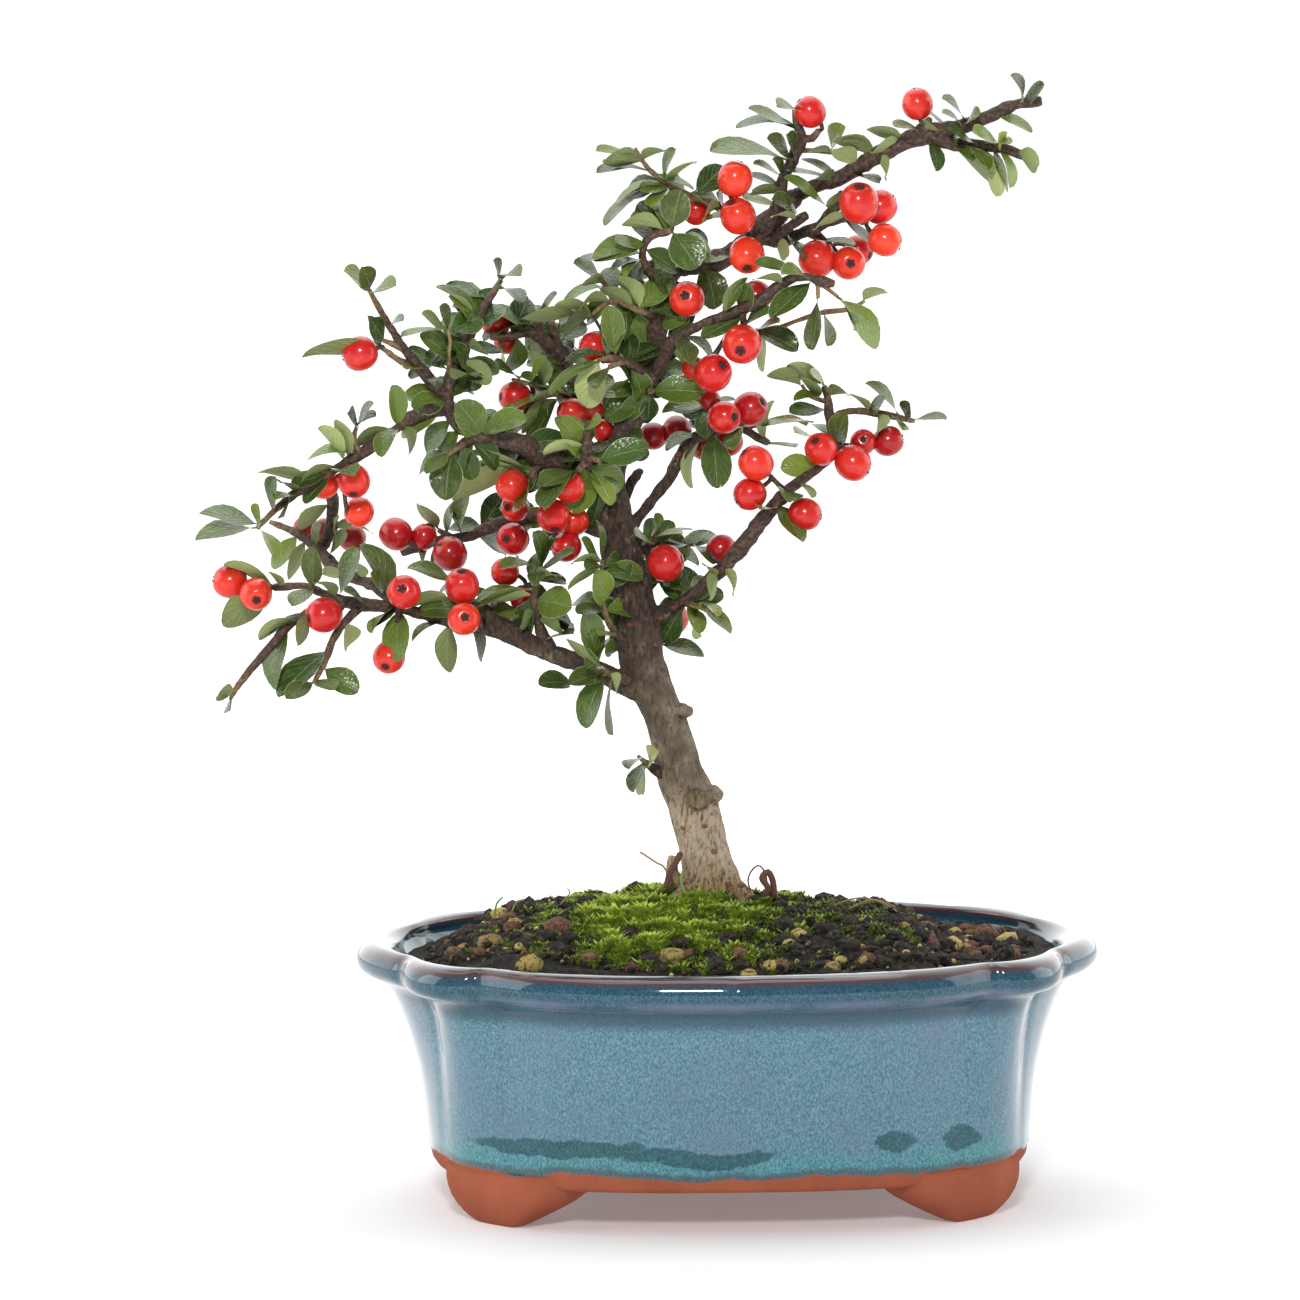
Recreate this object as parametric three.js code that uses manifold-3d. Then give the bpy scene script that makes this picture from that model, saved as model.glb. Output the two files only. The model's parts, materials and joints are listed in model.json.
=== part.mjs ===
// Cotoneaster praecox bonsai in a glazed, lobed pot. Millimetres, +Z up, front towards -Y.
import * as THREE from 'three';
import Module from 'manifold-3d';

const wasm = await Module();
wasm.setup();
const { Manifold, Mesh } = wasm;

// The photo's view. Positions in the crown are given as a point of the picture and a depth, which is
// measured in mm behind (+) or in front of (-) the pot's centre.
const PICTURE_CENTRE = 650;
const FOCAL_PIXELS = 5610;
const VIEW_DISTANCE = 1500;
const VIEW_HEIGHT = 286;
const VIEW_PITCH = THREE.MathUtils.degToRad(5.275);
const VIEW_TURN = THREE.MathUtils.degToRad(-1.5);
const VIEW_ROLL = THREE.MathUtils.degToRad(0.4);
const VIEW_SIDE_STEP = 20.3;

// Pot
const RIM_HALF_LENGTH = 100;
const RIM_HALF_DEPTH = 78;
const RIM_TOP = 70;
const BASE_UNDERSIDE = 11;
const FLOOR_TOP = 18;
const DRAIN_RADIUS = 8;
const DRAIN_OFFSET = 42;
// One quarter of the rim's plan from the front's middle round to the side's tip, in mm.
const FRONT_LOBE = [[0, -78], [28, -75.8], [52, -68.5], [67.5, -56.8]];
const CORNER_LOBE = [[79, -54.5], [86.8, -42.5], [87.5, -32.5]];
const SIDE_LOBE = [[96, -18], [100, 0]];
// The power of the plain rounded oval that the lobes flatten out to.
const OVAL_POWER = 2.8;
// Half length, half depth, height and share of the lobes of each level, from the underside up round the
// rim and down inside.
const OUTER_LEVELS = [[78, 60, 11, 0.2], [80.5, 62.5, 15, 0.2], [83.8, 65.5, 38, 0.5], [88.8, 69, 54, 0.9],
  [91.5, 70.8, 59.5, 1], [98.6, 76.8, 62, 1], [100, 78, 65.5, 1], [94.5, 72.5, 70, 0.6]];
const INNER_LEVELS = [[88, 65.5, 66, 0.4], [83, 62.5, 55, 0.8], [76, 57.5, 24, 0.3], [72, 54, 18, 0.2]];
const FOOT_CENTRE = [57, 40];
const FOOT_SIDES = 10;
const FOOT_LEVELS = [[19.5, 15, 12.2, 0], [18, 14, 8, 0.5], [11, 9.5, 2.5, 2.5], [7.5, 6.5, 0, 3]];

// Soil, drain cover and wire
const SOIL_GAP = 0.3;
const SOIL_EDGE = 64.5;
const SOIL_RISE = 12.3;
// The mound rises once more round the trunk and slopes a little to the right.
const TRUNK_RISE = 4.5;
const RIGHT_SLOPE = 0.15;
const COVER_RADIUS = 11;
const COVER_THICKNESS = 0.8;
const COVER_WINDOWS = [[0, 0], [-6, 0], [6, 0], [0, -6], [0, 6]];
const WIRE_RADIUS = 0.8;
const WIRE_TOP = FLOOR_TOP + SOIL_GAP / 2 + COVER_THICKNESS + SOIL_GAP + WIRE_RADIUS;
const DISC_SIDES = 12;

// Growth
const SEAT_GAP = 0.3;
// How far a limb may miss one of its stations, in picture pixels.
const STATION_TOLERANCE = 2.4;
// Least radius in mm and number of sides of a limb.
const LIMB_SIDES = [[5, 9], [2, 6], [1.2, 5], [0.7, 4], [0, 3]];
const BLADE_THICKNESS = 0.6;
const BLADE_FOLD = 0.22;
const BLADE_DROOP = 0.1;
const LEAF_LENGTH = 13;
const LEAF_WIDTH_SHARE = 0.6;
const PETIOLE_RADIUS = 0.42;
const STALK_RADIUS = 0.6;
const BERRY_SIDES = 6;
const STALK_SIDES = 3;
const BERRY_CHORD_ALLOWANCE = 1.05;
const LEAF_GAP = 0.15;
// How far out from the twig's middle a leaf starts, as a share of the twig's radius.
const ROOT_SHARE = 0.3;
const LEAST_KEPT_SHARE = 0.8;
const TRIMMING_COST = 200;
const SHORTEST_EDGE = 0.003;
// Points are told apart to a thousandth of a mm.
const ROUNDING = 1000;
// Each leaf that shows at least this area, in square picture pixels, is built.
const LEAST_SHOWN_AREA = 400;
// Share of the way along the blade and share of its full width, for one edge.
const BLADE_EDGE = [[0.4, 0.45], [0.78, 0.4]];

const vector = (x, y, z) => new THREE.Vector3(x, y, z);
const UP = vector(0, 0, 1);
const AHEAD_LEVEL = vector(-Math.sin(VIEW_TURN), Math.cos(VIEW_TURN), 0);
const RIGHT_LEVEL = vector(Math.cos(VIEW_TURN), Math.sin(VIEW_TURN), 0);
const AHEAD = AHEAD_LEVEL.clone().multiplyScalar(Math.cos(VIEW_PITCH)).addScaledVector(UP, -Math.sin(VIEW_PITCH));
const UP_LEVEL = AHEAD_LEVEL.clone().multiplyScalar(Math.sin(VIEW_PITCH)).addScaledVector(UP, Math.cos(VIEW_PITCH));
const RIGHT = RIGHT_LEVEL.clone().multiplyScalar(Math.cos(VIEW_ROLL)).addScaledVector(UP_LEVEL, -Math.sin(VIEW_ROLL));
const PICTURE_UP = UP_LEVEL.clone().multiplyScalar(Math.cos(VIEW_ROLL)).addScaledVector(RIGHT_LEVEL, Math.sin(VIEW_ROLL));
const EYE = UP.clone().multiplyScalar(VIEW_HEIGHT)
  .addScaledVector(AHEAD_LEVEL, -VIEW_DISTANCE)
  .addScaledVector(RIGHT_LEVEL, -VIEW_SIDE_STEP);

// The point that the picture shows at (across, down), this many mm behind the pot's centre.
function fromPicture([across, down, depth]) {
  const ray = AHEAD.clone()
    .addScaledVector(RIGHT, (across - PICTURE_CENTRE) / FOCAL_PIXELS)
    .addScaledVector(PICTURE_UP, -(down - PICTURE_CENTRE) / FOCAL_PIXELS);
  return EYE.clone().addScaledVector(ray, (VIEW_DISTANCE + depth) / ray.dot(AHEAD_LEVEL));
}

const pixelsToMm = (pixels, depth) => pixels * (VIEW_DISTANCE + depth) / FOCAL_PIXELS;

// The same number between 0 and 1 for the same seed.
function vary(seed) {
  const value = Math.sin(seed * 12.9898) * 43758.5453;
  return value - Math.floor(value);
}

// Solids
function solidFrom(points, faces) {
  const vertProperties = new Float32Array(points.flatMap((point) => [point.x, point.y, point.z]));
  const mesh = new Mesh({ numProp: 3, vertProperties, triVerts: new Uint32Array(faces.flat()) });
  mesh.merge();
  return new Manifold(mesh);
}

// Skins closed rings of points, which must run anticlockwise seen from ahead of the last ring. Each end
// closes on the middle of its ring, or on a pole if one is given.
function skin(rings, poles = []) {
  const points = rings.flat();
  const count = rings[0].length;
  const faces = [];
  for (let row = 0; row < rings.length - 1; row += 1) {
    for (let column = 0; column < count; column += 1) {
      const next = (column + 1) % count;
      const low = row * count;
      const high = low + count;
      faces.push([low + column, low + next, high + next], [low + column, high + next, high + column]);
    }
  }
  const first = points.length;
  points.push(poles[0] || centreOf(rings[0]), poles[1] || centreOf(rings[rings.length - 1]));
  const top = (rings.length - 1) * count;
  for (let column = 0; column < count; column += 1) {
    const next = (column + 1) % count;
    faces.push([first, next, column], [first + 1, top + column, top + next]);
  }
  return solidFrom(points, faces);
}

function centreOf(ring) {
  const sum = ring.reduce((total, point) => total.add(point), vector(0, 0, 0));
  return sum.divideScalar(ring.length);
}

function unite(solids) {
  return Manifold.union(solids);
}

// A round limb through the points, with a radius at each.
function limb(points, radii, sides, extra = 0) {
  const rings = [];
  let side = null;
  points.forEach((point, index) => {
    const before = points[Math.max(index - 1, 0)];
    const after = points[Math.min(index + 1, points.length - 1)];
    const along = after.clone().sub(before).normalize();
    if (!side) {
      side = Math.abs(along.z) > 0.9 ? vector(1, 0, 0) : vector(0, 0, 1);
    }
    side = side.clone().addScaledVector(along, -side.dot(along)).normalize();
    const other = along.clone().cross(side);
    const end = (index === 0 ? -1 : 0) + (index === points.length - 1 ? 1 : 0);
    const centre = point.clone().addScaledVector(along, end * extra);
    const radius = radii[index] + extra;
    const ring = [];
    for (let step = 0; step < sides; step += 1) {
      const angle = 2 * Math.PI * step / sides;
      ring.push(centre.clone()
        .addScaledVector(side, radius * Math.cos(angle))
        .addScaledVector(other, radius * Math.sin(angle)));
    }
    rings.push(ring);
  });
  return skin(rings);
}

// A limb whose stations are given as picture point, depth and radius in picture pixels.
function pictureLimb(stations, extra = 0) {
  const kept = keyStations(stations);
  const points = kept.map(fromPicture);
  const radii = kept.map((station) => pixelsToMm(station[3], station[2]));
  return limb(points, radii, sidesFor(Math.max(...radii)), extra);
}

// Leaves out the stations that a straight limb between their neighbours already passes through.
function keyStations(stations) {
  const first = stations[0];
  const last = stations[stations.length - 1];
  let worst = 0;
  let worstIndex = 0;
  for (let index = 1; index < stations.length - 1; index += 1) {
    const station = stations[index];
    const run = Math.hypot(station[0] - first[0], station[1] - first[1]);
    const rest = Math.hypot(last[0] - station[0], last[1] - station[1]);
    const share = run / (run + rest);
    const miss = Math.max(...station.map((value, axis) => (
      Math.abs(value - first[axis] - share * (last[axis] - first[axis])))));
    if (miss > worst) {
      worst = miss;
      worstIndex = index;
    }
  }
  if (worst < STATION_TOLERANCE) {
    return [first, last];
  }
  return [...keyStations(stations.slice(0, worstIndex + 1)), ...keyStations(stations.slice(worstIndex)).slice(1)];
}

// A thicker limb has more sides.
function sidesFor(radius) {
  return LIMB_SIDES.find(([least]) => radius >= least)[1];
}

function largestBody(solid) {
  const bodies = solid.decompose();
  return bodies.reduce((best, body) => (body.volume() > best.volume() ? body : best));
}

// Draws the ends of every edge shorter than the given length together, and drops the triangles that
// close up by it, singly or as two that then lie back to back.
function closeShortEdges(positions, triangles, shortest) {
  const leader = Array.from({ length: positions.length / 3 }, (unused, index) => index);
  const find = (index) => (leader[index] === index ? index : find(leader[index]));
  const distance = (first, second) => Math.hypot(...[0, 1, 2].map((axis) => (
    positions[first * 3 + axis] - positions[second * 3 + axis])));
  for (let start = 0; start < triangles.length; start += 3) {
    for (let corner = 0; corner < 3; corner += 1) {
      const first = find(triangles[start + corner]);
      const second = find(triangles[start + (corner + 1) % 3]);
      if (first !== second && distance(first, second) < shortest) {
        leader[Math.max(first, second)] = Math.min(first, second);
      }
    }
  }
  const kept = new Map();
  for (let start = 0; start < triangles.length; start += 3) {
    const corners = [0, 1, 2].map((corner) => find(triangles[start + corner]));
    if (new Set(corners).size < 3) {
      continue;
    }
    const key = [...corners].sort((first, second) => first - second).join(' ');
    if (kept.has(key)) {
      kept.delete(key);
    } else {
      kept.set(key, corners);
    }
  }
  return [...kept.values()].flat();
}

// A solid's vertices and triangles, with its shortest edges closed.
function cleanMesh(solid) {
  const mesh = solid.getMesh();
  const positions = Float32Array.from(mesh.vertProperties);
  return { positions, triangles: closeShortEdges(positions, mesh.triVerts, SHORTEST_EDGE) };
}

// Whether every edge still joins two triangles once the points that round to one place are one.
function isSound(solid) {
  const { positions, triangles } = cleanMesh(solid);
  const places = new Map();
  const placeOf = (index) => {
    const key = [0, 1, 2].map((axis) => Math.round(positions[index * 3 + axis] * ROUNDING)).join(' ');
    if (!places.has(key)) {
      places.set(key, places.size);
    }
    return places.get(key);
  };
  const uses = new Map();
  for (let start = 0; start < triangles.length; start += 3) {
    const corners = [0, 1, 2].map((corner) => placeOf(triangles[start + corner]));
    for (let corner = 0; corner < 3; corner += 1) {
      const pair = [corners[corner], corners[(corner + 1) % 3]].sort((first, second) => first - second);
      const key = pair.join(' ');
      uses.set(key, (uses.get(key) || 0) + 1);
    }
  }
  return [...uses.values()].every((count) => count === 2);
}

// Pot
const potQuarter = () => [...FRONT_LOBE, ...CORNER_LOBE, ...SIDE_LOBE];

// The whole outline, mirrored from the quarter that runs from the front's middle to the right tip.
function planFrom(quarter) {
  const front = quarter[0][0] === 0 ? 1 : 0;
  const right = [...quarter, ...quarter.slice(0, -1).reverse().map(([x, y]) => [x, -y])];
  const left = right.slice(front, right.length - front).reverse().map(([x, y]) => [-x, y]);
  return [...right, ...left];
}

function potLevel(plan, [halfLength, halfDepth, height, lobes]) {
  return plan.map(([x, y]) => {
    const reach = (Math.abs(x) / RIM_HALF_LENGTH) ** OVAL_POWER + (Math.abs(y) / RIM_HALF_DEPTH) ** OVAL_POWER;
    const spread = THREE.MathUtils.lerp(reach ** (-1 / OVAL_POWER), 1, lobes);
    return vector(x * spread * halfLength / RIM_HALF_LENGTH, y * spread * halfDepth / RIM_HALF_DEPTH, height);
  });
}

function ovalRing(centre, halfLength, halfDepth, height, sides) {
  const ring = [];
  for (let step = 0; step < sides; step += 1) {
    const angle = 2 * Math.PI * (step + 0.5) / sides;
    ring.push(vector(centre[0] + halfLength * Math.cos(angle), centre[1] + halfDepth * Math.sin(angle), height));
  }
  return ring;
}

function disc(centreX, radius, low, high) {
  return skin([low, high].map((height) => ovalRing([centreX, 0], radius, radius, height, DISC_SIDES)));
}

function makeFoot(sideX, sideY) {
  const rings = FOOT_LEVELS.slice().reverse().map(([halfLength, halfDepth, height, shift]) => (
    ovalRing([sideX * (FOOT_CENTRE[0] + shift), sideY * (FOOT_CENTRE[1] + shift)],
      halfLength, halfDepth, height, FOOT_SIDES)));
  return skin(rings);
}

function makePot() {
  const plan = planFrom(potQuarter());
  const body = skin(OUTER_LEVELS.map((level) => potLevel(plan, level)));
  const hollowLevels = INNER_LEVELS.slice().reverse().map((level) => potLevel(plan, level));
  hollowLevels.push(potLevel(plan, [94.5, 72.5, RIM_TOP, 0.6]), potLevel(plan, [94.5, 72.5, RIM_TOP + 5, 0.6]));
  const feet = [makeFoot(1, 1), makeFoot(1, -1), makeFoot(-1, 1), makeFoot(-1, -1)];
  const drains = [-DRAIN_OFFSET, DRAIN_OFFSET].map((x) => (
    disc(x, DRAIN_RADIUS, BASE_UNDERSIDE - 5, FLOOR_TOP + 5)));
  return unite([body.subtract(skin(hollowLevels)), ...feet]).subtract(unite(drains));
}

// Soil
const STONES = [
  // x, y, radius and how far it stands out of the soil
  [74, -8, 4.2, 2.4], [60, -4, 3.0, 1.8], [63, -26, 3.4, 2.0], [-44, -14, 4.6, 2.6], [-56, -20, 3.4, 2.0],
  [-50, -38, 3.4, 1.8], [-14, -50, 3.6, 1.8], [19, -34, 3.0, 1.6], [-66, 14, 3.4, 2.0], [66, 26, 3.2, 1.8],
];

function soilHeight(x, y) {
  const rightEnd = THREE.MathUtils.smoothstep(x, 44, 60);
  const leftEnd = THREE.MathUtils.smoothstep(-x, 50, 82);
  const slope = 1 - RIGHT_SLOPE * THREE.MathUtils.smoothstep(x, 5, 40);
  const plateau = slope * (1 - 0.8 * rightEnd) * (1 - leftEnd);
  const crest = 1 - Math.pow(Math.abs(y) / 68, 2.2);
  const nearTrunk = TRUNK_RISE * Math.exp(-((x + 8) ** 2 + y ** 2) / 500);
  return SOIL_EDGE + SOIL_RISE * plateau * Math.max(crest, 0) + nearTrunk;
}

function makeStone([x, y, radius, stand], index) {
  const top = soilHeight(x, y) + stand;
  const rings = [[0.55, -1.6], [1, -0.9], [0.6, 0]].map(([spread, height], level) => (
    ovalRing([x, y], radius * spread * (0.9 + 0.2 * vary(index + level)),
      radius * spread * (0.85 + 0.2 * vary(index * 3 + level)), top + height * radius, 5)));
  return skin(rings);
}

// The quarter's points that a coarser outline keeps without leaving the pot's inside.
const SOIL_PLAN_POINTS = [1, 3, 5, 6, 8];

function makeSoil(woodCutter, coverRooms) {
  const plan = planFrom(potQuarter().filter((point, index) => SOIL_PLAN_POINTS.includes(index)));
  const walls = INNER_LEVELS.slice(1).reverse().map(([halfLength, halfDepth, height, lobes], index) => (
    potLevel(plan, [halfLength - SOIL_GAP, halfDepth - SOIL_GAP, index === 0 ? height + SOIL_GAP : height, lobes])));
  walls.push(potLevel(plan, [83.5, 62.5, 60, 0.6]));
  const tops = [0.98, 0.84, 0.62, 0.36].map((share) => (
    potLevel(plan, [84 * share, 63 * share, 0, 0.5])
      .map((point) => vector(point.x, point.y, soilHeight(point.x, point.y)))));
  const mound = skin([...walls, ...tops], [null, vector(0, 0, soilHeight(0, 0))]);
  const stones = STONES.map(makeStone);
  return largestBody(unite([mound, ...stones]).subtract(woodCutter).subtract(coverRooms));
}

function squarePost(x, y, half, low, high) {
  return skin([low, high].map((height) => (
    [[half, half], [-half, half], [-half, -half], [half, -half]].map(([dx, dy]) => vector(x + dx, y + dy, height)))));
}

function makeCover(x) {
  const low = FLOOR_TOP + SOIL_GAP / 2;
  const plate = disc(x, COVER_RADIUS, low, low + COVER_THICKNESS);
  const windows = COVER_WINDOWS.map(([dx, dy]) => squarePost(x + dx, dy, 2, low - 3, low + 3));
  return plate.subtract(unite(windows));
}

// The room that the soil leaves over a drain cover and its wire.
function coverRoom(x) {
  return disc(x, COVER_RADIUS + SOIL_GAP, FLOOR_TOP - 1, WIRE_TOP + WIRE_RADIUS + SOIL_GAP);
}

function makeWire(x) {
  const top = WIRE_TOP;
  const low = BASE_UNDERSIDE - WIRE_RADIUS - SEAT_GAP;
  const route = [[-15, low], [-6, low], [-6, top], [6, top], [6, low], [15, low]];
  const points = route.map(([across, height]) => vector(x + across, 0, height));
  return limb(points, points.map(() => WIRE_RADIUS), 6);
}

// Bare wood: picture point, depth and radius in pixels at each station.
const TRUNK = [[720, 985, 0, 14], [714, 925, 0, 30], [711, 888, 0, 31.5], [707, 864, 0, 26.5],
  [702.5, 842, 0, 24.5], [697, 820, 0, 25], [691, 799, 0, 24.5], [681, 777, 0, 24.5], [674.5, 751, 0, 21.5],
  [668.5, 729, 0, 20.5], [662, 712, 0, 20], [655, 694, 0, 20.5], [650, 681, 0, 21], [641, 658, 0, 22.5],
  [638.5, 632, 0, 23], [633, 603, 0, 22], [627, 577, 0, 21.5], [620, 545, 0, 20], [613, 504, 2, 17],
  [612, 480, 3, 13], [616, 455, 4, 12.5]];
const THICK_LIMBS = [
  // lower left limb and its pruned stub
  [[642, 690, 0, 12], [620, 682, -2, 12], [600, 671, -5, 9.5], [575, 661, -8, 9], [545, 651, -10, 9.5],
    [520, 638, -12, 11], [500, 628, -13, 11.5], [484, 625, -14, 10]],
  [[500, 626, -13, 8], [490, 614, -14, 6], [481, 605, -14, 4]],
  // middle left limb
  [[612, 488, 2, 13], [594, 476, -1, 12], [575, 467, -4, 12]],
  // back left limb
  [[612, 534, 2, 10], [590, 526, 5, 8], [566, 523, 8, 7]],
  // right limbs
  [[648, 622, 0, 10], [664, 611, -1, 7], [680, 603, -2, 6]],
  [[626, 534, 2, 9], [640, 515, 4, 5.5], [652, 500, 6, 5], [669, 478, 9, 6], [683, 451, 12, 6], [694, 438, 14, 6]],
  [[620, 508, 5, 7], [632, 482, 9, 5], [641, 470, 12, 4]],
];
const KNOBS_AND_ROOTS = [
  [[668, 712, -2, 9], [684, 711, -3, 7.5], [690, 713, -3, 4]],
  [[698, 797, -2, 14], [714, 795, -3, 10], [722, 798, -3, 5]],
  [[698, 800, -4, 13], [698, 800, -7.5, 10.5]],
  [[692, 890, -3, 8], [673, 876, -5, 7.5], [674, 856, -5, 5]],
  [[712, 880, 0, 18], [738, 892, -5, 11], [762, 918, -9, 6]],
  [[702, 886, -2, 16], [680, 900, -9, 10], [656, 926, -15, 6]],
  [[714, 880, 4, 16], [728, 888, 18, 9], [738, 912, 30, 5]],
];

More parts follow.
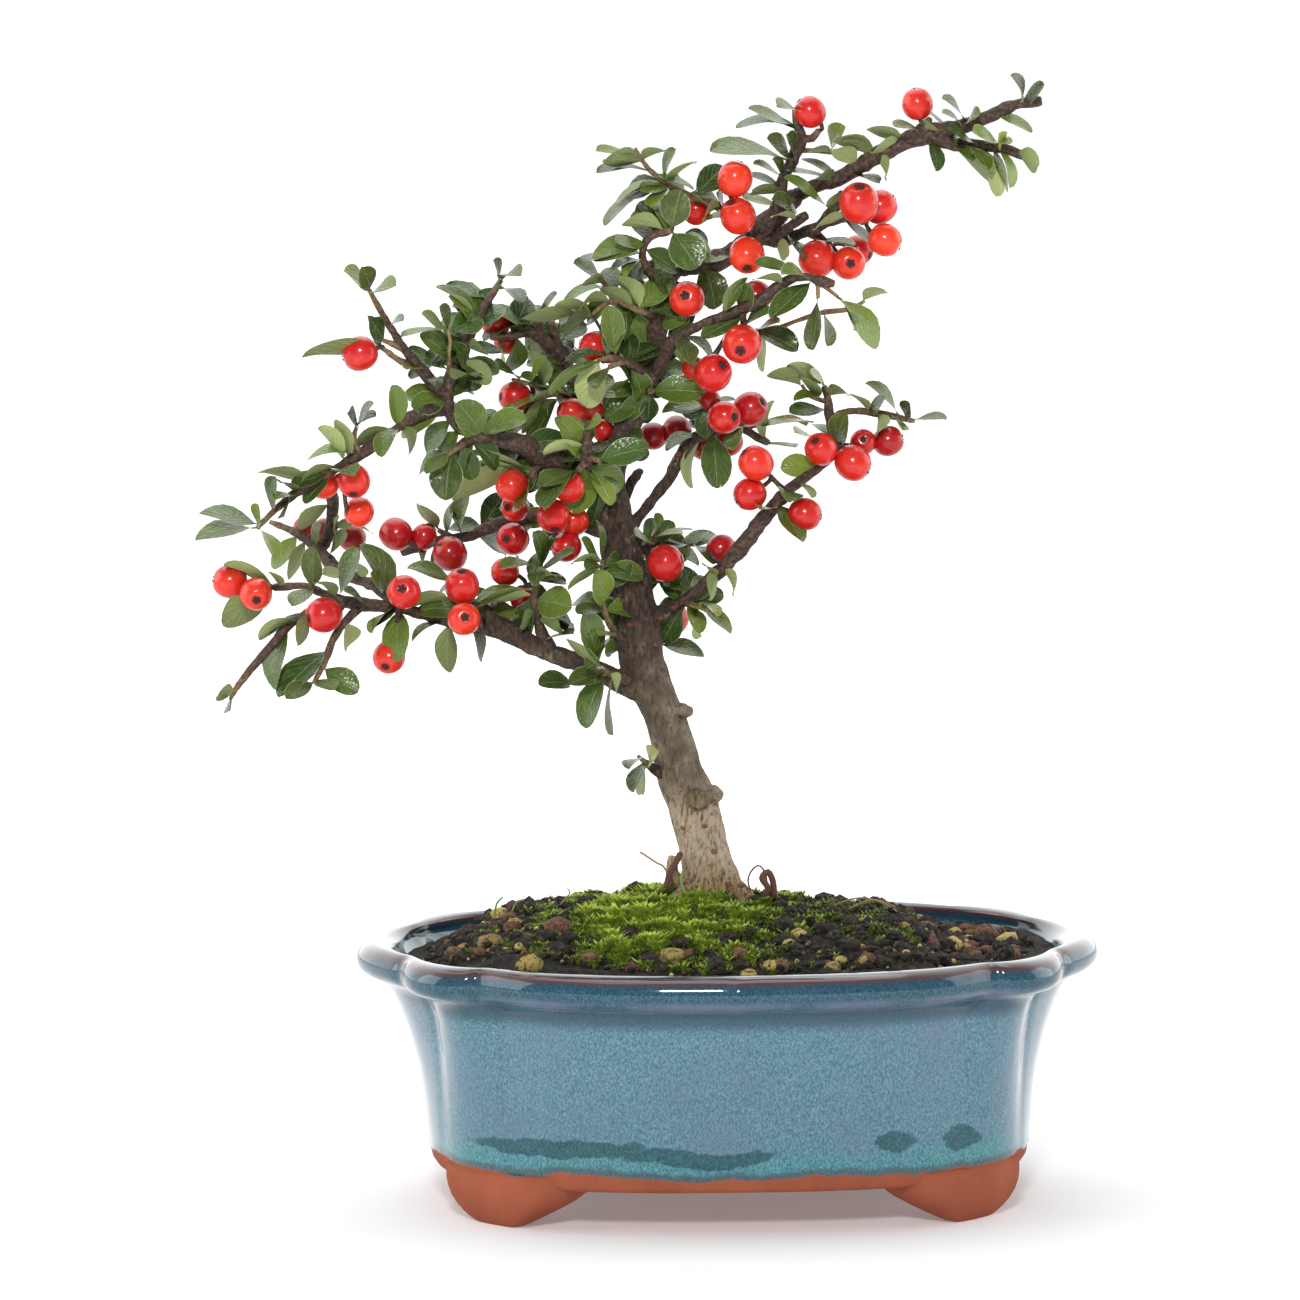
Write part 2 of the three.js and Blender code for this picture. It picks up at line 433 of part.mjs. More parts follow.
// Leafy stems. Each has its twigs, as stations of picture point, depth and radius, and its leaves, as
// base point, tip point and the width that shows, all in pixels. A negative width shows the underside.
const STEMS = {
  leader_stem: {
    twigs: [
      [[616, 450, 4, 12.5], [626, 430, 5, 12.5], [637, 408, 5, 12], [645, 388, 5, 11], [654, 365, 5, 12.5],
        [656, 340, 5, 10], [657, 312, 6, 12], [660, 288, 7, 13], [668, 272, 8, 12], [690, 264, 9, 11],
        [722, 259, 9, 11], [748, 243, 8, 10], [770, 222, 6, 13], [785, 206, 4, 11], [800, 194, 2, 7]],
      [[650, 388, 3, 6], [640, 371, -3, 5.5], [625, 362, -8, 4], [609, 367, -10, 2.5]],
      [[630, 365, -6, 4], [614, 358, -9, 4], [600, 360, -9, 2.5]],
      [[661, 286, 5, 6], [645, 264, -4, 4], [643, 249, -8, 4], [650, 237, -10, 4.5], [672, 230, -13, 3]],
      [[656, 316, 4, 5], [640, 311, -2, 3], [612, 301, 2, 3], [592, 315, 4, 2]],
      [[614, 301, 2, 3], [603, 281, 3, 3]],
      [[655, 372, 4, 8], [668, 346, -2, 8], [682, 335, -4, 5], [700, 325, -6, 5], [714, 320, -7, 5]],
      [[648, 392, 2, 5], [651, 391, -4, 3]],
    ],
    leaves: [
      [610, 371, 594, 386, 14], [640, 384, 602, 396, 16], [636, 388, 605, 418, 30], [618, 352, 610, 306, 24],
      [643, 359, 622, 312, 30], [598, 364, 548, 392, 15], [600, 366, 585, 408, -32], [603, 352, 565, 358, 10],
      [602, 330, 584, 347, -12], [593, 320, 560, 338, -13], [592, 318, 563, 326, -8], [580, 314, 521, 315, -12],
      [594, 314, 555, 305, -10], [612, 302, 580, 306, -10], [636, 306, 600, 286, -12], [641, 310, 619, 272, -18],
      [616, 430, 640, 437, 18], [648, 391, 704, 390, 28], [670, 350, 698, 366, -14], [682, 336, 690, 360, 22],
      [655, 323, 688, 318, 22], [662, 258, 645, 274, 24], [703, 264, 716, 308, 32], [736, 246, 704, 261, 13],
      [672, 232, 697, 268, 38], [674, 231, 680, 190, 32], [640, 247, 580, 256, 12], [646, 240, 592, 258, 26],
      [642, 249, 615, 240, 13], [666, 230, 622, 222, -13], [606, 282, 574, 262, 13], [606, 283, 585, 280, -12],
      [645, 257, 626, 274, 9], [640, 262, 612, 268, 8], [713, 262, 692, 232, 8],
    ],
  },
  top_left_twig: {
    twigs: [[[764, 230, 4, 5], [740, 214, 1, 4], [720, 206, -1, 4], [700, 200, -3, 3.5], [685, 193, -4, 3],
      [670, 186, -6, 3], [655, 175, -8, 3], [646, 166, -9, 2.5], [635, 148, -10, 1.6]]],
    leaves: [
      [640, 163, 596, 150, 9], [640, 165, 604, 158, -18], [650, 176, 597, 168, 11], [642, 161, 663, 149, -8],
      [668, 180, 675, 149, 11], [672, 180, 693, 161, -7], [655, 174, 694, 188, 9], [671, 186, 641, 187, 15],
      [671, 186, 615, 199, 10], [669, 188, 650, 206, 14], [660, 190, 602, 221, 15], [722, 204, 703, 216, -9],
      [722, 205, 719, 192, 5], [740, 218, 702, 220, 8],
    ],
  },
  top_shoot: {
    twigs: [
      [[774, 216, 4, 8], [780, 198, 2, 6.5], [782, 183, 0, 6], [788, 169, -1, 6], [796, 152, -2, 6],
        [801, 138, -3, 6], [797, 122, -4, 4], [794, 108, -5, 2]],
      [[801, 139, -3, 4], [812, 138, -5, 4], [819, 130, -6, 3]],
      [[798, 150, -2, 3], [818, 151, 0, 2.5], [833, 153, 1, 1.6]],
    ],
    leaves: [
      [795, 130, 737, 121, 14], [796, 128, 749, 107, 11], [794, 112, 779, 103, 10], [785, 160, 711, 146, 20],
      [786, 158, 769, 137, 15], [788, 156, 789, 134, 10], [782, 182, 775, 160, 8], [778, 188, 752, 173, 10],
      [776, 192, 752, 191, -10], [775, 205, 743, 195, 12], [782, 176, 755, 162, 7], [832, 152, 808, 149, -6],
      [831, 152, 840, 126, 12],
    ],
  },
  top_right_stem: {
    twigs: [
      [[801, 193, 2, 7], [820, 185, 0, 7], [838, 178, -2, 8], [852, 170, -4, 8], [875, 157, -7, 9],
        [905, 141, -10, 9], [935, 133, -12, 10], [955, 128, -13, 7.5], [980, 120, -14, 7], [1000, 111, -15, 6.5],
        [1020, 104, -16, 5.5], [1041, 101, -17, 5]],
      [[930, 137, -12, 8], [955, 144, -14, 7.5], [975, 145, -16, 6], [997, 147, -18, 5], [1015, 152, -19, 5],
        [1029, 158, -20, 4]],
      [[914, 134, -11, 6], [925, 124, -13, 4.5], [930, 119, -14, 3]],
    ],
    leaves: [
      [832, 178, 787, 165, 9], [838, 176, 803, 157, 10], [838, 184, 820, 176, -12], [876, 152, 833, 138, -14],
      [873, 156, 843, 141, -9], [858, 166, 836, 149, -19], [901, 136, 868, 127, -12], [901, 138, 870, 150, -10],
      [918, 130, 895, 125, 12], [922, 127, 936, 126, -10], [947, 130, 921, 103, 9], [961, 126, 944, 113, 8],
      [966, 122, 945, 96, 6], [966, 122, 980, 112, 9], [1021, 103, 1014, 76, 9], [1022, 103, 1044, 84, 15],
      [996, 114, 1033, 130, 14], [998, 147, 975, 129, 14], [985, 144, 1010, 142, 4], [1000, 147, 1001, 134, 9],
      [978, 144, 949, 126, 10], [958, 150, 955, 136, 12], [955, 146, 972, 158, 11], [972, 148, 988, 167, 15],
      [928, 142, 939, 168, 13], [848, 176, 880, 180, 9], [876, 162, 888, 176, -12], [942, 146, 1003, 192, -14],
      [980, 148, 1000, 196, -16], [992, 150, 1007, 192, 10], [999, 148, 1011, 187, 14], [1014, 156, 1040, 166, -19],
    ],
  },
  right_upper_stem: {
    twigs: [
      [[760, 236, 8, 8], [780, 240, 7, 7], [800, 234, 4, 6], [815, 228, 1, 5.5], [832, 221, -2, 5],
        [850, 217, -4, 5], [868, 222, -5, 3]],
      [[820, 226, 0, 5], [830, 212, -3, 4.5], [842, 204, -5, 4]],
      [[775, 237, 6, 6], [790, 226, -2, 5], [807, 215, -6, 5]],
      [[806, 232, 3, 4], [822, 240, 6, 3]],
    ],
    leaves: [
      [830, 206, 784, 178, 11], [800, 219, 774, 197, 13], [797, 221, 773, 213, -7], [831, 208, 838, 192, -12],
      [850, 220, 813, 228, -9], [845, 220, 883, 252, 14], [824, 240, 852, 246, 10], [772, 240, 788, 257, -15],
      [788, 240, 805, 254, 9],
    ],
  },
  right_spur_stem: {
    twigs: [
      [[715, 319, -7, 5], [735, 312, -8, 5.5], [755, 303, -10, 7], [772, 292, -12, 7], [788, 281, -14, 5.5],
        [805, 277, -16, 4], [820, 281, -17, 6], [834, 284, -18, 4]],
      [[822, 284, -17, 2.5], [838, 297, -18, 1.8]],
      [[818, 283, -17, 2.5], [818, 298, -18, 1.8]],
      [[742, 311, -8, 4], [748, 330, -3, 3], [775, 328, 1, 2.5], [797, 321, 3, 2.2], [820, 313, 6, 2.8],
        [848, 309, 8, 2.5], [865, 301, 9, 1.6]],
    ],
    leaves: [
      [738, 318, 701, 336, 22], [722, 318, 747, 278, 13], [748, 316, 748, 284, 18], [725, 315, 745, 276, -14],
      [806, 278, 756, 261, 13], [808, 280, 784, 272, 13], [812, 282, 770, 318, 22], [818, 296, 812, 350, 15],
      [824, 313, 829, 346, 13], [838, 296, 878, 347, 24], [837, 297, 855, 322, 7], [862, 303, 885, 288, -15],
      [850, 309, 855, 328, 8], [750, 322, 768, 311, 12], [757, 330, 777, 321, 6], [752, 332, 798, 350, 24],
      [762, 330, 762, 372, -12], [784, 284, 754, 276, -6],
    ],
  },
  right_mid_stem: {
    twigs: [
      [[694, 438, 14, 6], [712, 431, 15, 6], [725, 428, 16, 5.5], [742, 428, 17, 4], [757, 437, 18, 4.5],
        [768, 443, 19, 3.5]],
      [[738, 428, 17, 3.5], [768, 422, 20, 3], [790, 417, 22, 2.5], [807, 424, 23, 2.5]],
      [[708, 433, 14, 5], [711, 416, 12, 6], [706, 402, 11, 3]],
    ],
    leaves: [
      [767, 440, 769, 399, -16], [750, 426, 813, 418, 7], [805, 423, 828, 432, 8], [768, 443, 796, 447, 7],
      [713, 433, 718, 488, 33], [702, 436, 686, 487, -14], [703, 410, 708, 436, 22], [741, 427, 730, 447, 15],
      [708, 404, 735, 399, 8], [700, 434, 667, 450, 12], [706, 404, 662, 412, 14],
    ],
  },
  right_low_stem: {
    twigs: [
      [[680, 603, -2, 6], [697, 593, -3, 6], [720, 570, -5, 7.5], [740, 549, -7, 8.5], [760, 523, -9, 7.5],
        [778, 502, -10, 7.5], [786, 493, -10, 6]],
      [[684, 601, -2, 5], [694, 606, -6, 3.5], [703, 604, -8, 2]],
      [[684, 602, 0, 4], [672, 625, 8, 2.5], [660, 646, 12, 2]],
    ],
    leaves: [
      [712, 578, 706, 565, -10], [722, 572, 709, 598, -14], [724, 572, 736, 593, -12], [692, 604, 704, 611, 7],
      [702, 605, 717, 613, 7], [701, 604, 731, 632, 13], [686, 604, 702, 631, 16], [782, 508, 803, 540, 20],
      [772, 508, 760, 507, 4], [661, 646, 704, 655, 16],
    ],
  },
  right_crown_stem: {
    twigs: [
      [[786, 492, -10, 6], [800, 481, -8, 5.5], [822, 466, -4, 4], [838, 449, 0, 4], [833, 430, 2, 5],
        [829, 412, 3, 5], [828, 400, 3, 4], [824, 386, 3, 3]],
      [[832, 418, 2, 4], [850, 411, 4, 3.5], [875, 413, 7, 4], [900, 418, 10, 3.5], [914, 421, 12, 2]],
      [[828, 402, 3, 3], [810, 396, 4, 2], [802, 385, 5, 2]],
      [[833, 432, 2, 3], [812, 437, 6, 2]],
    ],
    leaves: [
      [803, 387, 769, 369, -16], [824, 386, 788, 362, -18], [820, 396, 801, 378, -10], [826, 388, 812, 374, 8],
      [826, 398, 847, 393, -14], [826, 402, 796, 398, 7], [827, 410, 789, 412, 15], [836, 446, 846, 413, 23],
      [868, 412, 854, 392, -8], [869, 412, 884, 399, 14], [900, 416, 867, 382, 10], [906, 419, 909, 404, 10],
      [912, 421, 945, 419, 7], [876, 414, 880, 433, -15], [893, 417, 903, 430, 10], [814, 437, 795, 431, 7],
      [820, 466, 781, 466, 25], [788, 490, 790, 502, 26], [797, 483, 811, 497, 9],
    ],
  },
  low_right_shoot: {
    twigs: [
      [[632, 552, 2, 6], [646, 549, 2, 4.5], [653, 541, 1, 3.5], [655, 532, 0, 2]],
      [[644, 549, 3, 3], [672, 552, 7, 2.5], [690, 545, 8, 2]],
      [[644, 550, 3, 3], [654, 566, 6, 2], [657, 583, 4, 2]],
    ],
    leaves: [
      [654, 535, 692, 527, 5], [654, 536, 680, 532, 4], [688, 546, 663, 545, 9], [690, 545, 715, 560, 8],
      [652, 541, 636, 534, 9], [657, 582, 697, 592, 16], [653, 535, 662, 518, 6],
    ],
  },
  centre_spur: {
    twigs: [
      [[608, 490, 0, 8], [593, 475, -6, 6], [585, 460, -10, 6.5], [587, 445, -12, 6], [586, 430, -13, 3.5]],
      [[586, 460, -10, 4], [577, 472, -13, 3]],
      [[588, 458, -11, 4], [600, 461, -14, 2.5]],
    ],
    leaves: [
      [580, 460, 563, 416, 25], [586, 430, 600, 419, 9], [598, 461, 648, 446, 28], [587, 445, 543, 453, -12],
      [578, 468, 542, 482, 18], [577, 472, 541, 505, 18], [594, 480, 572, 512, 26], [590, 468, 612, 505, 18],
    ],
  },
  centre_left_stem: {
    twigs: [
      [[614, 452, 5, 9], [600, 415, 12, 8], [580, 394, 15, 7.5], [568, 370, 15, 7.5], [556, 353, 14, 8],
        [545, 341, 12, 7.5], [530, 333, 9, 5], [510, 336, 5, 4], [492, 337, 0, 4]],
      [[545, 342, 12, 6], [540, 330, 10, 5], [538, 317, 9, 4]],
      [[562, 360, 14, 6], [557, 340, 13, 5], [551, 322, 12, 3.5]],
      [[580, 398, 15, 4], [556, 395, 8, 2.5], [530, 384, 4, 2.2], [512, 379, 2, 2]],
    ],
    leaves: [
      [538, 320, 556, 293, 10], [537, 326, 483, 338, 14], [534, 330, 492, 308, 10], [520, 381, 494, 366, 8],
      [530, 383, 545, 360, 8], [556, 394, 521, 375, 8], [545, 388, 532, 348, -18], [566, 362, 548, 362, 8],
      [558, 397, 506, 406, 12], [562, 398, 532, 445, 18], [560, 395, 530, 400, -8], [572, 396, 577, 411, 9],
      [575, 395, 560, 392, 8], [562, 396, 520, 432, -12],
    ],
  },
  left_limb_stem: {
    twigs: [
      [[575, 467, -4, 12], [548, 458, -8, 12], [520, 445, -12, 11.5], [498, 440, -14, 7], [482, 438, -16, 4.5],
        [468, 440, -17, 4.5], [458, 447, -18, 4], [447, 455, -19, 2.5]],
      [[545, 460, -8, 6], [533, 472, -9, 3.5], [530, 484, -9, 2.5]],
    ],
    leaves: [
      [450, 453, 426, 472, 15], [454, 452, 445, 500, 34], [530, 470, 468, 450, -10], [530, 472, 465, 472, -13],
      [530, 474, 452, 498, -16], [531, 474, 515, 502, 13], [531, 484, 520, 504, 8],
    ],
  },
  left_crown_stem: {
    twigs: [
      [[486, 438, -16, 5], [462, 430, -15, 6], [451, 418, -14, 5.5], [449, 405, -14, 6], [447, 391, -13, 7],
        [450, 376, -12, 7], [458, 364, -11, 6], [464, 352, -10, 6], [468, 341, -9, 6], [474, 325, -8, 5.5],
        [484, 307, -6, 4.5], [493, 293, -5, 4], [501, 280, -4, 2.5]],
      [[451, 376, -12, 4], [449, 360, -15, 2.5], [450, 340, -17, 2], [447, 328, -19, 2]],
      [[448, 396, -13, 5], [435, 385, -15, 6], [424, 373, -17, 7], [413, 360, -19, 5.5], [402, 346, -21, 4.5],
        [392, 330, -23, 4], [382, 314, -25, 3.5], [375, 300, -26, 3], [369, 290, -27, 2.5]],
      [[418, 366, -18, 4], [402, 362, -20, 3.5], [390, 354, -22, 3], [382, 348, -23, 2.5]],
      [[403, 349, -21, 3.5], [392, 344, -22, 3], [384, 341, -23, 2.2]],
    ],
    leaves: [
      [449, 372, 409, 347, 14], [450, 362, 421, 333, 17], [447, 330, 401, 331, 8], [447, 328, 423, 314, 12],
      [447, 328, 444, 307, 8], [460, 356, 425, 327, 8], [478, 314, 438, 284, 13], [472, 330, 452, 295, 11],
      [500, 281, 493, 261, 8], [501, 280, 521, 274, 9], [497, 289, 521, 302, 8], [447, 396, 403, 396, 20],
      [447, 401, 411, 406, 25], [460, 360, 492, 382, -22], [450, 382, 475, 373, -10], [466, 345, 490, 354, -10],
      [484, 437, 458, 402, 34], [456, 424, 466, 438, 12], [478, 436, 527, 418, 24], [475, 322, 448, 322, 5],
      [368, 290, 346, 270, 13], [369, 290, 363, 267, 19], [371, 292, 393, 281, 12], [384, 342, 372, 320, 19],
      [382, 348, 369, 317, 12], [382, 349, 302, 357, -15], [390, 327, 400, 319, 5], [420, 368, 406, 369, 8],
      [428, 376, 436, 384, 8],
    ],
  },
  left_arch_stem: {
    twigs: [
      [[446, 412, -14, 5], [428, 412, -16, 7], [410, 418, -18, 8], [398, 427, -20, 4.5], [386, 436, -21, 4],
        [372, 446, -23, 6.5], [356, 456, -24, 6.5], [342, 465, -25, 5], [327, 475, -26, 4], [310, 485, -27, 6],
        [295, 493, -28, 5.5], [280, 506, -29, 4], [268, 517, -30, 3.5], [257, 528, -30, 2.5]],
      [[360, 453, -24, 4], [354, 440, -25, 3], [357, 425, -26, 2]],
    ],
    leaves: [
      [440, 414, 402, 438, 20], [398, 428, 395, 386, 20], [398, 430, 356, 444, -12], [400, 430, 380, 454, 20],
      [404, 426, 411, 454, -16], [345, 462, 320, 426, -17], [347, 460, 340, 418, -16], [362, 451, 308, 459, 11],
      [330, 472, 291, 487, 16], [340, 466, 294, 488, -8], [332, 474, 304, 503, 18], [334, 473, 355, 472, 9],
      [312, 484, 258, 470, -12], [272, 513, 273, 477, 16], [294, 492, 276, 500, 12], [296, 490, 280, 482, -7],
      [260, 524, 200, 511, 15], [258, 528, 195, 538, 16], [258, 527, 256, 507, 9], [259, 529, 275, 559, 9],
      [357, 426, 350, 412, 5], [357, 426, 372, 405, 9], [357, 427, 373, 415, 8], [290, 498, 283, 517, 8],
    ],
  },
  mid_left_stem: {
    twigs: [
      [[566, 523, 8, 7], [545, 520, 10, 7], [522, 519, 11, 7.5], [500, 524, 13, 6.5], [485, 529, 14, 6.5],
        [468, 536, 15, 6], [450, 538, 16, 4.5], [430, 543, 17, 5], [413, 549, 18, 5], [402, 553, 19, 3.5]],
      [[452, 538, 16, 4], [438, 530, 17, 2.5]],
    ],
    leaves: [
      [436, 530, 420, 502, -15], [438, 531, 423, 527, 7], [447, 536, 454, 500, 9], [463, 538, 464, 497, 13],
      [432, 544, 418, 563, -13], [538, 517, 519, 532, 10], [500, 528, 506, 558, -8],
    ],
  },
  low_left_back_stem: {
    twigs: [
      [[398, 606, -15.5, 5], [379, 589, -8, 6], [352, 576, 0, 6.5], [332, 564, 8, 6.5], [318, 550, 14, 7],
        [306, 539, 17, 5], [290, 530, 20, 4], [270, 522, 22, 2.5]],
      [[320, 551, 14, 6], [330, 530, 16, 6], [333, 505, 18, 6.5], [331, 488, 18, 6.5]],
    ],
    leaves: [
      [298, 534, 272, 568, 20], [330, 556, 347, 533, 11], [316, 546, 320, 526, 13], [296, 532, 326, 503, -14],
      [330, 518, 336, 531, -11], [392, 596, 364, 544, 24], [360, 578, 352, 560, -14], [334, 528, 374, 530, -9],
      [386, 594, 373, 572, 12], [352, 578, 324, 571, 11], [306, 540, 288, 580, -12],
    ],
  },
  low_left_stem: {
    twigs: [
      [[484, 625, -14, 9], [470, 627, -14, 8], [450, 621, -15, 7], [425, 615, -16, 5.5], [400, 608, -16, 6],
        [370, 605, -15, 7], [345, 602, -14, 6.5], [322, 593, -13, 4.5], [305, 586, -12, 4], [274, 587, -11, 4]],
      [[480, 620, -14, 5], [470, 602, -7, 3], [455, 580, -4, 2]],
      [[358, 608, -15, 6], [343, 625, -17, 4], [333, 640, -19, 4], [328, 655, -21, 4], [321, 670, -23, 3],
        [314, 683, -25, 2.5]],
      [[340, 602, -14, 5], [315, 608, -15, 3.5], [297, 620, -17, 4], [283, 632, -19, 5], [266, 652, -22, 4.5],
        [247, 674, -25, 4], [236, 689, -27, 3], [230, 700, -28, 1.8]],
    ],
    leaves: [
      [274, 586, 224, 564, -15], [275, 588, 222, 624, -32], [280, 587, 270, 571, -12], [300, 618, 257, 636, -14],
      [310, 608, 268, 632, 7], [290, 628, 274, 690, 21], [330, 646, 277, 696, 26], [310, 610, 297, 645, -13],
      [345, 620, 350, 650, -20], [323, 667, 358, 692, 26], [315, 681, 286, 698, 18], [316, 680, 335, 688, 15],
      [236, 689, 217, 696, -14], [231, 697, 227, 710, 6], [396, 610, 374, 626, 9], [400, 608, 397, 661, 30],
      [396, 610, 371, 632, 5], [446, 622, 412, 640, 6], [450, 624, 447, 673, -22], [412, 609, 465, 612, 24],
      [410, 606, 446, 594, -15], [457, 582, 408, 566, 13], [370, 600, 345, 592, 7], [336, 596, 316, 582, -12],
      [313, 589, 312, 548, 24], [313, 589, 291, 603, 17], [338, 598, 357, 547, 20],
    ],
  },
  low_centre_shoot: {
    twigs: [[[550, 650, -10, 8], [541, 632, -11, 6], [536, 612, -12, 4.5], [534, 595, -13, 4], [538, 575, -14, 3],
      [542, 560, -15, 2]]],
    leaves: [
      [540, 567, 538, 533, 15], [541, 565, 553, 537, 7], [540, 570, 575, 549, 11], [540, 566, 500, 566, 9],
      [535, 588, 537, 554, 13], [539, 572, 536, 583, 18], [538, 580, 558, 575, -10], [535, 600, 571, 607, 36],
      [534, 590, 474, 604, 12], [534, 595, 480, 602, -12], [536, 612, 520, 625, -12], [538, 618, 562, 628, -18],
      [543, 640, 573, 632, 6],
    ],
  },
  trunk_spur: {
    twigs: [[[630, 652, -3, 7], [612, 628, -8, 4], [604, 611, -10, 3], [601, 590, -11, 2.5], [602, 560, -11, 2]]],
    leaves: [
      [604, 608, 597, 571, 22], [604, 611, 577, 612, 13], [616, 634, 600, 656, 7], [614, 632, 600, 634, 10],
      [602, 565, 566, 587, -10], [602, 562, 573, 562, -9], [602, 568, 588, 568, 11], [602, 560, 596, 520, 6],
      [602, 560, 582, 539, 10],
    ],
  },
  crotch_shoot: {
    twigs: [
      [[626, 680, -6, 7], [610, 674, -10, 4], [600, 667, -12, 3]],
      [[606, 673, -11, 2.5], [588, 681, -11, 1.8], [570, 684, -10, 1.6]],
    ],
    leaves: [
      [599, 667, 585, 612, 25], [572, 684, 541, 682, 20], [604, 672, 571, 681, 21], [605, 674, 585, 728, 27],
      [600, 667, 587, 668, 12], [612, 678, 611, 735, 7], [608, 675, 617, 692, -10], [598, 667, 566, 638, -11],
    ],
  },
  trunk_twig: {
    twigs: [[[668, 776, -2, 7], [654, 769, -4, 5], [644, 761, -5, 3], [638, 756, -6, 1.8]]],
    leaves: [[639, 757, 629, 767, 10], [643, 761, 632, 789, 14], [645, 763, 641, 794, 9], [650, 765, 654, 750, 9]],
  },
};

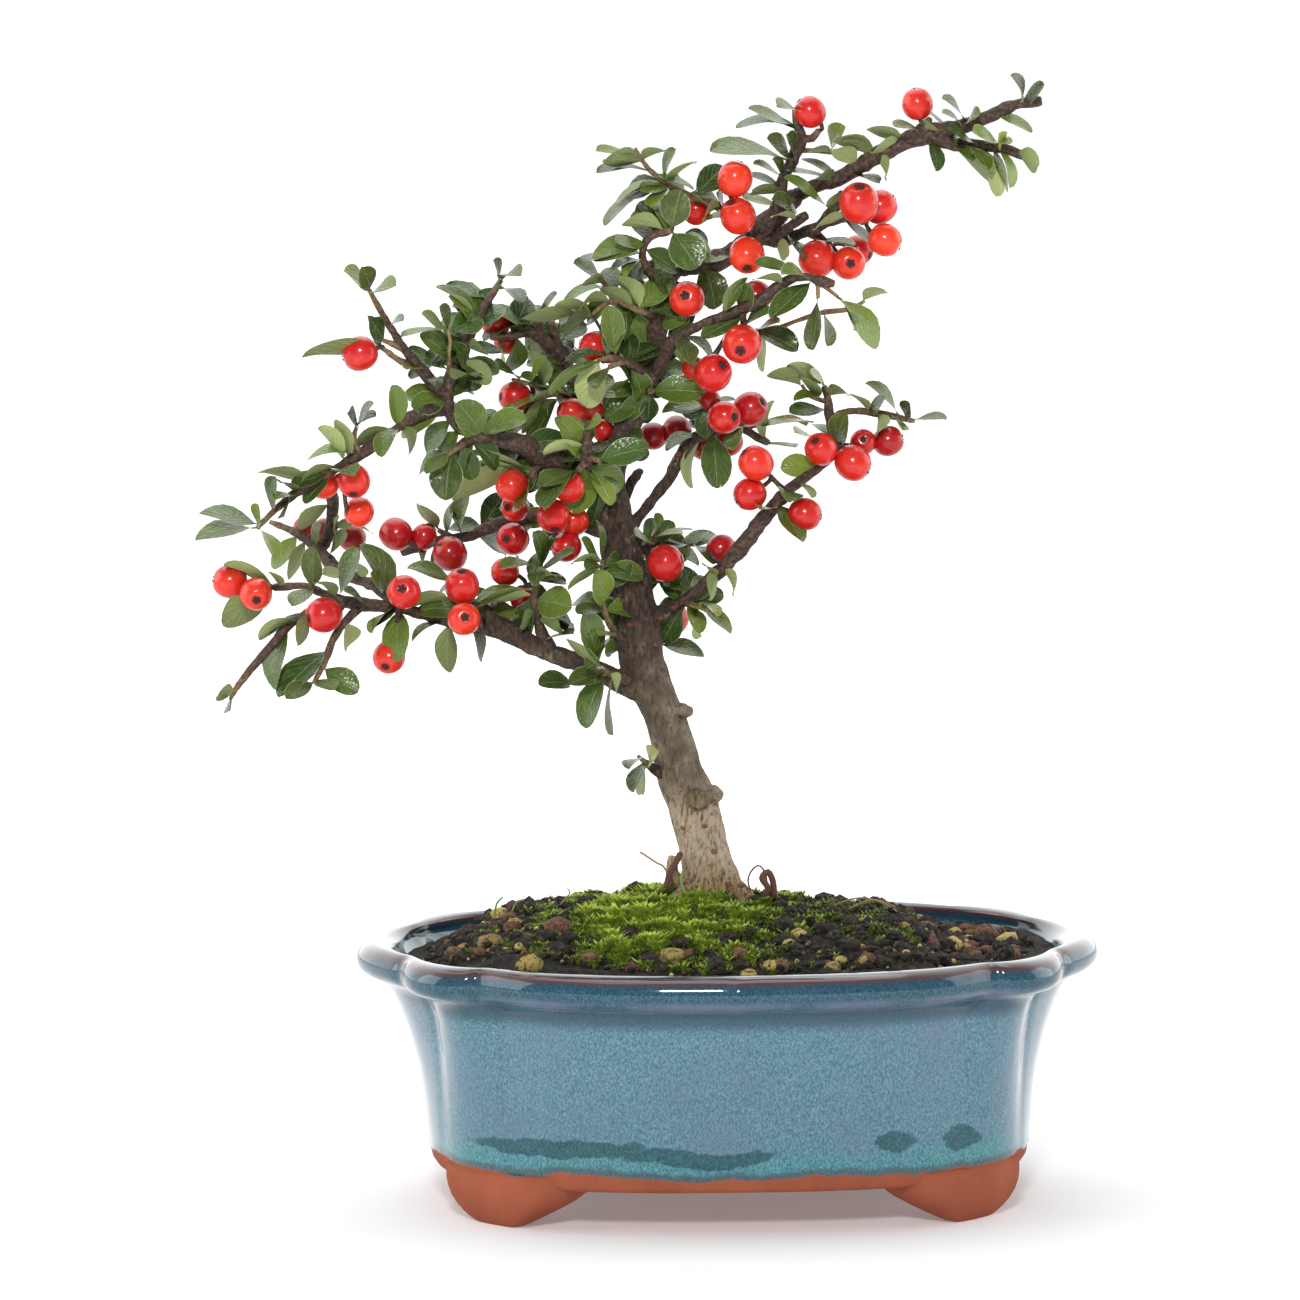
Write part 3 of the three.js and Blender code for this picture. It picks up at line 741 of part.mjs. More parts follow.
// Berries. Each bunch has the place where it grows from the wood, the point where its stalks meet, and
// its berries: picture point, depth and radius in pixels, then where the eye at the berry's end looks
// (right, up, towards the viewer).
const BUNCHES = {
  top_berry: { root: [818, 131, -6], berries: [[810, 112, -6, 15.7, [-0.7, 0.7, 0.1]]] },
  top_right_berry: { root: [926, 123, -13], berries: [[917.5, 104, -14, 15.6, [-0.15, 1, 0]]] },
  upper_bunch: {
    root: [757, 232, 5],
    join: [752, 222, -4],
    berries: [[735, 179, -8, 17.7, [0.3, 0.95, 0.1]], [738, 216, -9, 18, [-0.4, 0.75, 0.5]],
      [747, 255, -7, 18, [0, -0.8, 0.6]]],
  },
  twig_berry: { root: [704, 202, -3], berries: [[696, 210, 3, 15, [0, -0.4, -0.9]]] },
  right_upper_bunch: {
    root: [852, 217, -4],
    join: [868, 219, -4],
    berries: [[859, 203, -11, 20, [0, 0.8, 0.6]], [880, 207, -2, 17, [0.8, 0.6, 0]],
      [885, 240, -6, 16.6, [0.9, -0.5, 0]]],
  },
  right_under_bunch: {
    root: [818, 234, 4],
    join: [832, 246, 6],
    berries: [[817, 259, 0, 19, [0, -0.4, -0.9]], [848.5, 263, 0, 17, [0.1, -0.1, 1]],
      [858, 250, 8, 15, [0.6, -0.3, 0.3]]],
  },
  leader_berry: { root: [660, 296, 7], berries: [[687, 299, -4, 18, [-0.15, 0.15, 1]]] },
  right_spur_bunch: {
    root: [728, 315, -8],
    join: [732, 326, -4],
    berries: [[756, 296, 2, 16, [0.2, 0.4, -0.8]], [742, 344, -10, 20, [-0.1, -0.4, 0.9]],
      [713, 373, -8, 19, [0.5, 0.4, 0.75]], [694, 368, 0, 12, [-0.7, 0, -0.6]]],
  },
  right_mid_bunch: {
    root: [711, 414, 12],
    join: [722, 405, 7],
    berries: [[724, 417.5, 0, 16.6, [0.65, 0, 0.75]], [750, 409, 6, 17.6, [0.7, 0.4, 0.5]],
      [710, 400, 6, 11, [-0.5, 0.8, 0]]],
  },
  right_mid_back_bunch: {
    root: [705, 434, 15],
    join: [704, 440, 21],
    berries: [[677, 430, 23, 15, [-0.3, 0.3, -0.9]], [653, 436, 23, 14, [-0.8, 0, 0]],
      [704, 445, 24, 15, [0, -0.6, -0.6]], [728, 441, 23, 15, [0.6, -0.6, -0.3]]],
  },
  right_crown_bunch: {
    root: [838, 449, 0],
    join: [846, 445, -2],
    berries: [[821, 449, -8, 16.6, [-0.4, 0.5, 0.75]], [853, 463, -6, 18, [0.85, -0.5, 0.1]],
      [863, 442, 2, 13.3, [0, 0.2, 1]], [888, 441, 4, 15.3, [0.95, 0.3, 0]]],
  },
  right_low_bunch: {
    root: [784, 490, -10],
    join: [771, 477, -13],
    berries: [[756, 463, -16, 17.5, [-0.7, 0.6, 0.2]], [750, 494, -13, 16.4, [-0.85, -0.5, 0.1]]],
  },
  right_low_berry: { root: [776, 506, -10], berries: [[805, 514, -12, 16.6, [0.95, -0.2, 0.1]]] },
  limb_berry: { root: [724, 566, -5], berries: [[721.5, 549, 3, 15, [0.7, 0.2, -0.6]]] },
  trunk_berry: { root: [650, 547, 2], berries: [[665.5, 563, -5, 19, [0.3, -0.3, -0.9]]] },
  low_right_berry: { root: [668, 609, -1], berries: [[672, 618, 8, 17, [0.3, -0.6, -0.7]]] },
  leader_left_bunch: {
    root: [616, 359, -9],
    join: [610, 354, -5],
    berries: [[594, 347, -3, 15, [-0.7, 0.3, 0]], [608, 350, 2, 13, [0.2, 0.4, 0]]],
  },
  centre_bunch: {
    root: [598, 413, 12],
    join: [590, 420, 6],
    berries: [[572, 413, 2, 15, [-0.7, 0.3, 0.2]], [590, 410, 4, 14, [0.2, 0.8, 0]], [602, 430, 6, 11, [0.3, -0.6, 0]]],
  },
  middle_bunch: {
    root: [566, 523, 8],
    join: [565, 515, 0],
    berries: [[569, 487, -13, 16, [0.4, -0.3, -0.8]], [553, 516, -13, 16.6, [0.1, -0.85, 0.5]],
      [574, 521, -4, 15, [0.6, -0.2, -0.7]], [566.5, 547, -6, 15, [-0.6, -0.5, 0.3]]],
  },
  upper_left_berry: { root: [383, 347, -23], berries: [[360, 353.5, -24, 17.6, [-0.95, -0.3, 0]]] },
  left_crown_bunch: {
    root: [504, 336, 4],
    join: [502, 336, 8],
    berries: [[496, 322, 8, 15, [0, 0.7, -0.6]], [506, 342, 12, 12, [0.6, -0.6, 0]]],
  },
  centre_left_berry: { root: [530, 384, 4], berries: [[515, 397, 8, 16, [-0.8, 0, 0.3]]] },
  left_arch_bunch: {
    root: [346, 463, -25],
    join: [343, 474, -22],
    berries: [[354, 481, -27, 16.6, [0, -0.85, 0.5]], [324, 484, -19, 15, [-0.5, -0.3, 0]],
      [359, 512, -17, 15, [0.5, 0.8, -0.2]]],
  },
  low_left_back_bunch: {
    root: [328, 534, 16],
    join: [330, 533, 24],
    berries: [[306, 529, 25, 13, [-0.5, 0, 0]], [325, 531, 27, 13, [0, -0.5, -0.8]], [352, 538, 24, 14, [0.8, -0.3, 0]]],
  },
  mid_left_bunch: {
    root: [428, 544, 17],
    join: [426, 548, 11],
    berries: [[396, 534, 8, 16.6, [-0.7, 0.5, -0.3]], [424, 537, 9, 13, [0.3, 0.6, 0]],
      [450, 554, 4, 17.4, [0.5, -0.5, -0.7]]],
  },
  left_limb_bunch: {
    root: [531, 476, -9],
    join: [524, 484, -6],
    berries: [[512, 486, -12, 16.6, [-0.3, -0.3, -0.9]], [515, 508, -4, 14, [-0.5, 0, 0.8]],
      [513, 539, 2, 16.6, [-0.4, 0, 0.9]]],
  },
  far_left_bunch: {
    root: [276, 587, -11],
    join: [268, 588, -12],
    berries: [[230, 581.6, -10, 17, [-0.95, 0.1, 0]], [256, 594, -16, 16.6, [0.1, -0.4, 0.9]]],
  },
  low_left_berry: { root: [338, 601, -14], berries: [[324, 615, -22, 18, [-0.85, -0.2, 0.4]]] },
  low_left_bunch: {
    root: [398, 609, -16],
    join: [398, 612, -21],
    berries: [[404, 592, -25, 17.4, [-0.1, 0.2, 1]], [389, 657, -18, 16.6, [-0.2, -0.6, 0.75]]],
  },
  stub_bunch: {
    root: [482, 606, -14],
    join: [476, 603, -17],
    berries: [[462, 586, -19, 17.6, [0, 0.85, 0.5]], [464, 619, -25, 16.8, [0.1, 0.1, 1]]],
  },
  low_centre_bunch: {
    root: [535, 592, -13],
    join: [526, 586, -9],
    berries: [[505, 572, -8, 14, [-0.8, 0.2, 0]], [523, 598, -6, 13, [-0.4, -0.7, 0]]],
  },
};

const MATERIALS = {
  glaze: { color: 0x6f8791, roughness: 0.35 },
  soil: { color: 0x4b4a33, roughness: 0.95 },
  wood: { color: 0x6a5849, roughness: 0.85 },
  leaf: { color: 0x3f6a2c, roughness: 0.5 },
  berry: { color: 0xc92a20, roughness: 0.3 },
  cover: { color: 0x26292a, roughness: 0.6 },
  wire: { color: 0xb9bbbd, roughness: 0.4 },
};

// The place on a stem's twigs that the picture shows nearest to a point.
function nearestOnTwigs(twigs, across, down) {
  let best = null;
  for (const stations of twigs) {
    const kept = keyStations(stations);
    for (let index = 0; index < kept.length - 1; index += 1) {
      const [ax, ay, ad, ar] = kept[index];
      const [bx, by, bd, br] = kept[index + 1];
      const span = (bx - ax) ** 2 + (by - ay) ** 2 || 1;
      const share = THREE.MathUtils.clamp(((across - ax) * (bx - ax) + (down - ay) * (by - ay)) / span, 0.02, 0.98);
      const x = ax + share * (bx - ax);
      const y = ay + share * (by - ay);
      const distance = Math.hypot(across - x, down - y);
      if (!best || distance < best.distance) {
        const length = Math.sqrt(span);
        const slope = [(bx - ax) / length, (by - ay) / length, (bd - ad) / length];
        best = { distance, across: x, down: y, depth: ad + share * (bd - ad), radius: ar + share * (br - ar), slope };
      }
    }
  }
  return best;
}

// A folded blade from its root to its tip, with the same triangles on both faces.
function blade(root, tip, width, upperFace, seed, extra = 0) {
  const along = tip.clone().sub(root);
  const length = along.length();
  along.divideScalar(length);
  const normal = upperFace.clone().addScaledVector(along, -upperFace.dot(along)).normalize();
  const across = along.clone().cross(normal);
  const fold = BLADE_FOLD * (0.5 + vary(seed));
  const droop = BLADE_DROOP * length * (vary(seed + 0.5) - 0.2);
  const place = (share, side, level) => root.clone()
    .addScaledVector(along, share * (length + extra))
    .addScaledVector(across, side)
    .addScaledVector(normal, Math.abs(side) * fold + droop * Math.sin(Math.PI * share) + level);
  const halves = BLADE_EDGE.map(([share, half]) => [share, half * width + extra]);
  const edges = [...halves, [1, 0], ...halves.slice().reverse().map(([share, half]) => [share, -half])];
  const levels = [extra, -BLADE_THICKNESS - extra];
  const points = [place(-extra / length, 0, -BLADE_THICKNESS / 2)];
  levels.forEach((level) => edges.forEach(([share, side]) => points.push(place(share, side, level))));
  // Point 0 is the root, 1 to 5 run round the upper face by its tip, 3, and 6 to 10 round the lower face.
  const faces = [];
  for (let index = 1; index < edges.length; index += 1) {
    const low = index + edges.length;
    faces.push([0, index, index + 1], [0, low + 1, low]);
    faces.push([low, low + 1, index + 1], [low, index + 1, index]);
  }
  faces.push([0, 6, 1], [5, 10, 0]);
  return solidFrom(points, faces);
}

// How a listed leaf lies: its root inside the twig, its blade's start, its tip, width and upper face. It
// leans by some mm in depth, and its root slides by some pixels along the twig.
function layLeaf(twigs, [baseX, baseY, tipX, tipY, shownWidth], seed, [lean, slide]) {
  const seat = nearestOnTwigs(twigs, baseX, baseY);
  const middle = fromPicture([seat.across + slide * seat.slope[0], seat.down + slide * seat.slope[1],
    seat.depth + slide * seat.slope[2]]);
  const towardsTip = fromPicture([tipX, tipY, seat.depth]).sub(middle).normalize();
  const root = middle.clone().addScaledVector(towardsTip, ROOT_SHARE * pixelsToMm(seat.radius, seat.depth));
  const petiole = seat.distance > seat.radius + 4;
  const start = petiole ? fromPicture([baseX, baseY, seat.depth]) : root;
  const shownLength = pixelsToMm(Math.hypot(tipX - baseX, tipY - baseY), seat.depth);
  const fullLength = Math.max(shownLength * 1.03, LEAF_LENGTH * (0.75 + 0.25 * vary(seed)));
  const reach = Math.min(Math.sqrt(fullLength ** 2 - shownLength ** 2), 0.8 * fullLength);
  const tip = fromPicture([tipX, tipY, seat.depth - reach + lean]);
  const shown = pixelsToMm(Math.abs(shownWidth), seat.depth);
  const width = Math.max(shown, LEAF_WIDTH_SHARE * tip.distanceTo(start) * 0.85);
  const along = tip.clone().sub(start).normalize();
  const facing = AHEAD.clone().multiplyScalar(shownWidth < 0 ? 1 : -1);
  facing.addScaledVector(along, -facing.dot(along)).normalize();
  const aside = along.clone().cross(facing);
  const roll = Math.acos(Math.min(shown / width, 1));
  const turn = aside.z > 0 ? roll : -roll;
  const upperFace = facing.multiplyScalar(Math.cos(turn)).addScaledVector(aside, Math.sin(turn));
  return { root, start, tip, width, upperFace, petiole };
}

// Ways in which a leaf may lean towards or away from the viewer to keep clear of its neighbours, in mm,
// and slide along its twig, in picture pixels.
const LEANS = [0, 2, -2, 4, -4, 7, -7, 10, -10, 14, -14];
const SLIDES = [0, -3, 3];
const LIES = LEANS.flatMap((lean) => SLIDES.map((slide) => [lean, slide]));
// Pushes in depth that a berry may take, in mm.
const PUSHES = [0, 2, -2, 4, -4, 6, -6];

// The blade with its petiole, if its base stands off the twig.
function leafSolid(leaf, seed, extra) {
  const solid = blade(leaf.start, leaf.tip, leaf.width, leaf.upperFace, seed, extra);
  if (!leaf.petiole) {
    return solid;
  }
  const end = leaf.start.clone().lerp(leaf.tip, 0.12).addScaledVector(leaf.upperFace, -BLADE_THICKNESS / 2);
  return solid.add(limb([leaf.root, end], [PETIOLE_RADIUS, PETIOLE_RADIUS], STALK_SIDES, extra));
}

const shownArea = ([baseX, baseY, tipX, tipY, width]) => Math.hypot(tipX - baseX, tipY - baseY) * Math.abs(width);

// A leaf that is leaned until it is clear of the other nodes, or trimmed where it only brushes them. Of the
// clear ways it takes the one that makes the simplest sound body with its stem.
function fitLeaf(stemSolid, twigs, listed, seed, others) {
  const ways = [];
  for (const lie of LIES) {
    const leaf = layLeaf(twigs, listed, seed, lie);
    const whole = leafSolid(leaf, seed, 0);
    const fat = leafSolid(leaf, seed, LEAF_GAP);
    const near = meeting(fat, others);
    const solid = near.length > 0 ? whole.subtract(unite(near)) : whole;
    const share = near.length > 0 ? solid.volume() / whole.volume() : 1;
    if (share > LEAST_KEPT_SHARE) {
      const joined = stemSolid.add(solid);
      const cost = joined.numTri() + Math.abs(lie[0]) + Math.abs(lie[1]) + (1 - share) * TRIMMING_COST;
      ways.push({ joined, fat, cost });
    }
  }
  ways.sort((first, second) => first.cost - second.cost);
  return ways.find((way) => isSound(way.joined)) || null;
}

function boxesMeet(first, second) {
  return first.min.every((low, axis) => low <= second.max[axis]) &&
    second.min.every((low, axis) => low <= first.max[axis]);
}

// The others' solids that a solid runs into.
function meeting(solid, others) {
  const box = solid.boundingBox();
  return others
    .filter((other) => boxesMeet(box, other.box) && !solid.intersect(other.solid).isEmpty())
    .map((other) => other.solid);
}

function makeBerry([across, down, depth, radiusPixels, eye], extra) {
  const centre = fromPicture([across, down, depth]);
  const radius = pixelsToMm(radiusPixels, depth) * BERRY_CHORD_ALLOWANCE + extra;
  const axis = RIGHT.clone().multiplyScalar(eye[0])
    .addScaledVector(PICTURE_UP, eye[1])
    .addScaledVector(AHEAD, -eye[2]).normalize();
  const side = (Math.abs(axis.z) > 0.9 ? vector(1, 0, 0) : UP.clone()).cross(axis).normalize();
  const other = axis.clone().cross(side);
  const rings = [[-0.68, 0.72], [0.05, 1], [0.74, 0.66]].map(([height, spread]) => {
    const ring = [];
    for (let step = 0; step < BERRY_SIDES; step += 1) {
      const angle = 2 * Math.PI * step / BERRY_SIDES;
      ring.push(centre.clone()
        .addScaledVector(axis, height * radius)
        .addScaledVector(side, spread * radius * Math.cos(angle))
        .addScaledVector(other, spread * radius * Math.sin(angle)));
    }
    return ring;
  });
  const poles = [-1, 1].map((height) => centre.clone().addScaledVector(axis, height * radius));
  return { centre, radius, axis, solid: skin(rings, poles) };
}

// One berry on its stalk from the fork.
function berryOnStalk(fork, listed, push, extra) {
  const [across, down, depth, radius, eye] = listed;
  const berry = makeBerry([across, down, depth + push, radius, eye], extra);
  const stalkEnd = berry.centre.clone().addScaledVector(berry.axis, -0.45 * berry.radius);
  return berry.solid.add(limb([fork, stalkEnd], [STALK_RADIUS, STALK_RADIUS], STALK_SIDES, extra));
}

// A bunch: each berry is pushed in depth to where it crosses its neighbours and the twigs the least.
function makeBunch({ root, join, berries }, taken) {
  const rootPoint = fromPicture(root);
  const fork = join ? fromPicture(join) : rootPoint;
  const stalkRadii = [STALK_RADIUS * 1.3, STALK_RADIUS * 1.3];
  const joinStalk = (extra) => limb([rootPoint, fork.clone().lerp(rootPoint, -0.05)], stalkRadii, STALK_SIDES, extra);
  let solid = join ? joinStalk(0).subtract(taken) : null;
  let fat = join ? joinStalk(LEAF_GAP) : null;
  for (const listed of berries) {
    const tries = PUSHES.map((push) => {
      const own = berryOnStalk(fork, listed, push, 0).subtract(taken);
      const joined = solid ? solid.add(own) : own;
      return { push, joined, cost: joined.numTri() + Math.abs(push) };
    });
    tries.sort((first, second) => first.cost - second.cost);
    const best = tries.find((way) => isSound(way.joined)) || tries[0];
    solid = best.joined;
    const grown = berryOnStalk(fork, listed, best.push, LEAF_GAP);
    fat = fat ? fat.add(grown) : grown;
  }
  return { solid: largestBody(solid), fat };
}

// Assembly
function addNode(group, name, solid, slot) {
  const { positions, triangles } = cleanMesh(solid);
  const geometry = new THREE.BufferGeometry();
  geometry.setAttribute('position', new THREE.BufferAttribute(positions, 3));
  geometry.setIndex(triangles);
  const flat = geometry.toNonIndexed();
  flat.computeVertexNormals();
  const node = new THREE.Mesh(flat, new THREE.MeshStandardMaterial({ ...MATERIALS[slot], name: slot }));
  node.name = name;
  group.add(node);
}

function build() {
  const group = new THREE.Group();
  group.name = 'cotoneaster_praecox_bonsai';
  const bareLimbs = [TRUNK, ...THICK_LIMBS, ...KNOBS_AND_ROOTS];
  const wood = unite(bareLimbs.map((stations) => pictureLimb(stations)));
  const woodCutter = unite(bareLimbs.map((stations) => pictureLimb(stations, SEAT_GAP)));

  const pot = makePot();
  const coverRooms = unite([coverRoom(-DRAIN_OFFSET), coverRoom(DRAIN_OFFSET)]);
  addNode(group, 'pot', pot, 'glaze');
  addNode(group, 'soil', makeSoil(woodCutter, coverRooms), 'soil');
  addNode(group, 'drain_cover_left', makeCover(-DRAIN_OFFSET), 'cover');
  addNode(group, 'drain_cover_right', makeCover(DRAIN_OFFSET), 'cover');
  addNode(group, 'drain_wire_left', makeWire(-DRAIN_OFFSET), 'wire');
  addNode(group, 'drain_wire_right', makeWire(DRAIN_OFFSET), 'wire');
  addNode(group, 'tree_wood', wood, 'wood');

  // Each stem's own twigs, cut clear of the wood and of the stems before it.
  let taken = woodCutter;
  const twigSolids = {};
  const twigCutters = {};
  for (const [name, stem] of Object.entries(STEMS)) {
    const own = unite(stem.twigs.map((stations) => pictureLimb(stations)));
    twigCutters[name] = unite(stem.twigs.map((stations) => pictureLimb(stations, SEAT_GAP)));
    twigSolids[name] = largestBody(own.subtract(taken));
    taken = taken.add(twigCutters[name]);
  }

  const obstacles = [];
  const remember = (owner, solid) => obstacles.push({ owner, solid, box: solid.boundingBox() });
  const bunches = {};
  for (const [name, bunch] of Object.entries(BUNCHES)) {
    const made = makeBunch(bunch, unite([taken, ...obstacles.map((obstacle) => obstacle.solid)]));
    bunches[name] = made.solid;
    remember(name, made.fat);
  }
  remember('tree_wood', woodCutter);
  for (const name of Object.keys(STEMS)) {
    remember(name, twigCutters[name]);
  }

  let leafNumber = 0;
  for (const [name, stem] of Object.entries(STEMS)) {
    const others = obstacles.filter((obstacle) => obstacle.owner !== name);
    let solid = twigSolids[name];
    for (const listed of stem.leaves) {
      leafNumber += 1;
      if (shownArea(listed) < LEAST_SHOWN_AREA) {
        continue;
      }
      const fitted = fitLeaf(solid, stem.twigs, listed, leafNumber, others);
      if (fitted) {
        solid = fitted.joined;
        remember(name, fitted.fat);
      }
    }
    addNode(group, name, largestBody(solid), 'leaf');
  }
  for (const [name, solid] of Object.entries(bunches)) {
    addNode(group, name, solid, 'berry');
  }
  const bounds = new THREE.Box3().setFromObject(group);
  const middle = bounds.getCenter(vector(0, 0, 0));
  group.children.forEach((node) => node.geometry.translate(-middle.x, -middle.y, -bounds.min.z));
  return group;
}

export default build();
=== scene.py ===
# %% [markdown]
# # A cotoneaster bonsai in a glazed pot
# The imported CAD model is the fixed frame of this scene. Each finer piece built below takes the place of
# one of its nodes, and keeps close to where that node is.

# %% Load the frame
import json
import math
import random

import bmesh
import bpy
from mathutils import Matrix, Vector, noise

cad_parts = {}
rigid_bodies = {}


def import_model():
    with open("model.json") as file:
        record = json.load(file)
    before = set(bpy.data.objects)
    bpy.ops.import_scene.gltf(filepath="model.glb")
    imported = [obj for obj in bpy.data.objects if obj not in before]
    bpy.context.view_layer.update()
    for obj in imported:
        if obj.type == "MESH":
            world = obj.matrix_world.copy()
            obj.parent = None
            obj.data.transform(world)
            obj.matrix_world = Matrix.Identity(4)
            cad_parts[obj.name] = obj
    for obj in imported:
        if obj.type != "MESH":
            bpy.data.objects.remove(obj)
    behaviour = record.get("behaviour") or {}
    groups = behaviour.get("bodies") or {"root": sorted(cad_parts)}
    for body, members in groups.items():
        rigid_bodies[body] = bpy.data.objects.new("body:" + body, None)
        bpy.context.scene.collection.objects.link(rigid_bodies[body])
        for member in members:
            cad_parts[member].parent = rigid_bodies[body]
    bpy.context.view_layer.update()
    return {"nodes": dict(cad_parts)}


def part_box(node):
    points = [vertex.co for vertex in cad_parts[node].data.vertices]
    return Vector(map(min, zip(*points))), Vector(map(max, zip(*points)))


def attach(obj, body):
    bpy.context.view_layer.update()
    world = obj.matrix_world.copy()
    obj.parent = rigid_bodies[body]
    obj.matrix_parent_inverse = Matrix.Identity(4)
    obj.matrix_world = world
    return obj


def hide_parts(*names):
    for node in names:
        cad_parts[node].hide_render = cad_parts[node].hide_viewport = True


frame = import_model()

pot_low, pot_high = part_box("pot")
POT_CENTRE = Vector(((pot_low.x + pot_high.x) / 2, (pot_low.y + pot_high.y) / 2, 0))
MM = 0.001
print("nodes:", len(frame["nodes"]), "pot centre:", tuple(POT_CENTRE))

# %% [markdown]
# ## The photo's view
# A photo fixes two of a point's three coordinates. The third one is a depth in mm, counted from the
# pot's centre. Vectors along the camera's own axes turn such a triple into a place in the scene, which
# is simpler here than matching images by eye.

# %% View helpers
PICTURE_CENTRE = 650
FOCAL_PIXELS = 5610
VIEW_DISTANCE = 1500
VIEW_HEIGHT = 286
VIEW_PITCH = math.radians(5.275)
VIEW_TURN = math.radians(-1.5)
VIEW_ROLL = math.radians(0.4)
VIEW_SIDE_STEP = 20.3

UP = Vector((0, 0, 1))
AHEAD_LEVEL = Vector((-math.sin(VIEW_TURN), math.cos(VIEW_TURN), 0))
RIGHT_LEVEL = Vector((math.cos(VIEW_TURN), math.sin(VIEW_TURN), 0))
AHEAD = AHEAD_LEVEL * math.cos(VIEW_PITCH) - UP * math.sin(VIEW_PITCH)
UP_LEVEL = AHEAD_LEVEL * math.sin(VIEW_PITCH) + UP * math.cos(VIEW_PITCH)
RIGHT = RIGHT_LEVEL * math.cos(VIEW_ROLL) - UP_LEVEL * math.sin(VIEW_ROLL)
PICTURE_UP = UP_LEVEL * math.cos(VIEW_ROLL) + RIGHT_LEVEL * math.sin(VIEW_ROLL)
EYE = UP * VIEW_HEIGHT - AHEAD_LEVEL * VIEW_DISTANCE - RIGHT_LEVEL * VIEW_SIDE_STEP


def from_picture(across, down, depth):
    """The place, in metres, that the picture shows at a point this many mm behind the pot's centre."""
    ray = AHEAD + RIGHT * ((across - PICTURE_CENTRE) / FOCAL_PIXELS)
    ray -= PICTURE_UP * ((down - PICTURE_CENTRE) / FOCAL_PIXELS)
    place = EYE + ray * ((VIEW_DISTANCE + depth) / ray.dot(AHEAD_LEVEL))
    return place * MM + POT_CENTRE


def to_metres(pixels, depth):
    return pixels * (VIEW_DISTANCE + depth) / FOCAL_PIXELS * MM


def vary(seed):
    """The same number between 0 and 1 for the same seed."""
    value = math.sin(seed * 12.9898) * 43758.5453
    return value - math.floor(value)


print("eye at", tuple(round(value) for value in EYE), "mm")

# %% [markdown]
# ## What grows where
# Every station below is a point of the picture, a depth and a radius in picture pixels. They are the same
# stations as the CAD model's, so bark and leaves stay close to the solids. A leaf has its
# base point, its tip point and the width that shows; a negative width shows the underside.

# %% Trunk and thick limbs
TRUNK = [[720, 985, 0, 14], [714, 925, 0, 30], [711, 888, 0, 31.5], [707, 864, 0, 26.5],
    [702.5, 842, 0, 24.5], [697, 820, 0, 25], [691, 799, 0, 24.5], [681, 777, 0, 24.5], [674.5, 751, 0, 21.5],
    [668.5, 729, 0, 20.5], [662, 712, 0, 20], [655, 694, 0, 20.5], [650, 681, 0, 21], [641, 658, 0, 22.5],
    [638.5, 632, 0, 23], [633, 603, 0, 22], [627, 577, 0, 21.5], [620, 545, 0, 20], [613, 504, 2, 17],
    [612, 480, 3, 13], [616, 455, 4, 12.5]]
THICK_LIMBS = [
    # lower left limb and its pruned stub
    [[642, 690, 0, 12], [620, 682, -2, 12], [600, 671, -5, 9.5], [575, 661, -8, 9], [545, 651, -10, 9.5],
        [520, 638, -12, 11], [500, 628, -13, 11.5], [484, 625, -14, 10]],
    [[500, 626, -13, 8], [490, 614, -14, 6], [481, 605, -14, 4]],
    # middle left limb
    [[612, 488, 2, 13], [594, 476, -1, 12], [575, 467, -4, 12]],
    # back left limb
    [[612, 534, 2, 10], [590, 526, 5, 8], [566, 523, 8, 7]],
    # right limbs
    [[648, 622, 0, 10], [664, 611, -1, 7], [680, 603, -2, 6]],
    [[626, 534, 2, 9], [640, 515, 4, 5.5], [652, 500, 6, 5], [669, 478, 9, 6], [683, 451, 12, 6],
        [694, 438, 14, 6]],
    [[620, 508, 5, 7], [632, 482, 9, 5], [641, 470, 12, 4]],
]
KNOBS_AND_ROOTS = [
    [[668, 712, -2, 9], [684, 711, -3, 7.5], [690, 713, -3, 4]],
    [[698, 797, -2, 14], [714, 795, -3, 10], [722, 798, -3, 5]],
    [[698, 800, -4, 13], [698, 800, -7.5, 10.5]],
    [[692, 890, -3, 8], [673, 876, -5, 7.5], [674, 856, -5, 5]],
    [[712, 880, 0, 18], [738, 892, -5, 11], [762, 918, -9, 6]],
    [[702, 886, -2, 16], [680, 900, -9, 10], [656, 926, -15, 6]],
    [[714, 880, 4, 16], [728, 888, 18, 9], [738, 912, 30, 5]],
]
print("stations of bare wood:", sum(len(stations) for stations in [TRUNK, *THICK_LIMBS, *KNOBS_AND_ROOTS]))

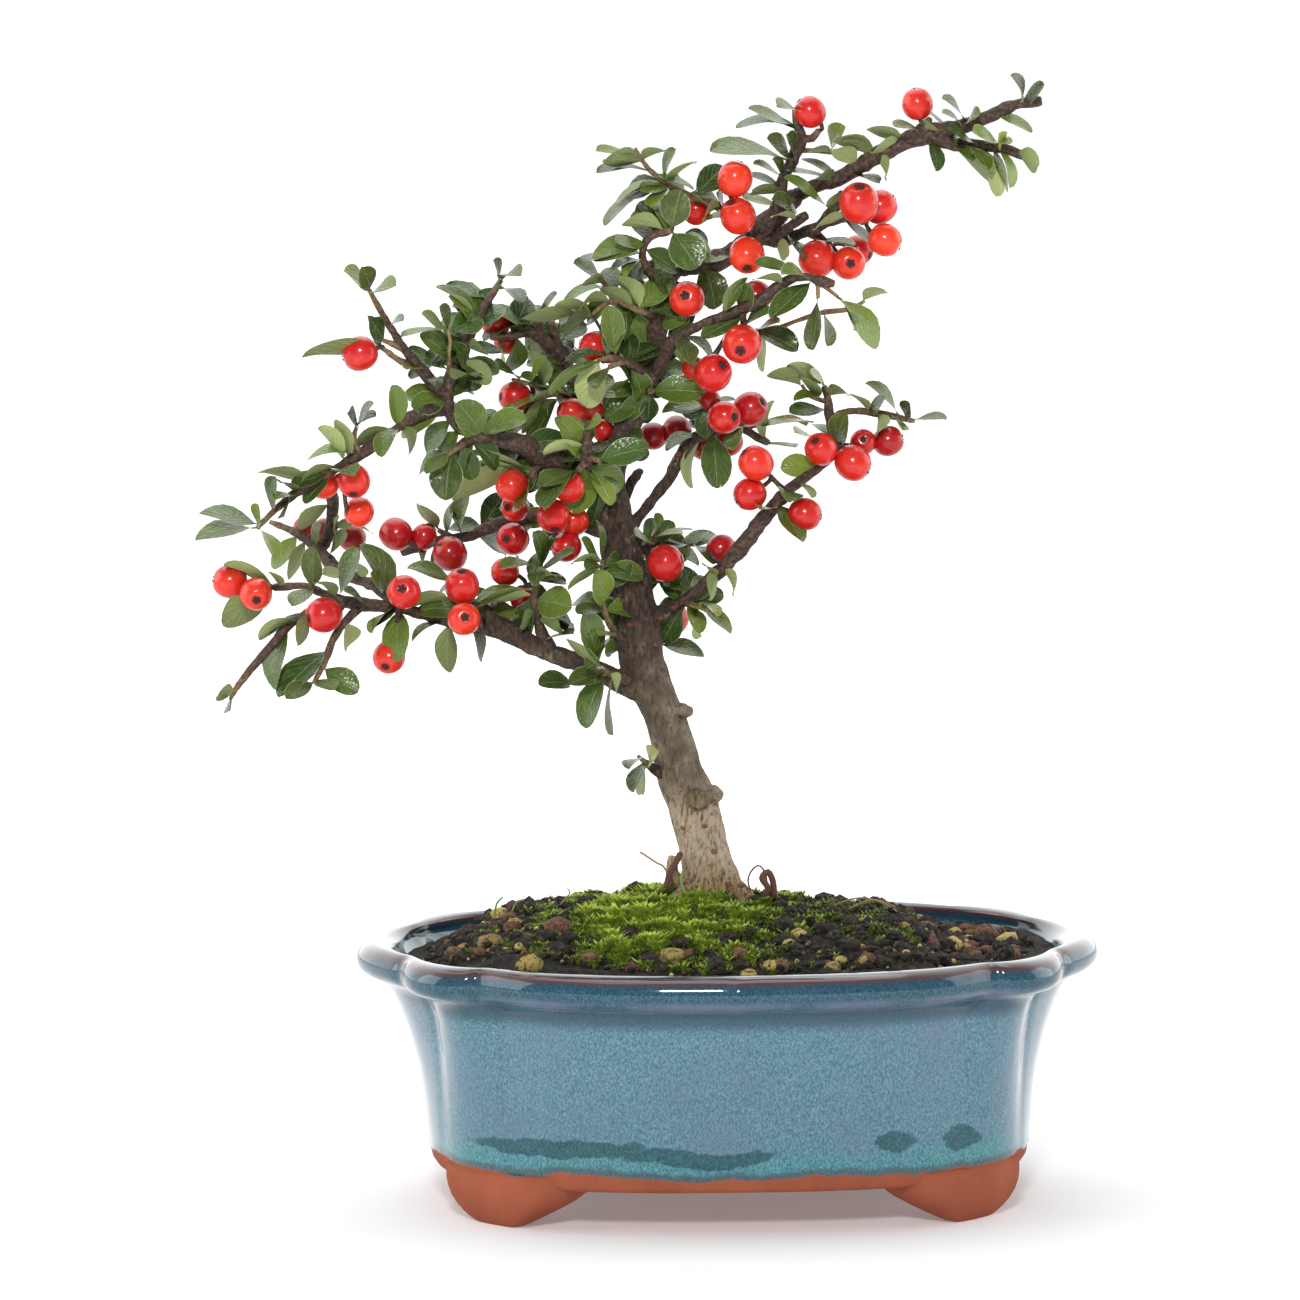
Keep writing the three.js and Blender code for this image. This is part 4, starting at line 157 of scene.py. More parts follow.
# %% Leafy stems
STEMS = {
    "leader_stem": {
        "twigs": [
        [[616, 450, 4, 12.5], [626, 430, 5, 12.5], [637, 408, 5, 12], [645, 388, 5, 11],
         [654, 365, 5, 12.5], [656, 340, 5, 10], [657, 312, 6, 12], [660, 288, 7, 13], [668, 272, 8, 12],
         [690, 264, 9, 11], [722, 259, 9, 11], [748, 243, 8, 10], [770, 222, 6, 13], [785, 206, 4, 11],
         [800, 194, 2, 7]],
        [[650, 388, 3, 6], [640, 371, -3, 5.5], [625, 362, -8, 4], [609, 367, -10, 2.5]],
        [[630, 365, -6, 4], [614, 358, -9, 4], [600, 360, -9, 2.5]],
        [[661, 286, 5, 6], [645, 264, -4, 4], [643, 249, -8, 4], [650, 237, -10, 4.5], [672, 230, -13, 3]],
        [[656, 316, 4, 5], [640, 311, -2, 3], [612, 301, 2, 3], [592, 315, 4, 2]],
        [[614, 301, 2, 3], [603, 281, 3, 3]],
        [[655, 372, 4, 8], [668, 346, -2, 8], [682, 335, -4, 5], [700, 325, -6, 5], [714, 320, -7, 5]],
        [[648, 392, 2, 5], [651, 391, -4, 3]]],
        "leaves": [
        [610, 371, 594, 386, 14], [640, 384, 602, 396, 16], [636, 388, 605, 418, 30],
        [618, 352, 610, 306, 24], [643, 359, 622, 312, 30], [598, 364, 548, 392, 15],
        [600, 366, 585, 408, -32], [603, 352, 565, 358, 10], [602, 330, 584, 347, -12],
        [593, 320, 560, 338, -13], [592, 318, 563, 326, -8], [580, 314, 521, 315, -12],
        [594, 314, 555, 305, -10], [612, 302, 580, 306, -10], [636, 306, 600, 286, -12],
        [641, 310, 619, 272, -18], [616, 430, 640, 437, 18], [648, 391, 704, 390, 28],
        [670, 350, 698, 366, -14], [682, 336, 690, 360, 22], [655, 323, 688, 318, 22],
        [662, 258, 645, 274, 24], [703, 264, 716, 308, 32], [736, 246, 704, 261, 13],
        [672, 232, 697, 268, 38], [674, 231, 680, 190, 32], [640, 247, 580, 256, 12],
        [646, 240, 592, 258, 26], [642, 249, 615, 240, 13], [666, 230, 622, 222, -13],
        [606, 282, 574, 262, 13], [606, 283, 585, 280, -12], [645, 257, 626, 274, 9],
        [640, 262, 612, 268, 8], [713, 262, 692, 232, 8]]},
    "top_left_twig": {
        "twigs": [
        [[764, 230, 4, 5], [740, 214, 1, 4], [720, 206, -1, 4], [700, 200, -3, 3.5], [685, 193, -4, 3],
         [670, 186, -6, 3], [655, 175, -8, 3], [646, 166, -9, 2.5], [635, 148, -10, 1.6]]],
        "leaves": [
        [640, 163, 596, 150, 9], [640, 165, 604, 158, -18], [650, 176, 597, 168, 11],
        [642, 161, 663, 149, -8], [668, 180, 675, 149, 11], [672, 180, 693, 161, -7],
        [655, 174, 694, 188, 9], [671, 186, 641, 187, 15], [671, 186, 615, 199, 10],
        [669, 188, 650, 206, 14], [660, 190, 602, 221, 15], [722, 204, 703, 216, -9],
        [722, 205, 719, 192, 5], [740, 218, 702, 220, 8]]},
    "top_shoot": {
        "twigs": [
        [[774, 216, 4, 8], [780, 198, 2, 6.5], [782, 183, 0, 6], [788, 169, -1, 6], [796, 152, -2, 6],
         [801, 138, -3, 6], [797, 122, -4, 4], [794, 108, -5, 2]],
        [[801, 139, -3, 4], [812, 138, -5, 4], [819, 130, -6, 3]],
        [[798, 150, -2, 3], [818, 151, 0, 2.5], [833, 153, 1, 1.6]]],
        "leaves": [
        [795, 130, 737, 121, 14], [796, 128, 749, 107, 11], [794, 112, 779, 103, 10],
        [785, 160, 711, 146, 20], [786, 158, 769, 137, 15], [788, 156, 789, 134, 10],
        [782, 182, 775, 160, 8], [778, 188, 752, 173, 10], [776, 192, 752, 191, -10],
        [775, 205, 743, 195, 12], [782, 176, 755, 162, 7], [832, 152, 808, 149, -6],
        [831, 152, 840, 126, 12]]},
    "top_right_stem": {
        "twigs": [
        [[801, 193, 2, 7], [820, 185, 0, 7], [838, 178, -2, 8], [852, 170, -4, 8], [875, 157, -7, 9],
         [905, 141, -10, 9], [935, 133, -12, 10], [955, 128, -13, 7.5], [980, 120, -14, 7],
         [1000, 111, -15, 6.5], [1020, 104, -16, 5.5], [1041, 101, -17, 5]],
        [[930, 137, -12, 8], [955, 144, -14, 7.5], [975, 145, -16, 6], [997, 147, -18, 5],
         [1015, 152, -19, 5], [1029, 158, -20, 4]],
        [[914, 134, -11, 6], [925, 124, -13, 4.5], [930, 119, -14, 3]]],
        "leaves": [
        [832, 178, 787, 165, 9], [838, 176, 803, 157, 10], [838, 184, 820, 176, -12],
        [876, 152, 833, 138, -14], [873, 156, 843, 141, -9], [858, 166, 836, 149, -19],
        [901, 136, 868, 127, -12], [901, 138, 870, 150, -10], [918, 130, 895, 125, 12],
        [922, 127, 936, 126, -10], [947, 130, 921, 103, 9], [961, 126, 944, 113, 8], [966, 122, 945, 96, 6],
        [966, 122, 980, 112, 9], [1021, 103, 1014, 76, 9], [1022, 103, 1044, 84, 15],
        [996, 114, 1033, 130, 14], [998, 147, 975, 129, 14], [985, 144, 1010, 142, 4],
        [1000, 147, 1001, 134, 9], [978, 144, 949, 126, 10], [958, 150, 955, 136, 12],
        [955, 146, 972, 158, 11], [972, 148, 988, 167, 15], [928, 142, 939, 168, 13],
        [848, 176, 880, 180, 9], [876, 162, 888, 176, -12], [942, 146, 1003, 192, -14],
        [980, 148, 1000, 196, -16], [992, 150, 1007, 192, 10], [999, 148, 1011, 187, 14],
        [1014, 156, 1040, 166, -19]]},
    "right_upper_stem": {
        "twigs": [
        [[760, 236, 8, 8], [780, 240, 7, 7], [800, 234, 4, 6], [815, 228, 1, 5.5], [832, 221, -2, 5],
         [850, 217, -4, 5], [868, 222, -5, 3]],
        [[820, 226, 0, 5], [830, 212, -3, 4.5], [842, 204, -5, 4]],
        [[775, 237, 6, 6], [790, 226, -2, 5], [807, 215, -6, 5]],
        [[806, 232, 3, 4], [822, 240, 6, 3]]],
        "leaves": [
        [830, 206, 784, 178, 11], [800, 219, 774, 197, 13], [797, 221, 773, 213, -7],
        [831, 208, 838, 192, -12], [850, 220, 813, 228, -9], [845, 220, 883, 252, 14],
        [824, 240, 852, 246, 10], [772, 240, 788, 257, -15], [788, 240, 805, 254, 9]]},
    "right_spur_stem": {
        "twigs": [
        [[715, 319, -7, 5], [735, 312, -8, 5.5], [755, 303, -10, 7], [772, 292, -12, 7],
         [788, 281, -14, 5.5], [805, 277, -16, 4], [820, 281, -17, 6], [834, 284, -18, 4]],
        [[822, 284, -17, 2.5], [838, 297, -18, 1.8]],
        [[818, 283, -17, 2.5], [818, 298, -18, 1.8]],
        [[742, 311, -8, 4], [748, 330, -3, 3], [775, 328, 1, 2.5], [797, 321, 3, 2.2], [820, 313, 6, 2.8],
         [848, 309, 8, 2.5], [865, 301, 9, 1.6]]],
        "leaves": [
        [738, 318, 701, 336, 22], [722, 318, 747, 278, 13], [748, 316, 748, 284, 18],
        [725, 315, 745, 276, -14], [806, 278, 756, 261, 13], [808, 280, 784, 272, 13],
        [812, 282, 770, 318, 22], [818, 296, 812, 350, 15], [824, 313, 829, 346, 13],
        [838, 296, 878, 347, 24], [837, 297, 855, 322, 7], [862, 303, 885, 288, -15],
        [850, 309, 855, 328, 8], [750, 322, 768, 311, 12], [757, 330, 777, 321, 6],
        [752, 332, 798, 350, 24], [762, 330, 762, 372, -12], [784, 284, 754, 276, -6]]},
    "right_mid_stem": {
        "twigs": [
        [[694, 438, 14, 6], [712, 431, 15, 6], [725, 428, 16, 5.5], [742, 428, 17, 4], [757, 437, 18, 4.5],
         [768, 443, 19, 3.5]],
        [[738, 428, 17, 3.5], [768, 422, 20, 3], [790, 417, 22, 2.5], [807, 424, 23, 2.5]],
        [[708, 433, 14, 5], [711, 416, 12, 6], [706, 402, 11, 3]]],
        "leaves": [
        [767, 440, 769, 399, -16], [750, 426, 813, 418, 7], [805, 423, 828, 432, 8],
        [768, 443, 796, 447, 7], [713, 433, 718, 488, 33], [702, 436, 686, 487, -14],
        [703, 410, 708, 436, 22], [741, 427, 730, 447, 15], [708, 404, 735, 399, 8],
        [700, 434, 667, 450, 12], [706, 404, 662, 412, 14]]},
    "right_low_stem": {
        "twigs": [
        [[680, 603, -2, 6], [697, 593, -3, 6], [720, 570, -5, 7.5], [740, 549, -7, 8.5],
         [760, 523, -9, 7.5], [778, 502, -10, 7.5], [786, 493, -10, 6]],
        [[684, 601, -2, 5], [694, 606, -6, 3.5], [703, 604, -8, 2]],
        [[684, 602, 0, 4], [672, 625, 8, 2.5], [660, 646, 12, 2]]],
        "leaves": [
        [712, 578, 706, 565, -10], [722, 572, 709, 598, -14], [724, 572, 736, 593, -12],
        [692, 604, 704, 611, 7], [702, 605, 717, 613, 7], [701, 604, 731, 632, 13],
        [686, 604, 702, 631, 16], [782, 508, 803, 540, 20], [772, 508, 760, 507, 4],
        [661, 646, 704, 655, 16]]},
    "right_crown_stem": {
        "twigs": [
        [[786, 492, -10, 6], [800, 481, -8, 5.5], [822, 466, -4, 4], [838, 449, 0, 4], [833, 430, 2, 5],
         [829, 412, 3, 5], [828, 400, 3, 4], [824, 386, 3, 3]],
        [[832, 418, 2, 4], [850, 411, 4, 3.5], [875, 413, 7, 4], [900, 418, 10, 3.5], [914, 421, 12, 2]],
        [[828, 402, 3, 3], [810, 396, 4, 2], [802, 385, 5, 2]],
        [[833, 432, 2, 3], [812, 437, 6, 2]]],
        "leaves": [
        [803, 387, 769, 369, -16], [824, 386, 788, 362, -18], [820, 396, 801, 378, -10],
        [826, 388, 812, 374, 8], [826, 398, 847, 393, -14], [826, 402, 796, 398, 7],
        [827, 410, 789, 412, 15], [836, 446, 846, 413, 23], [868, 412, 854, 392, -8],
        [869, 412, 884, 399, 14], [900, 416, 867, 382, 10], [906, 419, 909, 404, 10],
        [912, 421, 945, 419, 7], [876, 414, 880, 433, -15], [893, 417, 903, 430, 10],
        [814, 437, 795, 431, 7], [820, 466, 781, 466, 25], [788, 490, 790, 502, 26],
        [797, 483, 811, 497, 9]]},
    "low_right_shoot": {
        "twigs": [
        [[632, 552, 2, 6], [646, 549, 2, 4.5], [653, 541, 1, 3.5], [655, 532, 0, 2]],
        [[644, 549, 3, 3], [672, 552, 7, 2.5], [690, 545, 8, 2]],
        [[644, 550, 3, 3], [654, 566, 6, 2], [657, 583, 4, 2]]],
        "leaves": [
        [654, 535, 692, 527, 5], [654, 536, 680, 532, 4], [688, 546, 663, 545, 9], [690, 545, 715, 560, 8],
        [652, 541, 636, 534, 9], [657, 582, 697, 592, 16], [653, 535, 662, 518, 6]]},
    "centre_spur": {
        "twigs": [
        [[608, 490, 0, 8], [593, 475, -6, 6], [585, 460, -10, 6.5], [587, 445, -12, 6],
         [586, 430, -13, 3.5]],
        [[586, 460, -10, 4], [577, 472, -13, 3]],
        [[588, 458, -11, 4], [600, 461, -14, 2.5]]],
        "leaves": [
        [580, 460, 563, 416, 25], [586, 430, 600, 419, 9], [598, 461, 648, 446, 28],
        [587, 445, 543, 453, -12], [578, 468, 542, 482, 18], [577, 472, 541, 505, 18],
        [594, 480, 572, 512, 26], [590, 468, 612, 505, 18]]},
    "centre_left_stem": {
        "twigs": [
        [[614, 452, 5, 9], [600, 415, 12, 8], [580, 394, 15, 7.5], [568, 370, 15, 7.5], [556, 353, 14, 8],
         [545, 341, 12, 7.5], [530, 333, 9, 5], [510, 336, 5, 4], [492, 337, 0, 4]],
        [[545, 342, 12, 6], [540, 330, 10, 5], [538, 317, 9, 4]],
        [[562, 360, 14, 6], [557, 340, 13, 5], [551, 322, 12, 3.5]],
        [[580, 398, 15, 4], [556, 395, 8, 2.5], [530, 384, 4, 2.2], [512, 379, 2, 2]]],
        "leaves": [
        [538, 320, 556, 293, 10], [537, 326, 483, 338, 14], [534, 330, 492, 308, 10],
        [520, 381, 494, 366, 8], [530, 383, 545, 360, 8], [556, 394, 521, 375, 8],
        [545, 388, 532, 348, -18], [566, 362, 548, 362, 8], [558, 397, 506, 406, 12],
        [562, 398, 532, 445, 18], [560, 395, 530, 400, -8], [572, 396, 577, 411, 9],
        [575, 395, 560, 392, 8], [562, 396, 520, 432, -12]]},
    "left_limb_stem": {
        "twigs": [
        [[575, 467, -4, 12], [548, 458, -8, 12], [520, 445, -12, 11.5], [498, 440, -14, 7],
         [482, 438, -16, 4.5], [468, 440, -17, 4.5], [458, 447, -18, 4], [447, 455, -19, 2.5]],
        [[545, 460, -8, 6], [533, 472, -9, 3.5], [530, 484, -9, 2.5]]],
        "leaves": [
        [450, 453, 426, 472, 15], [454, 452, 445, 500, 34], [530, 470, 468, 450, -10],
        [530, 472, 465, 472, -13], [530, 474, 452, 498, -16], [531, 474, 515, 502, 13],
        [531, 484, 520, 504, 8]]},
    "left_crown_stem": {
        "twigs": [
        [[486, 438, -16, 5], [462, 430, -15, 6], [451, 418, -14, 5.5], [449, 405, -14, 6],
         [447, 391, -13, 7], [450, 376, -12, 7], [458, 364, -11, 6], [464, 352, -10, 6], [468, 341, -9, 6],
         [474, 325, -8, 5.5], [484, 307, -6, 4.5], [493, 293, -5, 4], [501, 280, -4, 2.5]],
        [[451, 376, -12, 4], [449, 360, -15, 2.5], [450, 340, -17, 2], [447, 328, -19, 2]],
        [[448, 396, -13, 5], [435, 385, -15, 6], [424, 373, -17, 7], [413, 360, -19, 5.5],
         [402, 346, -21, 4.5], [392, 330, -23, 4], [382, 314, -25, 3.5], [375, 300, -26, 3],
         [369, 290, -27, 2.5]],
        [[418, 366, -18, 4], [402, 362, -20, 3.5], [390, 354, -22, 3], [382, 348, -23, 2.5]],
        [[403, 349, -21, 3.5], [392, 344, -22, 3], [384, 341, -23, 2.2]]],
        "leaves": [
        [449, 372, 409, 347, 14], [450, 362, 421, 333, 17], [447, 330, 401, 331, 8],
        [447, 328, 423, 314, 12], [447, 328, 444, 307, 8], [460, 356, 425, 327, 8],
        [478, 314, 438, 284, 13], [472, 330, 452, 295, 11], [500, 281, 493, 261, 8],
        [501, 280, 521, 274, 9], [497, 289, 521, 302, 8], [447, 396, 403, 396, 20],
        [447, 401, 411, 406, 25], [460, 360, 492, 382, -22], [450, 382, 475, 373, -10],
        [466, 345, 490, 354, -10], [484, 437, 458, 402, 34], [456, 424, 466, 438, 12],
        [478, 436, 527, 418, 24], [475, 322, 448, 322, 5], [368, 290, 346, 270, 13],
        [369, 290, 363, 267, 19], [371, 292, 393, 281, 12], [384, 342, 372, 320, 19],
        [382, 348, 369, 317, 12], [382, 349, 302, 357, -15], [390, 327, 400, 319, 5],
        [420, 368, 406, 369, 8], [428, 376, 436, 384, 8]]},
    "left_arch_stem": {
        "twigs": [
        [[446, 412, -14, 5], [428, 412, -16, 7], [410, 418, -18, 8], [398, 427, -20, 4.5],
         [386, 436, -21, 4], [372, 446, -23, 6.5], [356, 456, -24, 6.5], [342, 465, -25, 5],
         [327, 475, -26, 4], [310, 485, -27, 6], [295, 493, -28, 5.5], [280, 506, -29, 4],
         [268, 517, -30, 3.5], [257, 528, -30, 2.5]],
        [[360, 453, -24, 4], [354, 440, -25, 3], [357, 425, -26, 2]]],
        "leaves": [
        [440, 414, 402, 438, 20], [398, 428, 395, 386, 20], [398, 430, 356, 444, -12],
        [400, 430, 380, 454, 20], [404, 426, 411, 454, -16], [345, 462, 320, 426, -17],
        [347, 460, 340, 418, -16], [362, 451, 308, 459, 11], [330, 472, 291, 487, 16],
        [340, 466, 294, 488, -8], [332, 474, 304, 503, 18], [334, 473, 355, 472, 9],
        [312, 484, 258, 470, -12], [272, 513, 273, 477, 16], [294, 492, 276, 500, 12],
        [296, 490, 280, 482, -7], [260, 524, 200, 511, 15], [258, 528, 195, 538, 16],
        [258, 527, 256, 507, 9], [259, 529, 275, 559, 9], [357, 426, 350, 412, 5], [357, 426, 372, 405, 9],
        [357, 427, 373, 415, 8], [290, 498, 283, 517, 8]]},
    "mid_left_stem": {
        "twigs": [
        [[566, 523, 8, 7], [545, 520, 10, 7], [522, 519, 11, 7.5], [500, 524, 13, 6.5], [485, 529, 14, 6.5],
         [468, 536, 15, 6], [450, 538, 16, 4.5], [430, 543, 17, 5], [413, 549, 18, 5], [402, 553, 19, 3.5]],
        [[452, 538, 16, 4], [438, 530, 17, 2.5]]],
        "leaves": [
        [436, 530, 420, 502, -15], [438, 531, 423, 527, 7], [447, 536, 454, 500, 9],
        [463, 538, 464, 497, 13], [432, 544, 418, 563, -13], [538, 517, 519, 532, 10],
        [500, 528, 506, 558, -8]]},
    "low_left_back_stem": {
        "twigs": [
        [[398, 606, -15.5, 5], [379, 589, -8, 6], [352, 576, 0, 6.5], [332, 564, 8, 6.5], [318, 550, 14, 7],
         [306, 539, 17, 5], [290, 530, 20, 4], [270, 522, 22, 2.5]],
        [[320, 551, 14, 6], [330, 530, 16, 6], [333, 505, 18, 6.5], [331, 488, 18, 6.5]]],
        "leaves": [
        [298, 534, 272, 568, 20], [330, 556, 347, 533, 11], [316, 546, 320, 526, 13],
        [296, 532, 326, 503, -14], [330, 518, 336, 531, -11], [392, 596, 364, 544, 24],
        [360, 578, 352, 560, -14], [334, 528, 374, 530, -9], [386, 594, 373, 572, 12],
        [352, 578, 324, 571, 11], [306, 540, 288, 580, -12]]},
    "low_left_stem": {
        "twigs": [
        [[484, 625, -14, 9], [470, 627, -14, 8], [450, 621, -15, 7], [425, 615, -16, 5.5],
         [400, 608, -16, 6], [370, 605, -15, 7], [345, 602, -14, 6.5], [322, 593, -13, 4.5],
         [305, 586, -12, 4], [274, 587, -11, 4]],
        [[480, 620, -14, 5], [470, 602, -7, 3], [455, 580, -4, 2]],
        [[358, 608, -15, 6], [343, 625, -17, 4], [333, 640, -19, 4], [328, 655, -21, 4], [321, 670, -23, 3],
         [314, 683, -25, 2.5]],
        [[340, 602, -14, 5], [315, 608, -15, 3.5], [297, 620, -17, 4], [283, 632, -19, 5],
         [266, 652, -22, 4.5], [247, 674, -25, 4], [236, 689, -27, 3], [230, 700, -28, 1.8]]],
        "leaves": [
        [274, 586, 224, 564, -15], [275, 588, 222, 624, -32], [280, 587, 270, 571, -12],
        [300, 618, 257, 636, -14], [310, 608, 268, 632, 7], [290, 628, 274, 690, 21],
        [330, 646, 277, 696, 26], [310, 610, 297, 645, -13], [345, 620, 350, 650, -20],
        [323, 667, 358, 692, 26], [315, 681, 286, 698, 18], [316, 680, 335, 688, 15],
        [236, 689, 217, 696, -14], [231, 697, 227, 710, 6], [396, 610, 374, 626, 9],
        [400, 608, 397, 661, 30], [396, 610, 371, 632, 5], [446, 622, 412, 640, 6],
        [450, 624, 447, 673, -22], [412, 609, 465, 612, 24], [410, 606, 446, 594, -15],
        [457, 582, 408, 566, 13], [370, 600, 345, 592, 7], [336, 596, 316, 582, -12],
        [313, 589, 312, 548, 24], [313, 589, 291, 603, 17], [338, 598, 357, 547, 20]]},
    "low_centre_shoot": {
        "twigs": [
        [[550, 650, -10, 8], [541, 632, -11, 6], [536, 612, -12, 4.5], [534, 595, -13, 4],
         [538, 575, -14, 3], [542, 560, -15, 2]]],
        "leaves": [
        [540, 567, 538, 533, 15], [541, 565, 553, 537, 7], [540, 570, 575, 549, 11],
        [540, 566, 500, 566, 9], [535, 588, 537, 554, 13], [539, 572, 536, 583, 18],
        [538, 580, 558, 575, -10], [535, 600, 571, 607, 36], [534, 590, 474, 604, 12],
        [534, 595, 480, 602, -12], [536, 612, 520, 625, -12], [538, 618, 562, 628, -18],
        [543, 640, 573, 632, 6]]},
    "trunk_spur": {
        "twigs": [
        [[630, 652, -3, 7], [612, 628, -8, 4], [604, 611, -10, 3], [601, 590, -11, 2.5],
         [602, 560, -11, 2]]],
        "leaves": [
        [604, 608, 597, 571, 22], [604, 611, 577, 612, 13], [616, 634, 600, 656, 7],
        [614, 632, 600, 634, 10], [602, 565, 566, 587, -10], [602, 562, 573, 562, -9],
        [602, 568, 588, 568, 11], [602, 560, 596, 520, 6], [602, 560, 582, 539, 10]]},
    "crotch_shoot": {
        "twigs": [
        [[626, 680, -6, 7], [610, 674, -10, 4], [600, 667, -12, 3]],
        [[606, 673, -11, 2.5], [588, 681, -11, 1.8], [570, 684, -10, 1.6]]],
        "leaves": [
        [599, 667, 585, 612, 25], [572, 684, 541, 682, 20], [604, 672, 571, 681, 21],
        [605, 674, 585, 728, 27], [600, 667, 587, 668, 12], [612, 678, 611, 735, 7],
        [608, 675, 617, 692, -10], [598, 667, 566, 638, -11]]},
    "trunk_twig": {
        "twigs": [
        [[668, 776, -2, 7], [654, 769, -4, 5], [644, 761, -5, 3], [638, 756, -6, 1.8]]],
        "leaves": [
        [639, 757, 629, 767, 10], [643, 761, 632, 789, 14], [645, 763, 641, 794, 9],
        [650, 765, 654, 750, 9]]},
}
print("stems:", len(STEMS), "leaves:", sum(len(stem["leaves"]) for stem in STEMS.values()))

# %% [markdown]
# A bunch of berries has the place where it leaves the wood, the fork where its stalks meet, and its
# berries: picture point, depth, radius and the direction of the dry star at the berry's end, to the
# right, up and towards the viewer.

